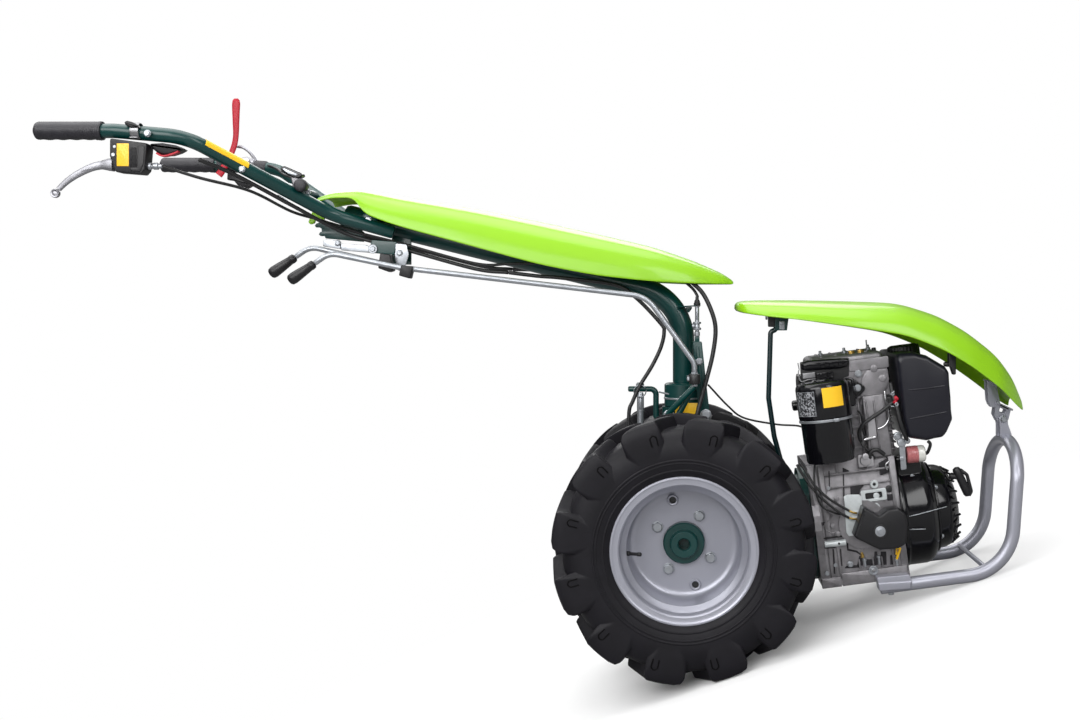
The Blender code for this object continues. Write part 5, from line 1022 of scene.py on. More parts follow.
def guardShape():
    lean = math.atan2(guard["topReach"] - guard["front"], guard["top"] + guard["depth"])
    shoulderX = guard["front"] + math.tan(lean) * (guard["shoulder"] + guard["depth"])
    corners = [
        (guard["rear"], -guard["half"], -guard["depth"]),
        (guard["front"], -guard["half"], -guard["depth"]), (shoulderX, -guard["half"], guard["shoulder"])
    ]
    near = rounded(corners, guard["bend"], 14)
    rise = guard["top"] - guard["tube"] - guard["shoulder"]
    a = np.linspace(0, math.pi, 34)[1:-1]
    arch = np.stack(
        [
            shoulderX + (guard["topReach"] - shoulderX) * np.sin(a), -guard["half"] * np.cos(a),
            guard["shoulder"] + rise * np.sin(a)
        ],
        axis=1
    )
    path = np.vstack([near, arch, (near * (1, -1, 1))[::-1]])
    strutX, strutZ = guard["front"] - guard["bend"] / 2, -guard["depth"] + guard["tube"]
    return together(
        tube(path, guard["tube"], 32, ends=0.1),
        tube(
            [(strutX, -guard["half"], strutZ), (strutX, 0, strutZ), (strutX, guard["half"], strutZ)],
            0.005, 16
        )
    )


piece("guard_shell", guardShape(), "silver", "chassis", where="drive", replaces=("front_guard",))
print("tubes")


# engine: castings, covers and fittings, in the engine's coordinates; the near side is -y

engine = {
    "half": 0.098, "rear": -0.1375, "front": 0.040, "top": 0.139, "lip": 0.1053,
    "headHalf": 0.088, "headRear": -0.106, "headFront": 0.051, "headTop": 0.318,
    "rockerTop": 0.3483, "cowl": 0.117, "cowlCentre": 0.008, "cowlBack": 0.0403, "cowlFront": 0.1143,
    "starter": 0.088, "starterFront": 0.1666
}
caseFace = -engine["half"]


def framed(outer, inner, axis, low, high, edge=0.0006):
    # a flat ring between two outlines with as many points each; its outer and inner rims are eased
    outer, inner = np.asarray(outer, float), np.asarray(inner, float)
    rows = [
        (outer, low), (outer, high - edge), (inset(outer, edge), high), (inset(inner, -edge), high),
        (inner, high - edge), (inner, low)
    ]
    rings = []
    for ring, place in rows:
        along = np.full(len(ring), place)
        rings.append(alongAxis(axis, along, *ring.T))
    return loop(rings)


def pad(outline, y, height, corner, edge, low=0.0, steps=5):
    # a plate with that side outline, laid on the near face at y and growing towards -y
    return onFace(slab(roundedOutline(outline, corner, steps), "y", low, height, edge), y)


def hose(crop, samples, radius, sides, *places):
    # a round hose on a smooth line through places in the photo, each a column, a row and its y
    return tube(spline(inSpace(crop, *places), samples), radius, sides)


def onFace(shape, y):
    # a shape drawn with its height along +y is laid on the near face at y, growing towards -y
    points, faces = shape
    points = np.asarray(points, float) * (1, -1, 1) + (0, y, 0)
    return points, faces


def disc(place, facing, radius, height, edge=0.0008, sides=28, sink=0.001):
    # a round boss with an eased rim
    rim = [
        (radius, -sink), (radius, height - edge), (radius - edge * 0.3, height - edge * 0.3),
        (radius - edge, height)
    ]
    return faced(lathe(rim, "z", sides), facing, place)


def collar(place, facing, outer, inner, height, edge=0.0006, sides=28, sink=0.0008):
    # a round ring with a hole
    rim = [
        (outer, -sink), (outer, height - edge), (outer - edge, height), (inner + edge, height),
        (inner, height - edge), (inner, -sink)
    ]
    return faced(lathe(rim, "z", sides, ring=True), facing, place)


def roundedBox(low, high, corner, steps=4):
    (x0, z0), (x1, z1) = low, high
    return roundedOutline([(x0, z0), (x1, z0), (x1, z1), (x0, z1)], corner, steps)


def engineCastings():
    # raised bands, ribs and bosses on the crankcase's near face, mirrored bands on the far one
    half, lip = engine["half"], engine["lip"]
    shapes = []
    for side in (-1, 1):
        near, out = sorted((side * (half - 0.002), side * (half + 0.0058)))
        shapes.append(
            brick((engine["rear"] - 0.0004, near, -0.0995), (-0.1185, out, 0.1365), 0.0015, axis="y")
        )
        near, out = sorted((side * (half - 0.002), side * (half + 0.0036)))
        shapes.append(brick((-0.1165, near, -0.0995), (-0.1045, out, 0.1365), 0.0012, axis="y"))
        near, out = sorted((side * (half - 0.002), side * (half + 0.0030)))
        shapes.append(
            brick((0.0265, near, -0.0995), (engine["front"] + 0.0003, out, 0.1365), 0.0012, axis="y")
        )
        near, out = sorted((side * (half - 0.002), side * lip))
        shapes.append(brick((-0.0965, near, -0.1098), (0.0368, out, -0.0835), 0.0016, axis="y"))
        shapes.append(
            brick((engine["rear"], near, -0.1098), (-0.0980, out * 0.995, -0.0900), 0.0012, axis="y")
        )
        near, out = sorted((side * (half - 0.002), side * (half + 0.0052)))
        for x in (-0.0570, -0.0295, -0.0115, 0.0150):
            shapes.append(brick((x - 0.0016, near, -0.0850), (x + 0.0016, out, -0.0610), 0.0010, axis="y"))
        near, out = sorted((side * (half - 0.002), side * (half + 0.0025)))
        shapes.append(brick((-0.1045, near, 0.112), (0.0265, out, 0.1160), 0.0010, axis="y"))
        shapes.append(brick((-0.0960, near, 0.086), (0.0265, out, 0.0885), 0.0009, axis="y"))
        shapes.append(brick((-0.0800, near, 0.116), (-0.0765, out, 0.138), 0.0009, axis="y"))
        shapes.append(brick((-0.0180, near, 0.116), (-0.0145, out, 0.138), 0.0009, axis="y"))
    # a cover's wavy edge on the rear band, and bosses for its bolts
    wave = onPlane(
        "case", -0.104, (527, 268), (552, 286), (556, 320), (582, 345), (574, 372), (545, 388),
        (540, 425), (570, 450), (600, 455)
    )
    path = spline([(x, -half - 0.0058, z) for x, z in wave], 40)
    shapes.append(tube(path, 0.0012, 8))
    for x, z in onPlane("case", -0.104, (541, 275), (613, 242), (624, 460), (590, 410)):
        shapes.append(disc((x, -half - 0.003, z), "-y", 0.0052, 0.0050))
    return together(*shapes)


onEngine("case_castings", engineCastings(), "aluminium", crease=30)


def portFlange():
    # intake port's flange: a square ring with an ear at opposite corners, and a boss inside
    y = caseFace
    outer = roundedBox(*onPlane("case", -0.1, (768, 266), (918, 172)), 0.0045)
    inner = roundedBox(*onPlane("case", -0.1, (793, 246), (893, 194)), 0.0030)
    ring = framed([(x, z) for x, z in outer], [(x, z) for x, z in inner], "y", 0.0, 0.0062)
    shapes = [onFace(ring, y + 0.0005)]
    for cx, cz in onPlane("case", -0.104, (848, 152), (858, 294)):
        shapes.append(collar((cx, y, cz), "-y", 0.0082, 0.0034, 0.0060))
    bx, bz = onPlane("case", -0.1, (860, 222))[0]
    shapes.append(disc((bx, y, bz), "-y", 0.0062, 0.0035))
    return together(*shapes)


onEngine("port_flange", portFlange(), "paleZinc", slotName="cast_aluminium", crease=30)

# painted shade: near-black patches in the port's opening, in two bolt holes, on a round patch beside it and in a
# small wedge below the flange
portShade = together(
    onFace(
        slab(
            roundedBox(*onPlane("case", -0.1, (790, 249), (896, 191)), 0.003), "y", -0.0005, 0.0006, 0.0002
        ),
        caseFace
    ),
    disc(putAt(caseFace, "case", 940, 180, -0.1), "-y", 0.0070, 0.0026, 0.0014),
    disc(putAt(caseFace, "case", 848, 152, -0.1), "-y", 0.0034, 0.0022, 0.0004),
    disc(putAt(caseFace, "case", 858, 294, -0.1), "-y", 0.0034, 0.0022, 0.0004),
    onFace(
        slab(onPlane("case", -0.1, (792, 300), (838, 282), (838, 308)), "y", -0.0005, 0.0030, 0.0003),
        caseFace
    )
)
onEngine("port_painted_shade", portShade, "sheathAndShade")


def ventPlate():
    # zinc plate that carries the control cables' clip
    outline = onPlane(
        "case", -0.108, (655, 228), (682, 216), (752, 216), (770, 232), (772, 310), (778, 330),
        (748, 398), (722, 470), (690, 476), (674, 452), (666, 330), (662, 262)
    )
    plate = pad(outline, caseFace - 0.0080, 0.0018, 0.003, 0.0005)
    strap = pad(
        onPlane("case", -0.11, (692, 322), (748, 318), (752, 334), (696, 342)), caseFace - 0.0095,
        0.0035, 0.002, 0.0008
    )
    strap2 = pad(
        onPlane("case", -0.11, (690, 362), (744, 350), (748, 366), (694, 380)), caseFace - 0.0095,
        0.0035, 0.002, 0.0008
    )
    foot = [
        disc((x, caseFace, z), "-y", 0.006, 0.0085) for x,
        z in onPlane("case", -0.1, (700, 440), (712, 250))
    ]
    return together(plate, strap, strap2, *foot)


onEngine("control_plate", ventPlate(), "paleZinc")
# near-black dots on the plate: painted shade in its holes
plateHoleShades = [
    disc((x, caseFace - 0.0093, z), "-y", r, 0.0004, 0.0001, 16) for (x, z),
    r in (
        (onPlane("case", -0.108, (674, 244))[0], 0.0019),
        (onPlane("case", -0.108, (742, 238))[0], 0.0019),
        (onPlane("case", -0.108, (742, 272))[0], 0.0016), (onPlane("case", -0.108, (700, 440))[0], 0.0016)
    )
]
onEngine("control_plate_hole_shade", together(*plateHoleShades), "sheathAndShade")


def coverShape():
    # timing cover: a soft-edged moulding with a shallow rim
    y = -0.1053
    outline = onPlane(
        "case", -0.15, (772, 332), (782, 292), (880, 352), (930, 312), (1000, 302), (1042, 334),
        (1054, 392), (1054, 470), (1042, 528), (1000, 552), (884, 562), (744, 494), (722, 478), (748, 402)
    )
    return pad(outline, y, 0.0452, 0.006, 0.0045, low=-0.0005, steps=5)


onEngine("side_cover_shell", coverShape(), "plastic", replaces=("side_cover",), crease=40)
coverBolt = onPlane("case", -0.152, (885, 445))[0]
boltPlace = (coverBolt[0], -0.1508, coverBolt[1])
onEngine("side_cover_grommet", collar(boltPlace, "-y", 0.0136, 0.0100, 0.0016, 0.0005), "sheathAndShade")
coverWasher = together(
    disc(boltPlace, "-y", 0.0106, 0.0014, 0.0005),
    bolt((boltPlace[0], boltPlace[1] - 0.001, boltPlace[2]), "-y", across=0.0100, head=0.0034)
)
onEngine("side_cover_bolt", coverWasher, "zinc", crease=25)

# drain plug, studs along the sump, and the case's own bolts
plug = putAt(-engine["lip"], "case", 843, 688, -0.108)
sumpMetal = [
    collar(plug, "-y", 0.0096, 0.0058, 0.0022), disc(plug, "-y", 0.0056, 0.0034, 0.0006),
    bolt(
        putAt(caseFace - 0.004, "case", 700, 650, -0.104),
        "-y", across=0.0090, head=0.0040, washer=0.0062
    ),
    bolt(
        (spot("case", 555, 712, -0.104)[0], caseFace - 0.0058, spot("case", 555, 706, -0.104)[2]),
        "-y", across=0.0085, head=0.0038
    ),
    bolt(putAt(-0.0775, "case", 1080, 98, -0.06), "-y", across=0.0075, head=0.003)
]
for x, z in onPlane("case", -0.104, (790, 640), (878, 622), (990, 640)):
    stud = lathe(
        [(0.0028, -0.009), (0.0028, 0.0035), (0.0044, 0.0035), (0.0044, 0.0078), (0.0034, 0.0090)], "z",
        20
    )
    sumpMetal.append(shifted(stud, (x, caseFace - 0.0030, z)))
for x, z in onPlane("case", -0.104, (563, 176), (541, 275), (624, 460), (606, 655)):
    sumpMetal.append(bolt((x, caseFace - 0.0068, z), "-y", across=0.0072, head=0.0030, sink=0.002))
onEngine("case_bolts", together(*sumpMetal), "zinc", crease=25)
onEngine(
    "drain_square",
    brick(
        (plug[0] - 0.0026, plug[1] - 0.0068, plug[2] - 0.0026),
        (plug[0] + 0.0026, plug[1] - 0.003, plug[2] + 0.0026), 0.0006, axis="y"
    ),
    "steel"
)

dipstick = together(
    tube(inSpace("case", (1009, 546, -0.112), (998, 580, -0.112), (988, 618, -0.110)), 0.0026, 16),
    tube(inSpace("case", (984, 548, -0.112), (1009, 546, -0.112)), 0.0024, 12),
    tube(inSpace("case", (986, 548, -0.112), (984, 590, -0.112)), 0.0016, 12),
)
onEngine("dipstick", dipstick, "yellow")
onEngine(
    "oil_jet",
    shifted(
        lathe([(0.0036, -0.004), (0.0036, 0.003), (0.0022, 0.0035), (0.0022, 0.0070)], "z", 16),
        putAt(caseFace - 0.003, "case", 775, 597, -0.104)
    ),
    "brass"
)

shaftSleeve = inSpace("case", (537, 526, -0.107), (605, 520, -0.107), (671, 512, -0.107))
onEngine("chrome_sleeve", tube(shaftSleeve, 0.0066, 28, 0.12), "paleZinc", slotName="chrome")
# a near-black dot on the sleeve: painted shade in its hole
onEngine(
    "chrome_sleeve_hole_shade",
    disc(putAt(-0.1134, "case", 626, 517, -0.107), "-y", 0.0024, 0.0006, 0.0002, 16),
    "sheathAndShade"
)


# cylinder head, its cover and what is bolted to them
def headShape():
    # rocker cover: an outline with a big rear corner pushed across the engine, above a flat joint
    block = engine
    outline = roundedOutline(
        [
            (block["headRear"] + 0.004, block["headTop"] - 0.0005),
            (block["headFront"] - 0.004, block["headTop"] - 0.0005),
            (block["headFront"] - 0.004, block["rockerTop"]),
            (block["headRear"] + 0.004, block["rockerTop"])
        ],
        0.0135, 7
    )
    low = outline[:, 1] < block["headTop"] + 0.006
    outline[low, 1] = block["headTop"] - 0.0005
    cover = slab(outline, "y", -0.0800, 0.0800, 0.0085)
    joint = brick(
        (block["headRear"] - 0.0006, -0.0862, block["headTop"] - 0.004),
        (block["headFront"] + 0.0006, 0.0862, block["headTop"] + 0.0035), 0.0012
    )
    ridge = [
        brick(
            (x - 0.0022, -0.060, block["rockerTop"] - 0.004),
            (x + 0.0022, 0.060, block["rockerTop"] + 0.0022), 0.0010
        )
        for x in (-0.075, -0.045, -0.015, 0.015)
    ]
    return together(cover, joint, *ridge)


onEngine("rocker_shell", headShape(), "aluminium", replaces=("rocker_cover",), crease=40)


def headCastings():
    # plates and bosses on the head's near side: a deep face, a lug with its bolt, the push-rod column
    block = engine
    y = -block["headHalf"]
    face = pad(
        onPlane(
            "head", -0.09, (770, 300), (800, 250), (930, 240), (940, 305), (925, 360), (870, 450),
            (840, 480), (760, 470)
        ),
        y, 0.0040, 0.004, 0.0012, low=-0.001
    )
    upper = pad(
        onPlane("head", -0.09, (690, 190), (935, 160), (940, 232), (690, 262)), y, 0.0030, 0.004, 0.0012,
        low=-0.001
    )
    shapes = [face, upper]
    for cx, cz in onPlane("head", -0.092, (748, 272), (845, 240), (900, 300)):
        shapes.append(disc((cx, y, cz), "-y", 0.0075, 0.0048))
    column = brick(
        (spot("head", 790, 600, -0.09)[0], -0.0980, 0.136),
        (spot("head", 935, 600, -0.09)[0], -0.070, 0.2630), 0.004, axis="z"
    )
    rib = [
        brick((x - 0.0016, -0.1010, 0.150), (x + 0.0016, -0.095, 0.252), 0.001, axis="y")
        for x in (-0.0180, -0.0020, 0.0140)
    ]
    return together(*shapes, column, *rib)


onEngine("head_castings", headCastings(), "aluminium", crease=32)
headBolts = []
for (cx, cz), lift in (
    (onPlane("head", -0.092, (748, 272))[0], 0.0046), (onPlane("head", -0.105, (745, 362))[0], 0.0135)
):
    headBolts.append(
        bolt((cx, -engine["headHalf"] - lift, cz), "-y", across=0.0100, head=0.0044, washer=0.0072)
    )
for u in (0.030, -0.020, -0.070):
    headBolts.append(
        shifted(
            lathe(
                [
                    (0.0050, -0.001), (0.0050, 0.0050), (0.0030, 0.0052), (0.0030, 0.0100),
                    (0.0022, 0.0108)
                ],
                "z", 20
            ),
            (u, 0.0, engine["rockerTop"])
        )
    )
onEngine("head_bolts", together(*headBolts), "zinc", crease=25)

nuts = []
for cx, cz in onPlane("head", -0.06, (705, 140), (762, 134)):
    nuts.append(
        bolt((cx, -0.060, engine["rockerTop"] - 0.001), "z", across=0.0120, head=0.0062, washer=0.0066)
    )
onEngine("brass_nuts", together(*nuts), "brass", crease=25)
decompress = [
    (spot("head", 800, 140, -0.06)[0], -0.060, engine["rockerTop"] - 0.002),
    putAt(-0.060, "head", 800, 100, -0.06),
    putAt(-0.060, "head", 796, 62, -0.06)
]
onEngine("decompression_rod", tube(decompress, 0.0015, 12), "steel")
capNut = lathe([(0.0048, -0.001), (0.0048, 0.0038), (0.0034, 0.0052)], "z", 18)
onEngine(
    "head_cap_nut", shifted(capNut, (spot("head", 845, 128, -0.04)[0], -0.040, engine["rockerTop"])),
    "sheathAndShade"
)


def guardBox():
    # glossy capsule with a slotted face, beside the rocker cover, and the switch block under it
    y = -0.0800
    capsule = pad(
        onPlane(
            "head", -0.095, (392, 206), (440, 190), (640, 176), (690, 182), (686, 226), (630, 240),
            (420, 254), (394, 244)
        ),
        y, 0.0185, 0.004, 0.0045
    )
    louvres = [
        pad(
            [
                (x - 0.0042, z - 0.0050), (x + 0.0042, z - 0.0050), (x + 0.0042, z + 0.0050),
                (x - 0.0042, z + 0.0050)
            ],
            y, 0.0212, 0.0012, 0.0008
        )
        for x, z in onPlane("head", -0.098, (525, 222), (580, 215), (636, 207))
    ]
    block = pad(
        onPlane("head", -0.1, (486, 268), (592, 254), (596, 300), (490, 314)), y, 0.0200, 0.0012, 0.0010
    )
    ribs = [
        pad(
            [
                (x - 0.0013, z - 0.0058), (x + 0.0013, z - 0.0058), (x + 0.0013, z + 0.0058),
                (x - 0.0013, z + 0.0058)
            ],
            y, 0.0215, 0.0006, 0.0004
        )
        for x, z in onPlane("head", -0.1, (508, 288), (526, 286), (548, 282), (572, 280))
    ]
    return together(capsule, *louvres, block, *ribs)


onEngine("head_guard", guardBox(), "enamel")
strapPlate = pad(
    onPlane("head", -0.098, (402, 272), (478, 262), (481, 296), (405, 306)), -0.0800, 0.0165, 0.0010,
    0.0006
)
strapWire = tube(
    rounded(
        inSpace(
            "head", (372, 206, -0.094), (380, 246, -0.099), (374, 262, -0.100), (388, 330, -0.101),
            (432, 310, -0.101), (482, 304, -0.099)
        ),
        0.006, 5
    ),
    0.0011, 10
)
onEngine("head_strap", together(strapPlate, strapWire), "steel")


# air cleaner: a squat can with its lid, a clamp band and a glossy oil bowl
airFilter = {
    "x": -0.0905, "y": -0.1425, "can": 0.0525, "bowl": 0.0495, "foot": 0.1462, "step": 0.168,
    "joint": 0.2375, "top": 0.3065
}


def filterCan():
    air = airFilter
    profile = [
        (0.020, air["joint"] - 0.004), (air["can"] - 0.001, air["joint"] - 0.002),
        (air["can"], air["joint"]),
        (air["can"], air["top"] - 0.012), (air["can"] - 0.0012, air["top"] - 0.007),
        (air["can"] - 0.005, air["top"] - 0.002), (air["can"] - 0.012, air["top"]),
        (0.018, air["top"] + 0.0012),
        (0.016, air["top"] + 0.0032), (0.006, air["top"] + 0.0038)
    ]
    can = lathe(profile, "z", 72, (air["x"], air["y"], 0))
    neck = slab(
        roundedOutline(
            [
                (air["x"] - 0.030, -0.130), (air["x"] + 0.064, -0.130), (air["x"] + 0.072, -0.086),
                (air["x"] - 0.036, -0.086)
            ],
            0.008
        ),
        "z", air["joint"] + 0.010, air["top"] - 0.004, 0.006
    )
    ear = pad(
        onPlane(
            "head", -0.1, (660, 300), (705, 296), (790, 352), (788, 376), (735, 432), (700, 436),
            (664, 430)
        ),
        -0.0880, 0.0120, 0.006, 0.0018
    )
    seat = pad(
        onPlane("head", -0.1, (690, 312), (712, 310), (770, 358), (768, 370), (725, 420), (696, 420)),
        -0.0880, 0.0135, 0.005, 0.0012
    )
    return together(can, neck, ear, seat)


def filterBowl():
    air = airFilter
    profile = [
        (0.012, air["foot"]), (air["bowl"] - 0.010, air["foot"]),
        (air["bowl"] - 0.0035, air["foot"] + 0.0020),
        (air["bowl"] - 0.0018, air["foot"] + 0.006), (air["bowl"] - 0.0015, air["step"] - 0.002),
        (air["bowl"], air["step"] + 0.0005), (air["bowl"] + 0.0006, air["joint"] - 0.010),
        (air["bowl"] + 0.0020, air["joint"] - 0.007), (air["bowl"] + 0.0020, air["joint"] - 0.003),
        (0.020, air["joint"] - 0.002)
    ]
    return lathe(profile, "z", 72, (air["x"], air["y"], 0))


onEngine("filter_can", together(filterCan(), filterBowl()), "enamel", replaces=("air_filter",), crease=34)


def curved(middle, radius, low, high, start, stop, thick=0.0005, steps=24):
    # a thin label wrapped on a drum about z: start and stop are degrees round it, low and high its edges
    angles = np.radians(np.linspace(start, stop, steps))
    heights = np.linspace(low, high, 3)

    def sheet(distance):
        return [
            (middle[0] + distance * math.cos(a), middle[1] + distance * math.sin(a), z)
            for z in heights for a in angles
        ]

    points = np.array(sheet(radius + thick) + sheet(radius - 0.0004))
    count = steps * 3
    faces = []
    for row in range(2):
        for k in range(steps - 1):
            a = row * steps + k
            b, c, d = a + 1, a + steps + 1, a + steps
            faces += [[a, b, c, d], [count + d, count + c, count + b, count + a]]
    for k in range(steps - 1):
        faces += [
            [k + 1, k, count + k, count + k + 1],
            [2 * steps + k, 2 * steps + k + 1, count + 2 * steps + k + 1, count + 2 * steps + k]
        ]
    for row in range(2):
        faces += [
            [row * steps, (row + 1) * steps, count + (row + 1) * steps, count + row * steps],
            [
                (row + 1) * steps + steps - 1, row * steps + steps - 1, count + row * steps + steps - 1,
                count + (row + 1) * steps + steps - 1
            ]
        ]
    return points, faces


drum = (airFilter["x"], airFilter["y"])
onEngine("filter_plate", curved(drum, airFilter["can"], 0.2440, 0.2905, -164, -115), "printed")
rimStrips = [
    (0.2432, 0.2441, -165, -114), (0.2904, 0.2913, -165, -114), (0.2440, 0.2905, -165, -164),
    (0.2440, 0.2905, -115, -114)
]
plateRim = together(*[curved(drum, airFilter["can"] + 0.0003, *strip) for strip in rimStrips])
onEngine("filter_plate_rim", plateRim, "zinc")
onEngine("filter_label", curved(drum, airFilter["can"], 0.2575, 0.2960, -97, -50), "yellow")
band = shifted(
    lathe(
        [
            (airFilter["bowl"] + 0.0018, 0.2290), (airFilter["bowl"] + 0.0034, 0.2294),
            (airFilter["bowl"] + 0.0034, 0.2340), (airFilter["bowl"] + 0.0018, 0.2344)
        ],
        "z", 72, ring=True
    ),
    (*drum, 0)
)
clip = brick(
    (drum[0] + 0.010, drum[1] - 0.0565, 0.2285), (drum[0] + 0.020, drum[1] - 0.0500, 0.2350), 0.0010
)
onEngine("filter_band", together(band, clip), "zinc")


# fuel tank: a blow-moulded body with two moulding seams; the profile shrinks towards both sides
# the filler stands at capShare of the tank's length
tank = {"rear": 0.0525, "length": 0.120, "capShare": 0.42, "half": 0.1272}


def tankShape():
    outline = onPlane(
        "head", -0.128, (985, 172), (1000, 146), (1090, 138), (1180, 160), (1296, 228), (1318, 262),
        (1322, 336), (1330, 420), (1333, 498), (1341, 560), (1306, 640), (1282, 672), (1232, 680),
        (1180, 694), (1062, 676), (1030, 560)
    )
    ring = roundedOutline(outline, 0.012, 5)
    middle = ring.mean(axis=0)
    rows = []
    for share, shrink in (
        (-1.0, 0.86), (-0.992, 0.905), (-0.975, 0.945), (-0.945, 0.975), (-0.90, 0.992), (-0.84, 1.0),
        (0.0, 1.0), (0.84, 1.0), (0.90, 0.992), (0.945, 0.975), (0.975, 0.945), (0.992, 0.905),
        (1.0, 0.86)
    ):
        ringAt = middle + (ring - middle) * shrink
        rows.append(
            np.stack([ringAt[:, 0], np.full(len(ringAt), share * tank["half"]), ringAt[:, 1]], axis=1)
        )
    return skin(rows)


def tankSeam(a, b, bow=0.0):
    # a thin raised line round the tank's near end, side to side and back
    (x0, z0), (x1, z1) = a, b
    half = tank["half"]
    inner = 0.006
    path = [
        (x0 - 0.001, 0.06, z0), (x0 - 0.001, -half + 0.020, z0), (x0 + inner, -half + 0.001, z0 + 0.002),
        ((x0 + x1) / 2, -half - 0.0002, (z0 + z1) / 2 + bow), (x1 - inner, -half + 0.001, z1),
        (x1 + 0.0005, -half + 0.020, z1), (x1 + 0.0005, 0.06, z1)
    ]
    return tube(rounded(path, 0.012, 5), 0.0013, 8)


tankBody = together(
    tankShape(), tankSeam(*onPlane("head", -0.128, (1030, 386), (1322, 344))),
    tankSeam(*onPlane("head", -0.128, (1040, 566), (1333, 506)), 0.001)
)
onEngine("tank_shell", tankBody, "tank", replaces=("fuel_tank",), crease=50)

capX = tank["rear"] + tank["length"] * tank["capShare"]


def capShape():
    # filler cap with a knurled rim: the radius steps up and down 28 times round
    knurl = lambda angles: 1 + 0.012 * np.sign(np.cos(angles * 28))
    rim = lathe(
        [(0.0330, 0.3250), (0.0330, 0.3440), (0.0322, 0.3465), (0.0300, 0.3478)], "z", 168, (capX, 0, 0),
        radial=knurl
    )
    top = lathe([(0.0300, 0.3470), (0.0280, 0.3488)], "z", 64, (capX, 0, 0))
    neck = lathe([(0.0270, 0.300), (0.0270, 0.3255)], "z", 48, (capX, 0, 0))
    bar = brick((capX - 0.026, -0.005, 0.347), (capX + 0.026, 0.005, 0.3499), 0.0015)
    return together(rim, top, neck, bar)


onEngine("cap_shell", capShape(), "plastic", replaces=("fuel_cap",), crease=30)


# breather bottle and hoses between the tank and the head
bottle = together(
    lathe(
        [
            (0.0080, 0.262), (0.0080, 0.3180), (0.0105, 0.3190), (0.0105, 0.3300), (0.0088, 0.3345),
            (0.0045, 0.3365)
        ],
        "z", 40, (spot("head", 915, 260, -0.08)[0], -0.080, 0)
    ),
    tube(inSpace("head", (872, 212, -0.084), (896, 200, -0.084)), 0.0042, 16)
)
onEngine("breather_bottle", bottle, "enamel")

hoses = together(
    hose(
        "head", 30, 0.0038, 20, (965, 448, -0.118), (900, 500, -0.122), (830, 548, -0.124),
        (776, 590, -0.120), (752, 640, -0.112), (762, 690, -0.104)
    ),
    hose(
        "head", 26, 0.0046, 20, (985, 470, -0.124), (1000, 540, -0.126), (1016, 600, -0.124),
        (1044, 668, -0.112), (1052, 690, -0.102)
    ),
    hose("head", 14, 0.0042, 20, (948, 330, -0.105), (962, 400, -0.116), (975, 440, -0.122)),
    hose(
        "head", 26, 0.0019, 14, (742, 500, -0.120), (760, 520, -0.118), (772, 560, -0.112),
        (776, 620, -0.104), (790, 660, -0.100)
    ),
    hose(
        "head", 24, 0.0042, 20, (820, 800, -0.104), (822, 764, -0.108), (862, 745, -0.110),
        (912, 776, -0.106)
    ),
    hose(
        "head", 20, 0.0022, 14, (760, 690, -0.100), (784, 726, -0.104), (830, 770, -0.104),
        (850, 800, -0.100)
    ),
    hose(
        "head", 20, 0.0034, 16, (1180, 690, -0.090), (1196, 712, -0.092), (1180, 760, -0.086),
        (1160, 772, -0.080)
    )
)
onEngine("fuel_hoses", hoses, "sheathAndShade")

pipes = together(
    hose(
        "head", 34, 0.0021, 16, (912, 380, -0.104), (918, 440, -0.106), (934, 500, -0.106),
        (936, 558, -0.106), (906, 600, -0.106), (868, 616, -0.104)
    ),
    hose("head", 14, 0.0017, 12, (928, 872, -0.103), (918, 840, -0.106), (938, 816, -0.106)),
    tube(inSpace("head", (782, 684, -0.106), (818, 674, -0.106), (856, 666, -0.106)), 0.0034, 20, 0.2)
)
onEngine("injection_pipes", pipes, "chrome")
onEngine("hose_clip", together(
    tube(inSpace("head", (976, 432, -0.124), (992, 418, -0.124)), 0.0050, 20, 0.2),
    tube(inSpace("head", (968, 442, -0.124), (984, 452, -0.124)), 0.0044, 18, 0.2),
), "red")
clips = together(
    collar(spot("head", 962, 398, -0.119), "-y", 0.0036, 0.0014, 0.0030, 0.0006, 16),
    collar(spot("head", 986, 462, -0.127), "-y", 0.0040, 0.0014, 0.0030, 0.0006, 16),
    tube(inSpace("head", (948, 402, -0.119), (972, 380, -0.119)), 0.0013, 10),
    tube(inSpace("head", (950, 474, -0.124), (974, 478, -0.124)), 0.0013, 10),
    collar(spot("head", 1052, 686, -0.108), "-y", 0.0052, 0.0020, 0.0036, 0.0006, 18)
)
onEngine("hose_clamps", clips, "zinc")

# injection pump housing and its union, low on the case's near face, in the lighter copy of the casting finish as a
# painted highlight
pump = together(
    disc(spot("head", 790, 810, -0.098), "-y", 0.0110, 0.010, 0.002),
    disc(spot("head", 790, 786, -0.108), "-y", 0.0065, 0.006, 0.0012),
    pad(
        onPlane("head", -0.1, (740, 780), (838, 770), (846, 846), (748, 856)), caseFace, 0.0060,
        0.004, 0.0014
    ),
    pad(
        onPlane("head", -0.1, (800, 560), (850, 545), (862, 660), (812, 672)), -0.0975, 0.0075, 0.003,
        0.0014
    )
)
onEngine("injection_pump", pump, "castHighlight", crease=32)


# fuel filter: a bracket, the bolt over it, and a clear shell round a red element
filterBracket = together(
    pad(
        onPlane("head", -0.1, (998, 690), (1036, 684), (1048, 866), (1012, 872)), -0.0995, 0.0030, 0.003,
        0.0010
    ),
    disc(spot("head", 994, 662, -0.099), "-y", 0.0090, 0.0058, 0.0012),
    bolt(spot("head", 994, 662, -0.105), "-y", across=0.0095, head=0.0044),
    disc(spot("head", 1016, 700, -0.099), "-y", 0.0090, 0.0062, 0.0020),
    disc(spot("head", 1052, 690, -0.099), "-y", 0.0058, 0.0052, 0.0012),
    disc(spot("head", 1018, 800, -0.1015), "-y", 0.0042, 0.0030, 0.0008)
)
onEngine("filter_bracket", filterBracket, "zinc", crease=28)
cupMiddle = np.array(spot("head", 1106, 772, -0.0912))


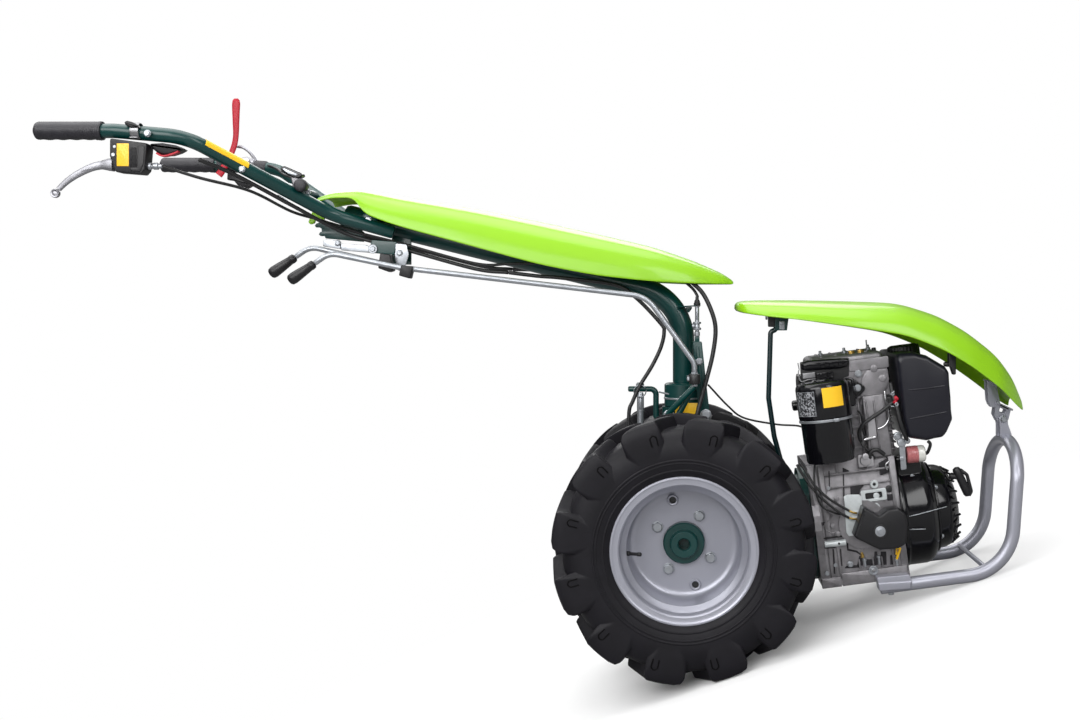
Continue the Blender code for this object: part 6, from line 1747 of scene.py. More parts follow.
def cupPart(profile, sides=48):
    # lathed along the engine's x about the filter's middle line, tipped a little nose down
    return turned(shifted(lathe(profile, "x", sides), cupMiddle), "y", 2.0, cupMiddle)


onEngine(
    "fuel_filter_element",
    cupPart(
        [(0.0152, -0.0190), (0.0170, -0.0175), (0.0172, -0.0165), (0.0172, 0.0022), (0.0166, 0.0036)]
    ),
    "redFilter", replaces=("fuel_filter",)
)
onEngine(
    "fuel_filter_shell",
    cupPart(
        [
            (0.0160, 0.0030), (0.0170, 0.0040), (0.0170, 0.0120), (0.0160, 0.0165), (0.0130, 0.0185),
            (0.0060, 0.0192)
        ]
    ),
    "clear"
)
onEngine(
    "fuel_filter_ribs",
    together(
        *[
            cupPart([(0.0172, x), (0.0177, x + 0.0005), (0.0172, x + 0.001)])
            for x in (-0.0155, -0.0110, -0.0065, -0.0020)
        ]
    ),
    "redFilter"
)


# fan cowl and recoil starter: glossy pressings lathed along the crankshaft
def cowlShape():
    r, b, f = engine["cowl"], engine["cowlBack"], engine["cowlFront"]
    profile = [
        (0.030, b), (r - 0.007, b), (r - 0.001, b + 0.0012), (r, b + 0.003), (r, b + 0.0075),
        (r - 0.003, b + 0.010), (r - 0.0045, b + 0.014), (r - 0.0045, b + 0.050), (r - 0.0065, b + 0.058),
        (r - 0.013, b + 0.066), (r - 0.022, b + 0.0715), (r - 0.0235, f - 0.001), (0.030, f)
    ]
    shell = lathe(profile, "x", 96, (0, 0, engine["cowlCentre"]))
    throat = brick((b + 0.002, -0.076, 0.060), (b + 0.056, 0.076, 0.1295), 0.007, axis="x")
    return together(shell, throat)


onEngine("cowl_shell", cowlShape(), "enamel", replaces=("fan_cowl",), crease=34)


def starterShape():
    # a stepped dome; its louvres are short bars set round the shoulder, tipped like turbine vanes
    r, b, f = engine["starter"], engine["cowlFront"] + 0.0006, engine["starterFront"]
    profile = [
        (0.020, b), (r + 0.004, b), (r + 0.0045, b + 0.0015), (r + 0.004, b + 0.0035),
        (r - 0.001, b + 0.005), (r - 0.003, b + 0.020), (r - 0.006, b + 0.028), (r - 0.012, b + 0.034),
        (0.060, f - 0.008), (0.052, f - 0.003), (0.046, f - 0.0015), (0.030, f - 0.0012),
        (0.028, f - 0.004), (0.012, f - 0.004)
    ]
    shapes = [lathe(profile, "x", 96, (0, 0, engine["cowlCentre"]))]
    for k in range(18):
        vane = brick((-0.0016, -0.0024, -0.0115), (0.0022, 0.0024, 0.0115), 0.0011, axis="y")
        vane = turned(vane, "z", 32)
        vane = turned(vane, "y", -58)
        vane = shifted(vane, (b + 0.0385, 0, 0.0735))
        shapes.append(shifted(turned(vane, "x", 360 * k / 18), (0, 0, engine["cowlCentre"])))
    return together(*shapes)


onEngine("starter_shell", starterShape(), "enamel", replaces=("recoil_starter",), crease=34)
# near-black slabs between the vanes: painted shade in the louvres' openings
louvres = []
for k in range(18):
    slot = slab(
        roundedOutline(
            [(-0.0030, -0.0105), (0.0030, -0.0105), (0.0030, 0.0105), (-0.0030, 0.0105)], 0.0025
        ),
        "x", -0.0006, 0.0009, 0.0003
    )
    slot = turned(slot, "y", -24)
    slot = shifted(slot, (engine["cowlFront"] + 0.0405, 0, 0.0700))
    louvres.append(shifted(turned(slot, "x", 360 * (k + 0.5) / 18), (0, 0, engine["cowlCentre"])))
onEngine("starter_slot_shade", together(*louvres), "sheathAndShade")
starterBolts = []
for angle in (35, 145, 215, 325):
    a = math.radians(angle)
    starterBolts.append(
        bolt(
            (
                engine["cowlFront"] + 0.0042, (engine["starter"] + 0.0010) * math.cos(a) * 0.97,
                engine["cowlCentre"] + (engine["starter"] + 0.001) * math.sin(a) * 0.97
            ),
            "x", across=0.0080, head=0.0036, washer=0.006
        )
    )
starterBolts.append(
    bolt(
        (engine["starterFront"] - 0.004, 0, engine["cowlCentre"]), "x", across=0.0100, head=0.0036,
        washer=0.0085
    )
)
cowlScrews = [
    bolt(spot("case", 1081, 98, -0.078), "-y", across=0.0066, head=0.0030),
    bolt(spot("case", 1225, 466, -0.060), "-y", across=0.0066, head=0.0030)
]
onEngine("starter_bolts", together(*starterBolts, *cowlScrews), "zinc", crease=25)
governor = together(
    tube(inSpace("case", (1062, 352, -0.112), (1130, 336, -0.118), (1300, 290, -0.108)), 0.0009, 8),
    tube(inSpace("case", (1062, 433, -0.112), (1120, 432, -0.118), (1168, 430, -0.116)), 0.0009, 8),
)
onEngine("governor_wires", governor, "zinc")


def pullHandle():
    # a moulded grip bar with a loop for two fingers, on the cord's stem
    path = inSpace(
        "case", (1350, 46, -0.078), (1378, 100, -0.078), (1410, 170, -0.078), (1436, 224, -0.078)
    )
    bar = tube(path, 0.0086, 28, 0.8)
    hoop = tube(
        rounded(
            inSpace(
                "case", (1380, 60, -0.078), (1424, 92, -0.078), (1452, 196, -0.078), (1436, 222, -0.078)
            ),
            0.008, 6
        ),
        0.0036, 16
    )
    stem = tube(inSpace("case", (1372, 104, -0.078), (1335, 100, -0.074), (1318, 104, -0.070)), 0.0062, 20)
    ferrule = tube(inSpace("case", (1340, 101, -0.074), (1322, 103, -0.071)), 0.0078, 20)
    return together(bar, hoop, stem, ferrule)


onEngine("pull_handle", pullHandle(), "plastic", replaces=("starter_handle",))

# twin control cables from the bell housing to the plate, each with a bright ferrule
twin = together(
    hose(
        "case", 34, 0.0026, 16, (386, 20, -0.085), (425, 76, -0.100), (470, 150, -0.112),
        (540, 222, -0.116), (620, 276, -0.115), (694, 318, -0.113)
    ),
    hose(
        "case", 34, 0.0026, 16, (366, 30, -0.085), (412, 106, -0.100), (470, 186, -0.113),
        (548, 262, -0.118), (622, 322, -0.117), (692, 362, -0.113)
    )
)
onEngine("control_cables", twin, "sheathAndShade")
ferrules = together(
    tube(inSpace("case", (688, 315, -0.1135), (712, 326, -0.1130), (740, 332, -0.1125)), 0.0021, 14),
    tube(inSpace("case", (686, 359, -0.1135), (712, 366, -0.1130), (738, 368, -0.1125)), 0.0021, 14)
)
onEngine("cable_ferrules", ferrules, "brass")

# silencer on the far side: end caps, seams, a perforated shield
silencer = {"x": -0.050, "y": 0.162, "z": 0.262, "radius": 0.0455, "half": 0.0622}


def silencerShape():
    drum = silencer
    r, h = drum["radius"], drum["half"]
    profile = [
        (0.010, -h + 0.004), (r - 0.014, -h + 0.0035), (r - 0.005, -h), (r, -h + 0.002), (r, -h + 0.006),
        (r - 0.002, -h + 0.008), (r - 0.002, -0.002), (r - 0.0006, -0.001), (r - 0.0006, 0.001),
        (r - 0.002, 0.002), (r - 0.002, h - 0.008), (r, h - 0.006), (r, h - 0.002), (r - 0.005, h),
        (r - 0.014, h - 0.0035), (0.010, h - 0.004)
    ]
    body = lathe(profile, "x", 72, (drum["x"], drum["y"], drum["z"]))
    neck = lathe([(0.0168, 0.0883), (0.0168, 0.1300)], "y", 36, (drum["x"], 0, drum["z"] + 0.0153))
    flange = slab(
        roundedBox((drum["x"] - 0.026, drum["z"] - 0.004), (drum["x"] + 0.026, drum["z"] + 0.036), 0.008),
        "y", 0.0883, 0.0950, 0.001
    )
    pipe = tube(
        rounded(
            [
                (drum["x"] - h + 0.010, drum["y"], drum["z"] - 0.023),
                (drum["x"] - h - 0.0175, drum["y"], drum["z"] - 0.0232)
            ],
            0.01, 5
        ),
        0.0118, 32
    )
    return together(body, neck, flange, pipe)


onEngine("silencer_shell", silencerShape(), "enamel", replaces=("muffler",), crease=34)
print("engine")


# painted shade of the castings' recesses on the near face, each a thin dark patch on the face it sinks from
level0, level1, level2 = caseFace, caseFace - 0.0036, caseFace - 0.0058
castShades = [
    (level0, -0.1, (565, 402), (720, 392), (676, 446), (664, 498), (566, 502)),
    (level0, -0.1, (975, 500), (1040, 494), (1040, 566), (980, 572)),
    (level0, -0.1, (1066, 236), (1084, 236), (1112, 640), (1090, 640)),
    (level0, -0.1, (476, 196), (560, 236), (520, 262), (480, 262)),
    (level0, -0.1, (880, 150), (1010, 70), (1040, 236), (900, 284)),
    (level0, -0.1, (480, 262), (494, 262), (500, 560), (486, 560)),
    (
        level0, -0.1, (486, 980), (534, 990), (546, 1110), (640, 1130), (700, 1180), (700, 1196),
        (630, 1150), (530, 1130), (510, 1010), (486, 1000)
    ),
    (level0, -0.1, (664, 1190), (718, 1190), (724, 1296), (640, 1300)),
    (level0, -0.1, (744, 1226), (828, 1226), (836, 1140), (866, 1140), (870, 1290), (744, 1296)),
    (level0, -0.1, (904, 1140), (966, 1140), (972, 1288), (906, 1292)),
    (level0, -0.1, (1010, 1180), (1060, 1180), (1062, 1284), (1012, 1288)),
    (level0, -0.1, (520, 1300), (660, 1290), (700, 1318), (496, 1330)),
    (level2, -0.104, (318, 236), (330, 236), (338, 456), (324, 456)),
    (level2, -0.104, (212, 820), (280, 806), (284, 836), (250, 850), (262, 986), (230, 990)),
    (level2, -0.104, (262, 984), (520, 950), (520, 968), (264, 1004)),
    (level2, -0.104, (268, 1086), (400, 1084), (400, 1100), (270, 1106)),
    (level2, -0.104, (366, 1110), (380, 1110), (396, 1390), (380, 1390)),
    (level1, -0.102, (448, 1110), (460, 1110), (476, 1300), (462, 1300))
]
onEngine(
    "case_painted_shade",
    together(
        *[
            pad(onPlane("casting", plane, *corners), y, 0.0004, 0.0012, 0.0001, low=-0.0006, steps=3)
            for y, plane, *corners in castShades
        ]
    ),
    "castShade"
)

# cooling fins between the cylinder and the tank, on a core that is a little narrower, and a dark
# sheet behind the guard and its strap, painted shade
finBlock = [brick((0.020, -0.072, 0.140), (0.0480, 0.072, 0.2600), 0.003, axis="z")]
for k in range(9):
    finBlock.append(
        brick(
            (0.012, -0.0790, 0.146 + 0.0128 * k), (0.0520, 0.0790, 0.1490 + 0.0128 * k), 0.0010, axis="z"
        )
    )
onEngine("cylinder_fins", together(*finBlock), "aluminium", crease=30)
# a near-black sheet: painted shade behind the guard and its strap
headShadeSheet = pad(
    onPlane("head", -0.09, (384, 200), (690, 172), (690, 286), (600, 322), (392, 330)), -0.0885, 0.0016,
    0.003, 0.0004
)
onEngine("head_painted_shade", headShadeSheet, "sheathAndShade")


# linkages at the column's foot


def flat(points, low, high, edge=0.001, corner=0.002):
    # a plate across the machine from its side outline
    return slab(roundedOutline(points, corner, 4), "y", low, high, edge)


def turnedPart(profile, middle, axis="z", steps=24):
    return lathe(profile, axis, steps, middle)


clutch = {"x": 0.0274, "y": -0.044, "top": 0.3977, "bracket": 0.471}
armPlate = flat(
    [(0.0375, 0.166), (0.0625, 0.166), (0.0369, clutch["top"]), (0.0179, clutch["top"])], -0.0500,
    -0.0372, 0.0014, 0.003
)
armRib = flat(
    [(0.0455, 0.180), (0.0520, 0.180), (0.0310, 0.388), (0.0245, 0.388)], -0.0512, -0.0495, 0.0006, 0.002
)
armStem = brick(
    (clutch["x"] - 0.005, -0.0475, clutch["top"] - 0.002), (clutch["x"] + 0.005, -0.0405, 0.4085), 0.001
)
piece("clutch_arm_shell", together(armPlate, armRib, armStem), "green", "chassis", replaces=("clutch_arm",))
armBolts = together(
    bolt(spot("whole", 699, 361.7, -0.051), "-y", 0.011, 0.004, 0.0075),
    bolt(spot("whole", 705.7, 414.8, -0.051), "-y", 0.017, 0.007, 0.0115),
    bolt(spot("whole", 668.8, 415.4, -0.046), "-y", 0.017, 0.007, 0.0115)
)
piece("clutch_arm_bolts", armBolts, "zinc", "chassis", crease=25)
boss = turnedPart([(0.014, -0.047), (0.014, -0.020)], spot("whole", 668.8, 415.4, 0.0), "y", 32)
piece("turret_boss", boss, "green", "chassis")

onLink = (clutch["x"], clutch["y"], 0.0)
linkProfile = [
    (0.0052, 0.4087), (0.0058, 0.4095), (0.0058, 0.4160), (0.0040, 0.4195), (0.0040, 0.4210),
    (0.0080, 0.4214), (0.0083, 0.4222), (0.0083, 0.4256), (0.0055, 0.4268), (0.0052, 0.4330),
    (0.0083, 0.4342), (0.0083, 0.4376), (0.0046, 0.4384), (0.0044, 0.4400), (0.0044, 0.4685),
    (0.0062, 0.4690), (0.0062, 0.4702)
]
linkSide = bolt((clutch["x"] - 0.0062, clutch["y"], 0.4300), "-x", 0.008, 0.005)
groove = brick(
    (clutch["x"] - 0.0016, clutch["y"] - 0.0052, 0.4420),
    (clutch["x"] + 0.0014, clutch["y"] - 0.0035, 0.4660), 0.0005
)
piece(
    "clutch_turnbuckle", together(turnedPart(linkProfile, onLink), linkSide, groove), "zinc", "column",
    replaces=("clutch_link",), crease=25
)
capProfile = [
    (0.0066, 0.4704), (0.0070, 0.4712), (0.0070, 0.4765), (0.0058, 0.4780), (0.0056, 0.4810),
    (0.0036, 0.4835), (0.0034, 0.4900)
]
piece("clutch_adjuster", turnedPart(capProfile, onLink), "sheathAndShade", "column")
holder = carried(
    rounded(
        [
            (-0.0185, -0.006, 0.466), (0.004, -0.034, 0.4695),
            (clutch["x"], clutch["y"], clutch["bracket"])
        ],
        0.02
    ),
    [(-0.007, -0.001), (0.007, -0.001), (0.007, 0.001), (-0.007, 0.001)]
)
web = flat([(0.020, 0.4690), (0.002, 0.4675), (0.010, 0.455)], -0.0215, -0.0190, 0.0005, 0.003)
piece("cable_holder", together(holder, web), "green", "column")

lock = {"rear": -0.1157, "x": -0.0575, "foot": 0.235, "top": 0.2976, "tube": 0.006, "pinX": -0.0907}
stay = rounded(
    [
        (-0.040, 0, lock["foot"]), (lock["x"], 0, lock["foot"]), (lock["x"], 0, lock["top"]),
        (lock["rear"], 0, lock["top"])
    ],
    0.012, 8
)
piece("lock_stay", tube(stay, lock["tube"], 20, 0.5), "green", "chassis", replaces=("lock_bracket",))
pinTop = lock["top"] + lock["tube"]
pin = turnedPart(
    [
        (0.0078, pinTop + 0.0004), (0.0085, pinTop + 0.0010), (0.0085, pinTop + 0.0045),
        (0.0060, pinTop + 0.0075)
    ],
    (lock["pinX"], 0, 0)
)
lower = turnedPart(
    [(0.0066, 0.1200), (0.0066, 0.2500), (0.0074, 0.2510), (0.0074, 0.2840), (0.0055, 0.2905)],
    (lock["pinX"] + 0.0008, 0, 0)
)
slot = brick((lock["pinX"] - 0.001, -0.0085, 0.2560), (lock["pinX"] + 0.003, -0.0065, 0.2790), 0.0006)
turns = np.linspace(0.5, 2 * math.pi + 0.1, 30)
ringPath = np.stack(
    [
        lock["pinX"] + 0.0125 * np.cos(turns), -0.0095 - 0.002 * np.sin(turns),
        0.2935 + 0.0125 * np.sin(turns)
    ],
    axis=1
)
thinRod = tube(inSpace("whole", (659, 392, -0.012), (686, 398, -0.0445)), 0.0019, 12)
piece(
    "lock_pin", together(pin, lower, slot, tube(ringPath, 0.0012, 10), thinRod), "zinc", "chassis",
    replaces=("lock_rod",), crease=30
)

plate = {"low": (-0.0177, -0.0475, 0.2493), "high": (0.0287, -0.0460, 0.2718)}
piece("turret_label", brick(plate["low"], plate["high"], 0.0003, 0.001, "y"), "yellow", "chassis")
seamAt = 0.2790
seam = turnedPart(
    [
        (0.0404, seamAt - 0.0022), (0.0412, seamAt - 0.0014), (0.0412, seamAt + 0.0014),
        (0.0404, seamAt + 0.0022)
    ],
    (0, 0, 0), "z", 48
)
piece("collar_seam", seam, "zinc", "column")

# back and rise are what a share of 1 along a rod measures, to the rear and up
rods = {"radius": 0.0055, "bend": 0.0633, "bootTop": 0.335, "back": 0.705, "rise": 0.660, "drop": 0.059}
knobLength = 0.079
rodShares = [(1.076, 0.895), (0.811, 0.830), (0.107, 0.742), (-0.0305, 0.5386)]
knobProfile = [
    (0.0, 0.0060), (0.002, 0.0085), (0.007, 0.0092), (0.009, 0.0092), (0.011, 0.0086), (0.024, 0.0098),
    (0.040, 0.0113), (0.052, 0.0119), (0.058, 0.0108), (0.0608, 0.0080), (0.062, 0.0040)
]
for name, side, ahead, back, out in (
    ("speed", -0.070, 0.0, 0.032, -0.064), ("range", -0.096, 0.046, 0.055, -0.066)
):
    run = [(-x * rods["back"], side, z * rods["rise"]) for x, z in rodShares]
    head = np.array(run[0]) + (ahead, 0, -ahead * 0.3)
    knobAt = head - (knobLength * rods["back"], 0, rods["drop"] * rods["rise"])
    toward = (knobAt - head) / np.linalg.norm(knobAt - head)
    root = knobAt - toward * 0.031
    path = rounded(
        [root - toward * 0.001, head, run[1], run[2], run[3], (run[3][0], side, rods["bootTop"])],
        rods["bend"], 10
    )
    piece(
        "gear_rod_shell_" + name, tube(path, rods["radius"], 20), "zinc", "column",
        replaces=("gear_rod_" + name,)
    )
    along = np.array([root + toward * step for step, wide in knobProfile])
    knob = carried(along, circle(1.0, 28), scale=[wide for step, wide in knobProfile])
    piece("gear_knob_shell_" + name, knob, "plastic", "column", replaces=("gear_knob_" + name,), crease=50)
    bootAt = (run[3][0], side, 0)
    bootShape = turnedPart(
        [
            (0.0070, 0.3125), (0.0108, 0.3140), (0.0118, 0.3190), (0.0118, 0.3290), (0.0105, 0.3325),
            (0.0062, 0.3338)
        ],
        bootAt
    )
    piece("selector_boot_" + name, bootShape, "sheathAndShade", "chassis")
    nuts = together(
        bolt((run[3][0], side, 0.3336), "z", 0.013, 0.004),
        bolt((run[3][0], side, 0.3128), "-z", 0.012, 0.005),
        bolt((run[3][0] - 0.0112, side, 0.3240), "-x", 0.010, 0.005)
    )
    piece("selector_nuts_" + name, nuts, "zinc", "chassis", crease=25)
    stem = rounded(
        [(run[3][0], side, 0.309), (run[3][0] - back, out, 0.250), (run[3][0] - back, out, 0.122)], 0.02,
        6
    )
    piece(
        "selector_stem_" + name, tube(stem, 0.006, 20), "green", "chassis", replaces=("selector_" + name,)
    )


# cables: each is one tube along a curve through the frame's own places for it

cableRuns = {
    "clutch": (
        0.0030,
        [
            (-0.9987, -0.300, 0.7311), (-0.9747, -0.300, 0.7311), (-0.9102, -0.270, 0.7112),
            (-0.8389, -0.2001, 0.6928), (-0.7822, -0.120, 0.6591), (-0.7371, -0.075, 0.6448),
            (-0.6655, -0.048, 0.6204), (-0.5824, -0.0399, 0.5993), (-0.430, -0.0321, 0.558),
            (-0.3603, -0.036, 0.557), (-0.300, -0.036, 0.559), (-0.2397, -0.036, 0.5597),
            (-0.1798, -0.036, 0.5577), (-0.1001, -0.036, 0.5577), (-0.0303, -0.0381, 0.5399),
            (0.012, -0.039, 0.5122), (0.0274, -0.044, 0.4923), (0.0274, -0.044, 0.4850)
        ]
    ),
    "brake": (
        0.0040,
        [
            (-0.9123, -0.270, 0.7458), (-0.8601, -0.2181, 0.7214), (-0.7797, -0.1401, 0.6719),
            (-0.7001, -0.0639, 0.6234), (-0.6401, -0.0501, 0.6032), (-0.5802, -0.042, 0.5887),
            (-0.430, -0.0339, 0.5471), (-0.3603, -0.0339, 0.5392)
        ]
    ),
    "brake_foot": (
        0.0040,
        [
            (-0.3600, -0.0339, 0.5392), (-0.3003, -0.0339, 0.532), (-0.2503, -0.033, 0.528),
            (-0.1435, -0.030, 0.5144), (-0.0985, -0.030, 0.4876), (-0.0472, -0.030, 0.4341),
            (-0.0404, -0.030, 0.4161), (-0.0472, -0.030, 0.3848), (-0.0652, -0.030, 0.3469),
            (-0.0899, -0.030, 0.3067), (-0.1053, -0.030, 0.2731), (-0.1126, -0.030, 0.2508),
            (-0.1128, -0.030, 0.1782), (-0.1057, -0.030, 0.1122)
        ]
    ),
    "throttle": (
        0.0036,
        [
            (-0.9299, 0.270, 0.7557), (-0.8601, 0.2049, 0.725), (-0.7797, 0.1299, 0.675),
            (-0.7001, 0.069, 0.628), (-0.6401, 0.0501, 0.609), (-0.5802, 0.042, 0.595),
            (-0.430, 0.0339, 0.555), (-0.3603, 0.0339, 0.5479)
        ]
    ),
    "throttle_foot": (
        0.0045,
        [
            (-0.3600, 0.0339, 0.5479), (-0.2503, 0.0351, 0.5478), (-0.1502, 0.0321, 0.5597),
            (-0.0797, 0.0, 0.565), (-0.0197, -0.0351, 0.5478), (0.0194, -0.0549, 0.5163),
            (0.0415, -0.057, 0.492), (0.0592, -0.060, 0.4522), (0.0648, -0.060, 0.4189),
            (0.0592, -0.060, 0.3726), (0.0472, -0.0621, 0.3238), (0.0282, -0.0669, 0.2541),
            (0.0183, -0.066, 0.198), (0.0141, -0.0651, 0.132)
        ]
    ),
    "engine": (
        0.0020,
        [
            (0.0497, -0.0395, 0.309), (0.0916, -0.0201, 0.2637), (0.126, 0.0, 0.2372),
            (0.195, 0.0201, 0.222), (0.245, 0.0, 0.219), (0.262, -0.048, 0.2013), (0.263, -0.0951, 0.169),
            (0.2601, -0.1161, 0.1221), (0.2714, -0.120, 0.0759), (0.2961, -0.117, 0.0594),
            (0.3137, -0.1029, 0.0528)
        ]
    )
}
heightBend = inWorld([(-0.70, 0, 0.66), (-0.58, 0, 0.63)])
swingBend = inWorld([(0, 0, 0.50), (0, 0, 0.33)])
for name, (radius, places) in cableRuns.items():
    cadName = name.replace("_foot", "") + "_cable" + ("_foot" if "foot" in name else "")
    made = piece(
        cadName + "_sheath", tube(spline(places, len(places) * 12), radius, 16), "sheathAndShade", "chassis"
        if name == "engine" else None, replaces=(cadName,), crease=60
    )
    if name == "engine":
        continue
    lower = "chassis" if "foot" in name else "column"
    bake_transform(made)
print("column's foot, gear rods and cables")


# what is clamped on the handlebars


def barAt(back, side=-1):
    # the bar's middle line, that far behind the axle
    share = (back - bars["rootX"]) / (bars["reach"] - bars["rootX"])
    up = np.interp(share, [row[0] for row in barShares], [row[1] for row in barShares])
    out = np.interp(share, [row[0] for row in barShares], [row[2] for row in barShares])
    y = bars["rootSpread"] + out * (bars["spread"] / 2 - bars["rootSpread"])
    return np.array((-back, side * y, bars["rootZ"] + up * (bars["height"] - bars["rootZ"])))


def onBars(name, shape, finish, **rest):
    return piece(name, shape, finish, "handlebars", **rest)


near = -bars["spread"] / 2
boxOutline = onPlane(
    "switch", -0.318, (1075, 338), (1522, 398), (1510, 560), (1496, 720), (1452, 772), (1152, 748),
    (1122, 712), (1073, 552)
)
low, high = near - 0.0160, near + 0.018
boxBody = flat(boxOutline, low, high, 0.0022, 0.004)
boxRidges = []
seamRim = flat(
    onPlane(
        "switch", -0.3185, (1420, 420), (1495, 430), (1484, 640), (1440, 742), (1330, 735), (1326, 700),
        (1408, 690)
    ),
    low - 0.0012, low + 0.0005, 0.0006, 0.003
)
onBars("switch_box_shell", together(boxBody, seamRim), "plastic", replaces=("switch_box",))
for k in range(6):
    x = onPlane("switch", -0.3185, (1322, 600))[0][0] + k * 0.0021
    boxRidges.append(
        brick(
            (x, low - 0.0009, onPlane("switch", -0.3185, (1322, 690))[0][1]),
            (x + 0.0010, low + 0.0004, onPlane("switch", -0.3185, (1322, 450))[0][1]), 0.0003, 0.0004, "y"
        )
    )
onBars("switch_box_ribs", together(*boxRidges), "plastic")
onBars(
    "switch_label",
    flat(
        onPlane("switch", -0.319, (1158, 402), (1304, 402), (1304, 676), (1158, 676)), low - 0.0006,
        low + 0.0002, 0.0002, 0.0012
    ),
    "yellow"
)
onBars(
    "switch_screws",
    together(
        bolt(spot("switch", 1138, 443, -0.3155), "-y", 0.0052, 0.0018, 0.0),
        bolt(spot("switch", 1122, 540, -0.3155), "-y", 0.0066, 0.0020, 0.0)
    ),
    "zinc", crease=25
)
clampX = spot("switch", 1371, 280, -0.314)[0]
clampProfile = [
    (0.0136, -0.0080), (0.0149, -0.0078), (0.0151, -0.0066), (0.0151, 0.0066), (0.0149, 0.0078),
    (0.0136, 0.0080)
]
clampBand = lathe([(r, clampX + x) for r, x in clampProfile], "x", 40, (0, near, bars["height"]), ring=True)
clampLug = brick(
    (clampX - 0.0078, near - 0.0152, bars["height"] - 0.0150),
    (clampX + 0.0078, near + 0.010, bars["height"] - 0.0125), 0.0008
)
onBars("clamp_band", together(clampBand, clampLug), "steel")
thumb = flat(
    onPlane(
        "switch", -0.31, (1268, 152), (1300, 132), (1362, 148), (1432, 188), (1450, 222), (1340, 222),
        (1284, 186)
    ),
    -0.317, -0.301, 0.003, 0.004
)
onBars("thumb_tab", thumb, "plastic")
barBolts = [
    bolt(spot("whole", 147.5, 133.5, -0.3128), "-y", 0.0095, 0.0036, 0.0066),
    bolt(spot("whole", 242, 169, -0.2225), "-y", 0.0095, 0.0036, 0.0066),
    bolt(spot("whole", 308, 192, -0.118), "-y", 0.009, 0.0036, 0.0062)
]
onBars("bar_bolts", together(*barBolts), "zinc", crease=25)

# the clutch lever is a forging: broad and flat at its root, thinner towards a ring at its tip
leverLine = inSpace(
    "switch", (1130, 662, -0.300), (1060, 662, -0.300), (960, 668, -0.300), (860, 690, -0.300),
    (760, 730, -0.300), (650, 788, -0.300), (550, 852, -0.300), (470, 920, -0.300), (405, 985, -0.300)
)
leverWide = np.interp(
    np.linspace(0, 1, 40), [0, 0.08, 0.2, 0.45, 0.75, 1.0],
    [0.0125, 0.0112, 0.0078, 0.0068, 0.0058, 0.0048]
)
section = [
    (
        0.0052 * math.copysign(abs(math.cos(t)) ** 0.6, math.cos(t)) / 0.0068,
        math.copysign(abs(math.sin(t)) ** 0.6, math.sin(t))
    )
    for t in np.linspace(0, 2 * math.pi, 24, endpoint=False)
]
# shortened a little towards its root, so that the ring stays within the frame's box
leverReach = 0.915
root = np.array(leverLine[0])
lever = carried(
    spline([root + (np.array(p) - root) * leverReach for p in leverLine], 40), section, scale=leverWide
)
tipAt = tuple(root + (np.array(spot("switch", 362, 1038, -0.300)) - root) * leverReach)
tipRing = lathe(
    [
        (0.0048, -0.0035), (0.0074, -0.0042), (0.0084, -0.0025), (0.0084, 0.0025), (0.0074, 0.0042),
        (0.0048, 0.0035)
    ],
    "y", 32, tipAt, ring=True
)
tipBall = lathe(
    [(0.0001, -0.0030), (0.0040, -0.0026), (0.0054, 0.0), (0.0040, 0.0026), (0.0001, 0.0030)], "y", 24,
    tipAt
)
groove = carried(
    spline(inSpace("switch", (850, 712, -0.3052), (790, 722, -0.3055), (740, 742, -0.3052)), 12),
    circle(0.0009, 8)
)
onBars(
    "clutch_lever_shell", together(lever, tipRing, tipBall, groove), "lever", replaces=("clutch_lever",),
    crease=50
)

cableEnd = [
    (0.0045, -1.0085), (0.0072, -1.0080), (0.0072, -1.0020), (0.0042, -1.0015), (0.0040, -0.9960),
    (0.0062, -0.9950), (0.0068, -0.9930), (0.0062, -0.9890), (0.0046, -0.9880), (0.0046, -0.9855),
    (0.0066, -0.9845), (0.0066, -0.9765), (0.0044, -0.9750), (0.0040, -0.9700), (0.0031, -0.9690)
]
onBars("cable_adjuster", lathe(cableEnd, "x", 24, (0, near, 0.7300)), "zinc", crease=25)
throttle = flat(
    onPlane(
        "bars", -0.302, (338, 336), (352, 364), (388, 394), (424, 410), (470, 408), (520, 392),
        (560, 370), (500, 345), (420, 332)
    ),
    -0.303, -0.274, 0.005, 0.006
)
onBars("throttle_shell", throttle, "plastic", replaces=("throttle_lever",))
trigger = spline(
    inSpace(
        "bars", (392, 398, -0.301), (424, 415, -0.301), (460, 413, -0.301), (496, 402, -0.301),
        (528, 388, -0.301)
    ),
    16
)
onBars(
    "throttle_trigger",
    carried(trigger, [(0.007, -0.0016), (0.007, 0.0016), (-0.004, 0.0016), (-0.004, -0.0016)]), "red"
)
# a label wrapped round the bar's near upper side: radius (sin a, cos a) from a = 14 to 92 degrees
stripLine = [barAt(back) for back in (0.908, 0.888, 0.868, 0.846)]
wrapTurns = np.radians(np.linspace(92, 14, 9))
stripWrap = [(0.0143 * math.sin(a), 0.0143 * math.cos(a)) for a in wrapTurns] + [
    (0.0130 * math.sin(a), 0.0130 * math.cos(a)) for a in wrapTurns[::-1]
]
onBars("bar_label", carried(np.array(stripLine), stripWrap), "yellow")

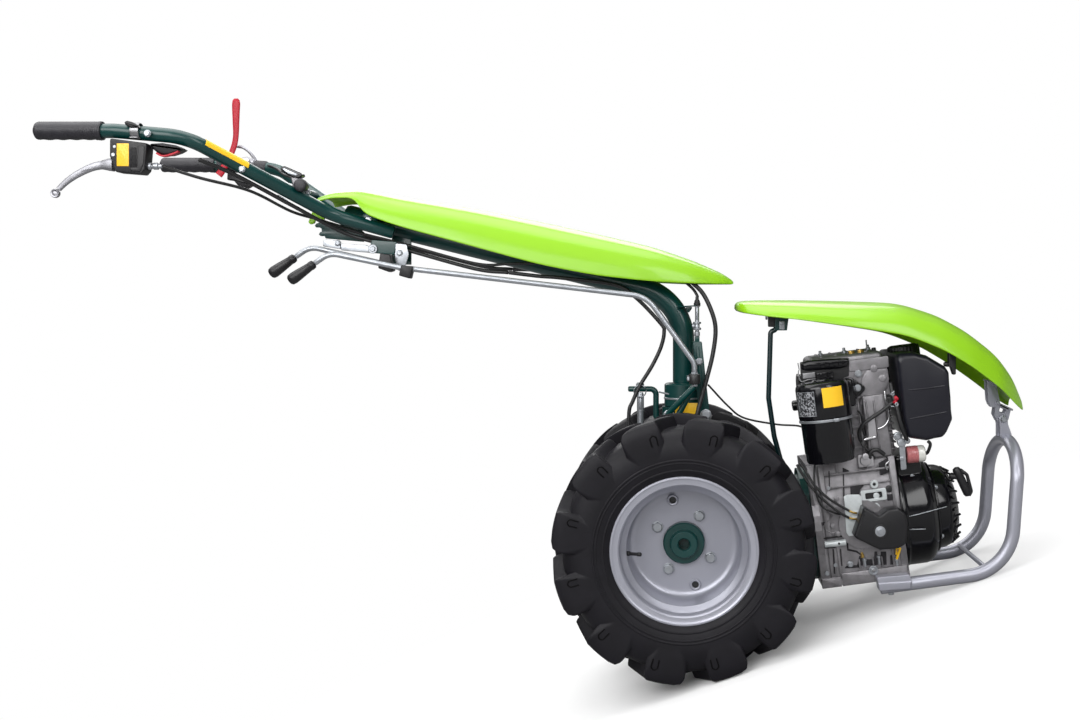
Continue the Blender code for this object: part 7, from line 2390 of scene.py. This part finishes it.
# far bar: its sleeve runs on past the grip to the red lever's bracket
sleeveLine = rounded([barAt(back, 1) for back in (1.075, 1.058, 1.000, 0.955)], 0.05, 4)
onBars("far_sleeve", tube(sleeveLine, 0.0158, 32), "grip", slotName="black_rubber")
bracketFar = flat(
    onPlane(
        "bars", 0.29, (838, 520), (905, 545), (1000, 596), (985, 606), (962, 620), (938, 612), (906, 606),
        (878, 572), (835, 566)
    ),
    0.280, 0.298, 0.003, 0.003
)
onBars("far_bracket", bracketFar, "plastic")
redLine = inSpace(
    "bars", (776, 535, 0.278), (800, 500, 0.278), (860, 385, 0.278), (882, 300, 0.278), (884, 200, 0.278),
    (884, 130, 0.278), (885, 80, 0.278), (885, 54, 0.278)
)
redWide = np.interp(
    np.linspace(0, 1, 48), [0, 0.06, 0.25, 0.55, 0.8, 0.93, 0.98, 1.0],
    [0.0085, 0.0082, 0.0066, 0.0064, 0.0082, 0.0092, 0.0080, 0.0045]
)
redSection = [
    (
        0.42 * math.copysign(abs(math.cos(t)) ** 0.7, math.cos(t)),
        math.copysign(abs(math.sin(t)) ** 0.7, math.sin(t))
    )
    for t in np.linspace(0, 2 * math.pi, 24, endpoint=False)
]
onBars(
    "reverse_lever_shell", carried(spline(redLine, 48), redSection, up=(1.0, 0.0, 0.0), scale=redWide),
    "red", replaces=("reverse_lever",), crease=50
)
blade = carried(
    spline(
        inSpace(
            "bars", (878, 352, 0.30), (930, 362, 0.30), (975, 392, 0.30), (1005, 432, 0.30),
            (1022, 478, 0.30)
        ),
        20
    ),
    [(-0.010, -0.004), (0.010, -0.004), (0.011, 0.0), (0.008, 0.0045), (-0.008, 0.0045), (-0.011, 0.0)],
    scale=np.linspace(0.75, 1.0, 20)
)
bladeFoot = flat(
    onPlane("bars", 0.29, (900, 432), (960, 420), (1008, 452), (1012, 490), (940, 476)), 0.283, 0.303,
    0.003, 0.004
)
onBars(
    "brake_blade",
    together(blade, bladeFoot, bolt(spot("bars", 985, 452, 0.283), "-y", 0.012, 0.004, 0.008)), "lever",
    replaces=("brake_lever",), crease=40
)
cordEnd = spline(inSpace("bars", (1018, 470, 0.30), (1040, 480, 0.295), (1068, 474, 0.29)), 8)
onBars("brake_cable_end", tube(cordEnd, 0.0030, 14), "zinc")
sideCord = spline(
    inSpace(
        "bars", (1066, 474, 0.29), (1110, 480, 0.26), (1150, 502, 0.23), (1185, 532, 0.20),
        (1230, 548, 0.16), (1290, 590, 0.10)
    ),
    30
)
onBars("brake_side_cord", tube(sideCord, 0.0028, 12), "sheathAndShade")

# near bar, in front of the cover: differential lock and its round knob
knobAt = spot("joint", 530, 395, -0.150)
knobShape = lathe(
    [
        (0.0100, 0.020), (0.0118, 0.010), (0.0128, 0.004), (0.0128, -0.006), (0.0115, -0.0095),
        (0.0085, -0.0108)
    ],
    "y", 36, knobAt
)
onBars("diff_lock_shell", knobShape, "grip", replaces=("diff_lock_knob",), crease=50)
cast = flat(
    onPlane("joint", -0.13, (448, 322), (505, 322), (560, 352), (585, 400), (560, 440), (470, 420)),
    -0.140, -0.110, 0.003, 0.004
)
onBars("diff_lock_casting", cast, "aluminium")
frameBar = flat(
    onPlane(
        "joint", -0.13, (366, 246), (404, 232), (548, 292), (560, 318), (520, 340), (440, 318), (378, 284)
    ),
    -0.144, -0.120, 0.0016, 0.003
)
onBars("diff_lock_frame", frameBar, "enamel")
onBars(
    "diff_lock_plate",
    flat(
        onPlane("joint", -0.13, (386, 262), (400, 252), (520, 306), (508, 318), (440, 302)), -0.1452,
        -0.1435, 0.0005, 0.002
    ),
    "zinc"
)
ferrule = spline(inSpace("bars", (1138, 668, -0.105), (1170, 686, -0.099), (1205, 706, -0.093)), 6)
onBars("cable_ferrule", tube(ferrule, 0.0050, 16), "zinc")

# height sector, its lock and the rods' guide, under the cover's end
plateOutline = onPlane(
    "joint", -0.038, (664, 728), (745, 700), (1076, 800), (1076, 888), (745, 858), (735, 836), (702, 838),
    (684, 822), (700, 800), (712, 800), (708, 772), (690, 762), (660, 762), (650, 745)
)
arm = brick((-0.7005, -0.036, 0.6195), (-0.6680, 0.0, 0.6420), 0.002)
piece(
    "sector_plate", together(flat(plateOutline, -0.0385, -0.0300, 0.0010, 0.0016), arm), "green",
    "column", replaces=("height_sector",)
)
tongue = flat(
    onPlane(
        "joint", -0.040, (575, 712), (612, 618), (705, 640), (722, 690), (640, 690), (628, 722),
        (594, 732)
    ),
    -0.026, -0.016, 0.002, 0.003
)
piece("sector_tongue", tongue, "lime", "handlebars")
zincStrip = together(
    flat(
        onPlane("joint", -0.05, (728, 882), (750, 866), (878, 884), (878, 952), (728, 928)), -0.054,
        -0.046, 0.001, 0.002
    ),
    flat(
        onPlane("joint", -0.05, (884, 904), (1108, 918), (1140, 940), (1140, 985), (884, 962)), -0.056,
        -0.050, 0.001, 0.003
    ),
    bolt(spot("joint", 852, 897, -0.054), "-y", 0.009, 0.004, 0.0062),
    bolt(spot("joint", 1156, 950, -0.0565), "-y", 0.010, 0.004, 0.0095)
)
piece("height_lock", zincStrip, "zinc", "column", crease=25)
hanger = {"x": -0.585, "half": 0.020}
guideBody = together(
    flat(
        onPlane("joint", -0.052, (1140, 905), (1150, 870), (1370, 888), (1345, 1002), (1140, 984)),
        -0.0545, -0.0475, 0.0012, 0.003
    ),
    brick(
        (hanger["x"] - hanger["half"], -0.0142, 0.5560), (hanger["x"] + hanger["half"], -0.0082, 0.6140),
        0.001
    ),
    brick(
        (hanger["x"] - hanger["half"], -0.0500, 0.5560), (hanger["x"] + hanger["half"], -0.0082, 0.5620),
        0.001
    )
)
piece("guide_hanger", guideBody, "green", "column", replaces=("rod_guide",))
blocks = [
    flat(
        onPlane("joint", -0.078, (1222, 985), (1310, 1000), (1338, 1140), (1300, 1152), (1205, 1118)),
        -0.082, -0.058, 0.002, 0.003
    ),
    flat(
        onPlane("joint", -0.104, (1404, 1092), (1510, 1100), (1484, 1210), (1384, 1182)), -0.108, -0.084,
        0.002, 0.003
    )
]
piece("guide_blocks", together(*blocks), "plastic", "column")
angle = flat(
    onPlane(
        "joint", -0.06, (1352, 900), (1448, 912), (1468, 1000), (1440, 1090), (1380, 1150), (1345, 1030)
    ),
    -0.0575, -0.0550, 0.0006, 0.003
)
piece(
    "guide_angle", together(angle, bolt(spot("joint", 1390, 985, -0.0577), "-y", 0.008, 0.004, 0.006)),
    "zinc", "column", crease=25
)
pivotDisc = lathe(
    [(0.0150, -0.061), (0.0165, -0.0625), (0.0165, -0.0680), (0.0120, -0.0705)], "y", 32,
    (-0.640, 0, 0.644)
)
onBars("pivot_disc", pivotDisc, "green")
onBars("pivot_bolt", bolt((-0.640, -0.0703, 0.644), "-y", 0.012, 0.005, 0.008), "zinc", crease=25)
print("handlebar controls and height lock")


# guard's feet, hood's hinge and catch


def bothSides(*shapes):
    whole = together(*shapes)
    return together(whole, (whole[0] * (1.0, -1.0, 1.0), whole[1]))


upperFoot = flat(
    onPlane("feet", -0.135, (176, 603), (518, 574), (540, 640), (540, 668), (190, 676)), -0.1345, -0.1060,
    0.0012, 0.002
)
lowerFoot = flat(
    onPlane("feet", -0.136, (188, 662), (545, 640), (545, 660), (528, 722), (204, 748)), -0.1362, -0.1050,
    0.0022, 0.003
)
piece("guard_feet", bothSides(upperFoot, lowerFoot), "silver", "chassis")
cradle = {"rear": 0.376, "length": 0.048, "top": -0.1288, "half": 0.106, "sheet": 0.006}
cradleLow = cradle["top"] - 0.021
rows = [
    (-cradle["half"], cradleLow), (-cradle["half"], cradle["top"]), (cradle["half"], cradle["top"]),
    (cradle["half"], cradleLow), (cradle["half"] - cradle["sheet"], cradleLow),
    (cradle["half"] - cradle["sheet"], cradle["top"] - cradle["sheet"]),
    (-cradle["half"] + cradle["sheet"], cradle["top"] - cradle["sheet"]),
    (-cradle["half"] + cradle["sheet"], cradleLow)
]
piece(
    "cradle_bar",
    slab(roundedOutline(rows, 0.003, 4), "x", cradle["rear"], cradle["rear"] + cradle["length"], 0.0008),
    "silver", "chassis", where="drive", replaces=("guard_cradle",)
)
footBolts = []
for side in (-1, 1):
    footBolts.append(
        bolt(
            (cradle["rear"] + 0.020, side * 0.120, -guard["depth"] - guard["tube"] + 0.0006), "-z", 0.011,
            0.005
        )
    )
    footBolts.append(
        bolt(
            (cradle["rear"] + 0.024, side * 0.085, cradle["top"] - cradle["sheet"]), "-z", 0.013, 0.006,
            0.0085
        )
    )
piece("guard_bolts", together(*footBolts), "zinc", "chassis", where="drive", crease=25)

hinge = {"x": 0.6866, "z": 0.1477, "foot": 0.110}
arms = flat(
    onPlane(
        "hinge", -0.012, (985, 575), (1012, 520), (1120, 560), (1198, 925), (1172, 990), (1085, 1010),
        (1034, 950), (1010, 880)
    ),
    -0.0125, -0.0100, 0.0006, 0.004
)
hingeWeb = flat(
    onPlane("hinge", -0.0, (1100, 560), (1125, 560), (1200, 925), (1176, 930)), -0.0110, 0.0110, 0.0005,
    0.001
)
# the plate at the arms' foot, with a square window, that carries the pin's eye
linkPlate = framed(
    roundedOutline(
        onPlane("whole", 0, (994.5, 401), (1009.5, 408), (1006.5, 420), (996, 421), (992.5, 414)), 0.003,
        3
    ),
    roundedOutline(
        onPlane("whole", 0, (998.5, 407), (1004.5, 409.5), (1003.5, 412.5), (998.5, 412.0), (997.5, 410)),
        0.001, 3
    ),
    "y", -0.0138, -0.0112
)
linkTop = flat(
    onPlane("whole", 0, (994.5, 401), (1011, 408.5), (1010.5, 410.5), (994, 403)), -0.0180, 0.0180,
    0.0005, 0.001
)
piece(
    "hinge_arms", together(bothSides(arms, linkPlate), linkTop, hingeWeb), "silver", "hood",
    replaces=("hood_hinge",), crease=30
)
hingeFoot = bothSides(
    flat(
        onPlane("hinge", -0.02, (1010, 520), (1160, 600), (1150, 620), (1000, 545)), -0.024, -0.0090,
        0.0005, 0.001
    )
)
piece("hinge_flange", hingeFoot, "silver", "hood")
ears = []
for side in (-1, 1):
    low, high = sorted((side * 0.0150, side * 0.0190))
    ears.append(
        flat(
            [
                (hinge["x"] - 0.0120, hinge["foot"]), (hinge["x"] + 0.0140, hinge["foot"]),
                (hinge["x"] + 0.0085, hinge["z"] - 0.012), (hinge["x"] + 0.0090, hinge["z"] + 0.0050),
                (hinge["x"], hinge["z"] + 0.0095), (hinge["x"] - 0.0090, hinge["z"] + 0.0050),
                (hinge["x"] - 0.0085, hinge["z"] - 0.012)
            ],
            low, high, 0.0006, 0.005
        )
    )
pinShape = lathe(
    [(0.0055, -0.0205), (0.0060, -0.0200), (0.0060, 0.0200), (0.0055, 0.0205)], "y", 24,
    (hinge["x"], 0, hinge["z"])
)
pinEnds = [
    bolt((hinge["x"], side * 0.0190, hinge["z"]), "y" if side > 0 else "-y", 0.0105, 0.0045, 0.0072)
    for side in (-1, 1)
]
piece("hinge_ears", together(*ears), "silver", "chassis", where="drive", replaces=("guard_bracket",))
piece("hinge_pin", together(pinShape, *pinEnds), "zinc", "chassis", where="drive", crease=25)
noseTrim = tube(inSpace("hinge", (1222, 962, -0.03), (1300, 1000, -0.03), (1372, 1030, -0.03)), 0.0016, 12)
stopBlock = flat(
    onPlane("hinge", -0.10, (318, 40), (442, 100), (442, 420), (398, 436), (350, 300), (320, 285)),
    -0.106, -0.088, 0.0015, 0.002
)
stopKnob = lathe(
    [(0.0010, -0.008), (0.0040, -0.0068), (0.0053, -0.003), (0.0053, 0.002), (0.0035, 0.006)], "x", 24,
    spot("hinge", 300, 248, -0.097)
)
piece("hood_stop", together(noseTrim, stopBlock, stopKnob), "sheathAndShade", "hood")

catchBlock = flat(
    onPlane("catch", -0.061, (142, 150), (214, 158), (214, 348), (146, 346)), -0.0605, -0.0400, 0.0012,
    0.002
)
catchPlate = flat(
    onPlane("catch", -0.061, (216, 158), (372, 178), (362, 262), (346, 384), (214, 384)), -0.0600,
    -0.0400, 0.0012, 0.002
)
piece("hood_catch", catchBlock, "sheathAndShade", "hood", replaces=("hood_latch",))
piece("hood_catch_plate", catchPlate, "green", "hood")
catchBits = together(
    flat(
        onPlane("catch", -0.0605, (262, 282), (322, 286), (318, 376), (262, 372)), -0.0612, -0.0598,
        0.0003, 0.001
    ),
    bolt(spot("catch", 295, 300, -0.0612), "-y", 0.006, 0.0028, 0.0),
    bolt(spot("catch", 128, 243, -0.050), "-x", 0.008, 0.004, 0.0)
)
piece("hood_catch_fittings", catchBits, "zinc", "hood", crease=25)
propPath = inSpace(
    "whole", (776, 322, -0.05), (776, 330, -0.05), (770.5, 331.5, -0.05), (768.5, 398, -0.05),
    (774, 436, -0.05), (781, 462, -0.05)
)
prop = rounded(propPath, 0.020, 8)
piece("hood_prop_tube", tube(prop, 0.0052, 20), "darkGreen", "chassis", replaces=("hood_prop",))
print("guard's and hood's fittings")


# camera, floor and light

camera = {
    "place": (-0.0157, -2.75, 0.4726), "lens": 44.0, "shift": (-0.126, -0.051),
    "roll": math.degrees(machine["lean"])
}
lensData = bpy.data.cameras.new("camera")
lensData.lens = camera["lens"]
lensData.sensor_width = 36.0
lensData.shift_x, lensData.shift_y = camera["shift"]
eye = bpy.data.objects.new("camera", lensData)
bpy.context.scene.collection.objects.link(eye)
eye.location = inWorld([camera["place"]])[0]
eye.rotation_euler = (math.radians(90), math.radians(camera["roll"]), 0)
bpy.context.scene.camera = eye


def softbox(name, place, aim, size, power, tint=(1, 1, 1)):
    light = bpy.data.lights.new(name, "AREA")
    light.shape = "RECTANGLE"
    light.size, light.size_y = size
    light.energy = power
    light.color = tint
    lamp = bpy.data.objects.new(name, light)
    bpy.context.scene.collection.objects.link(lamp)
    lamp.location = place
    toward = np.array(aim, float) - np.array(place, float)
    lamp.rotation_euler = (
        math.acos(-toward[2] / np.linalg.norm(toward)), 0, math.atan2(toward[1], toward[0]) - math.pi / 2
    )
    return lamp


softbox("key_light", (-1.1, -2.5, 2.4), (0.1, 0, 0.55), (2.4, 1.3), 46)
softbox("front_light", (-0.2, -3.5, 1.7), (0.1, 0, 0.5), (3.0, 1.6), 52)
softbox("fill_light", (1.9, -2.2, 1.5), (0.2, 0, 0.4), (0.8, 1.8), 26)
softbox("rear_light", (0.4, 2.6, 2.4), (0.1, 0, 0.6), (3.0, 1.2), 40)
softbox("top_light", (0.1, -0.1, 3.2), (0.1, 0, 0.5), (4.2, 2.4), 95)

# The world is white to the camera, an even grey to matt surfaces, and to glossy ones it is dark at
# the horizon and bright overhead, as the walls and ceiling of a studio are.
world = bpy.data.worlds.new("studio")
bpy.context.scene.world = world
world.use_nodes = True
sky = world.node_tree
even = sky.nodes["Background"]
even.inputs["Color"].default_value = (1, 1, 1, 1)
even.inputs["Strength"].default_value = 0.40
seen = node(sky, "ShaderNodeBackground", Strength=1.0)
seen.inputs["Color"].default_value = (1, 1, 1, 1)
mirrored = node(sky, "ShaderNodeBackground", Strength=1.0)
height = node(sky, "ShaderNodeSeparateXYZ")
sky.links.new(node(sky, "ShaderNodeTexCoord").outputs["Generated"], height.inputs[0])
walls = node(sky, "ShaderNodeValToRGB")
for place, level in ((0.30, 0.30), (0.50, 0.12), (0.62, 0.10), (0.78, 0.42), (1.0, 1.0)):
    stop = walls.color_ramp.elements.new(place)
    stop.color = (level, level, level, 1)
walls.color_ramp.elements.remove(walls.color_ramp.elements[0])
lift = node(sky, "ShaderNodeMath", operation="MULTIPLY_ADD")
lift.inputs[1].default_value = 0.5
lift.inputs[2].default_value = 0.5
sky.links.new(height.outputs["Z"], lift.inputs[0])
sky.links.new(lift.outputs[0], walls.inputs["Fac"])
sky.links.new(walls.outputs["Color"], mirrored.inputs["Color"])
ray = node(sky, "ShaderNodeLightPath")
forGloss = node(sky, "ShaderNodeMixShader")
forEye = node(sky, "ShaderNodeMixShader")
sky.links.new(ray.outputs["Is Glossy Ray"], forGloss.inputs["Fac"])
sky.links.new(even.outputs[0], forGloss.inputs[1])
sky.links.new(mirrored.outputs[0], forGloss.inputs[2])
sky.links.new(ray.outputs["Is Camera Ray"], forEye.inputs["Fac"])
sky.links.new(forGloss.outputs[0], forEye.inputs[1])
sky.links.new(seen.outputs[0], forEye.inputs[2])
sky.links.new(forEye.outputs[0], sky.nodes["World Output"].inputs["Surface"])

floorSize = {"radius": 9.0, "fadeFrom": 0.15, "fadeTo": 1.35}
floorMesh = bpy.data.meshes.new("floor")
floorSides = 96
floorRim = lathe([(floorSize["radius"], 0.0)], "z", floorSides)[0]
floorMesh.from_pydata(floorRim.tolist(), [], [list(range(floorSides))])
floor = bpy.data.objects.new("floor", floorMesh)
bpy.context.scene.collection.objects.link(floor)
material, tree, shader = finishOf("paleFloor")
shader.inputs["Base Color"].default_value = (0.86, 0.86, 0.86, 1)
shader.inputs["Roughness"].default_value = 0.8
shader.inputs["Specular IOR Level"].default_value = 0.1
glow = node(tree, "ShaderNodeEmission", Strength=1.0)
away = node(tree, "ShaderNodeVectorMath", operation="LENGTH")
tree.links.new(node(tree, "ShaderNodeTexCoord").outputs["Object"], away.inputs[0])
fade = node(tree, "ShaderNodeMapRange")
fade.inputs["From Min"].default_value = floorSize["fadeFrom"]
fade.inputs["From Max"].default_value = floorSize["fadeTo"]
tree.links.new(away.outputs["Value"], fade.inputs["Value"])
blendShader = node(tree, "ShaderNodeMixShader")
tree.links.new(fade.outputs["Result"], blendShader.inputs["Fac"])
tree.links.new(shader.outputs[0], blendShader.inputs[1])
tree.links.new(glow.outputs[0], blendShader.inputs[2])
# to other surfaces the floor is a darker one, so that the machine's underside keeps its depth
dim = node(tree, "ShaderNodeBsdfDiffuse", Color=(0.30, 0.30, 0.30, 1))
whole = node(tree, "ShaderNodeMixShader")
tree.links.new(node(tree, "ShaderNodeLightPath").outputs["Is Camera Ray"], whole.inputs["Fac"])
tree.links.new(dim.outputs[0], whole.inputs[1])
tree.links.new(blendShader.outputs[0], whole.inputs[2])
tree.links.new(whole.outputs[0], tree.nodes["Material Output"].inputs["Surface"])
floorMesh.materials.append(material)

bpy.context.scene.view_settings.view_transform = "Standard"
print("camera, floor and light")
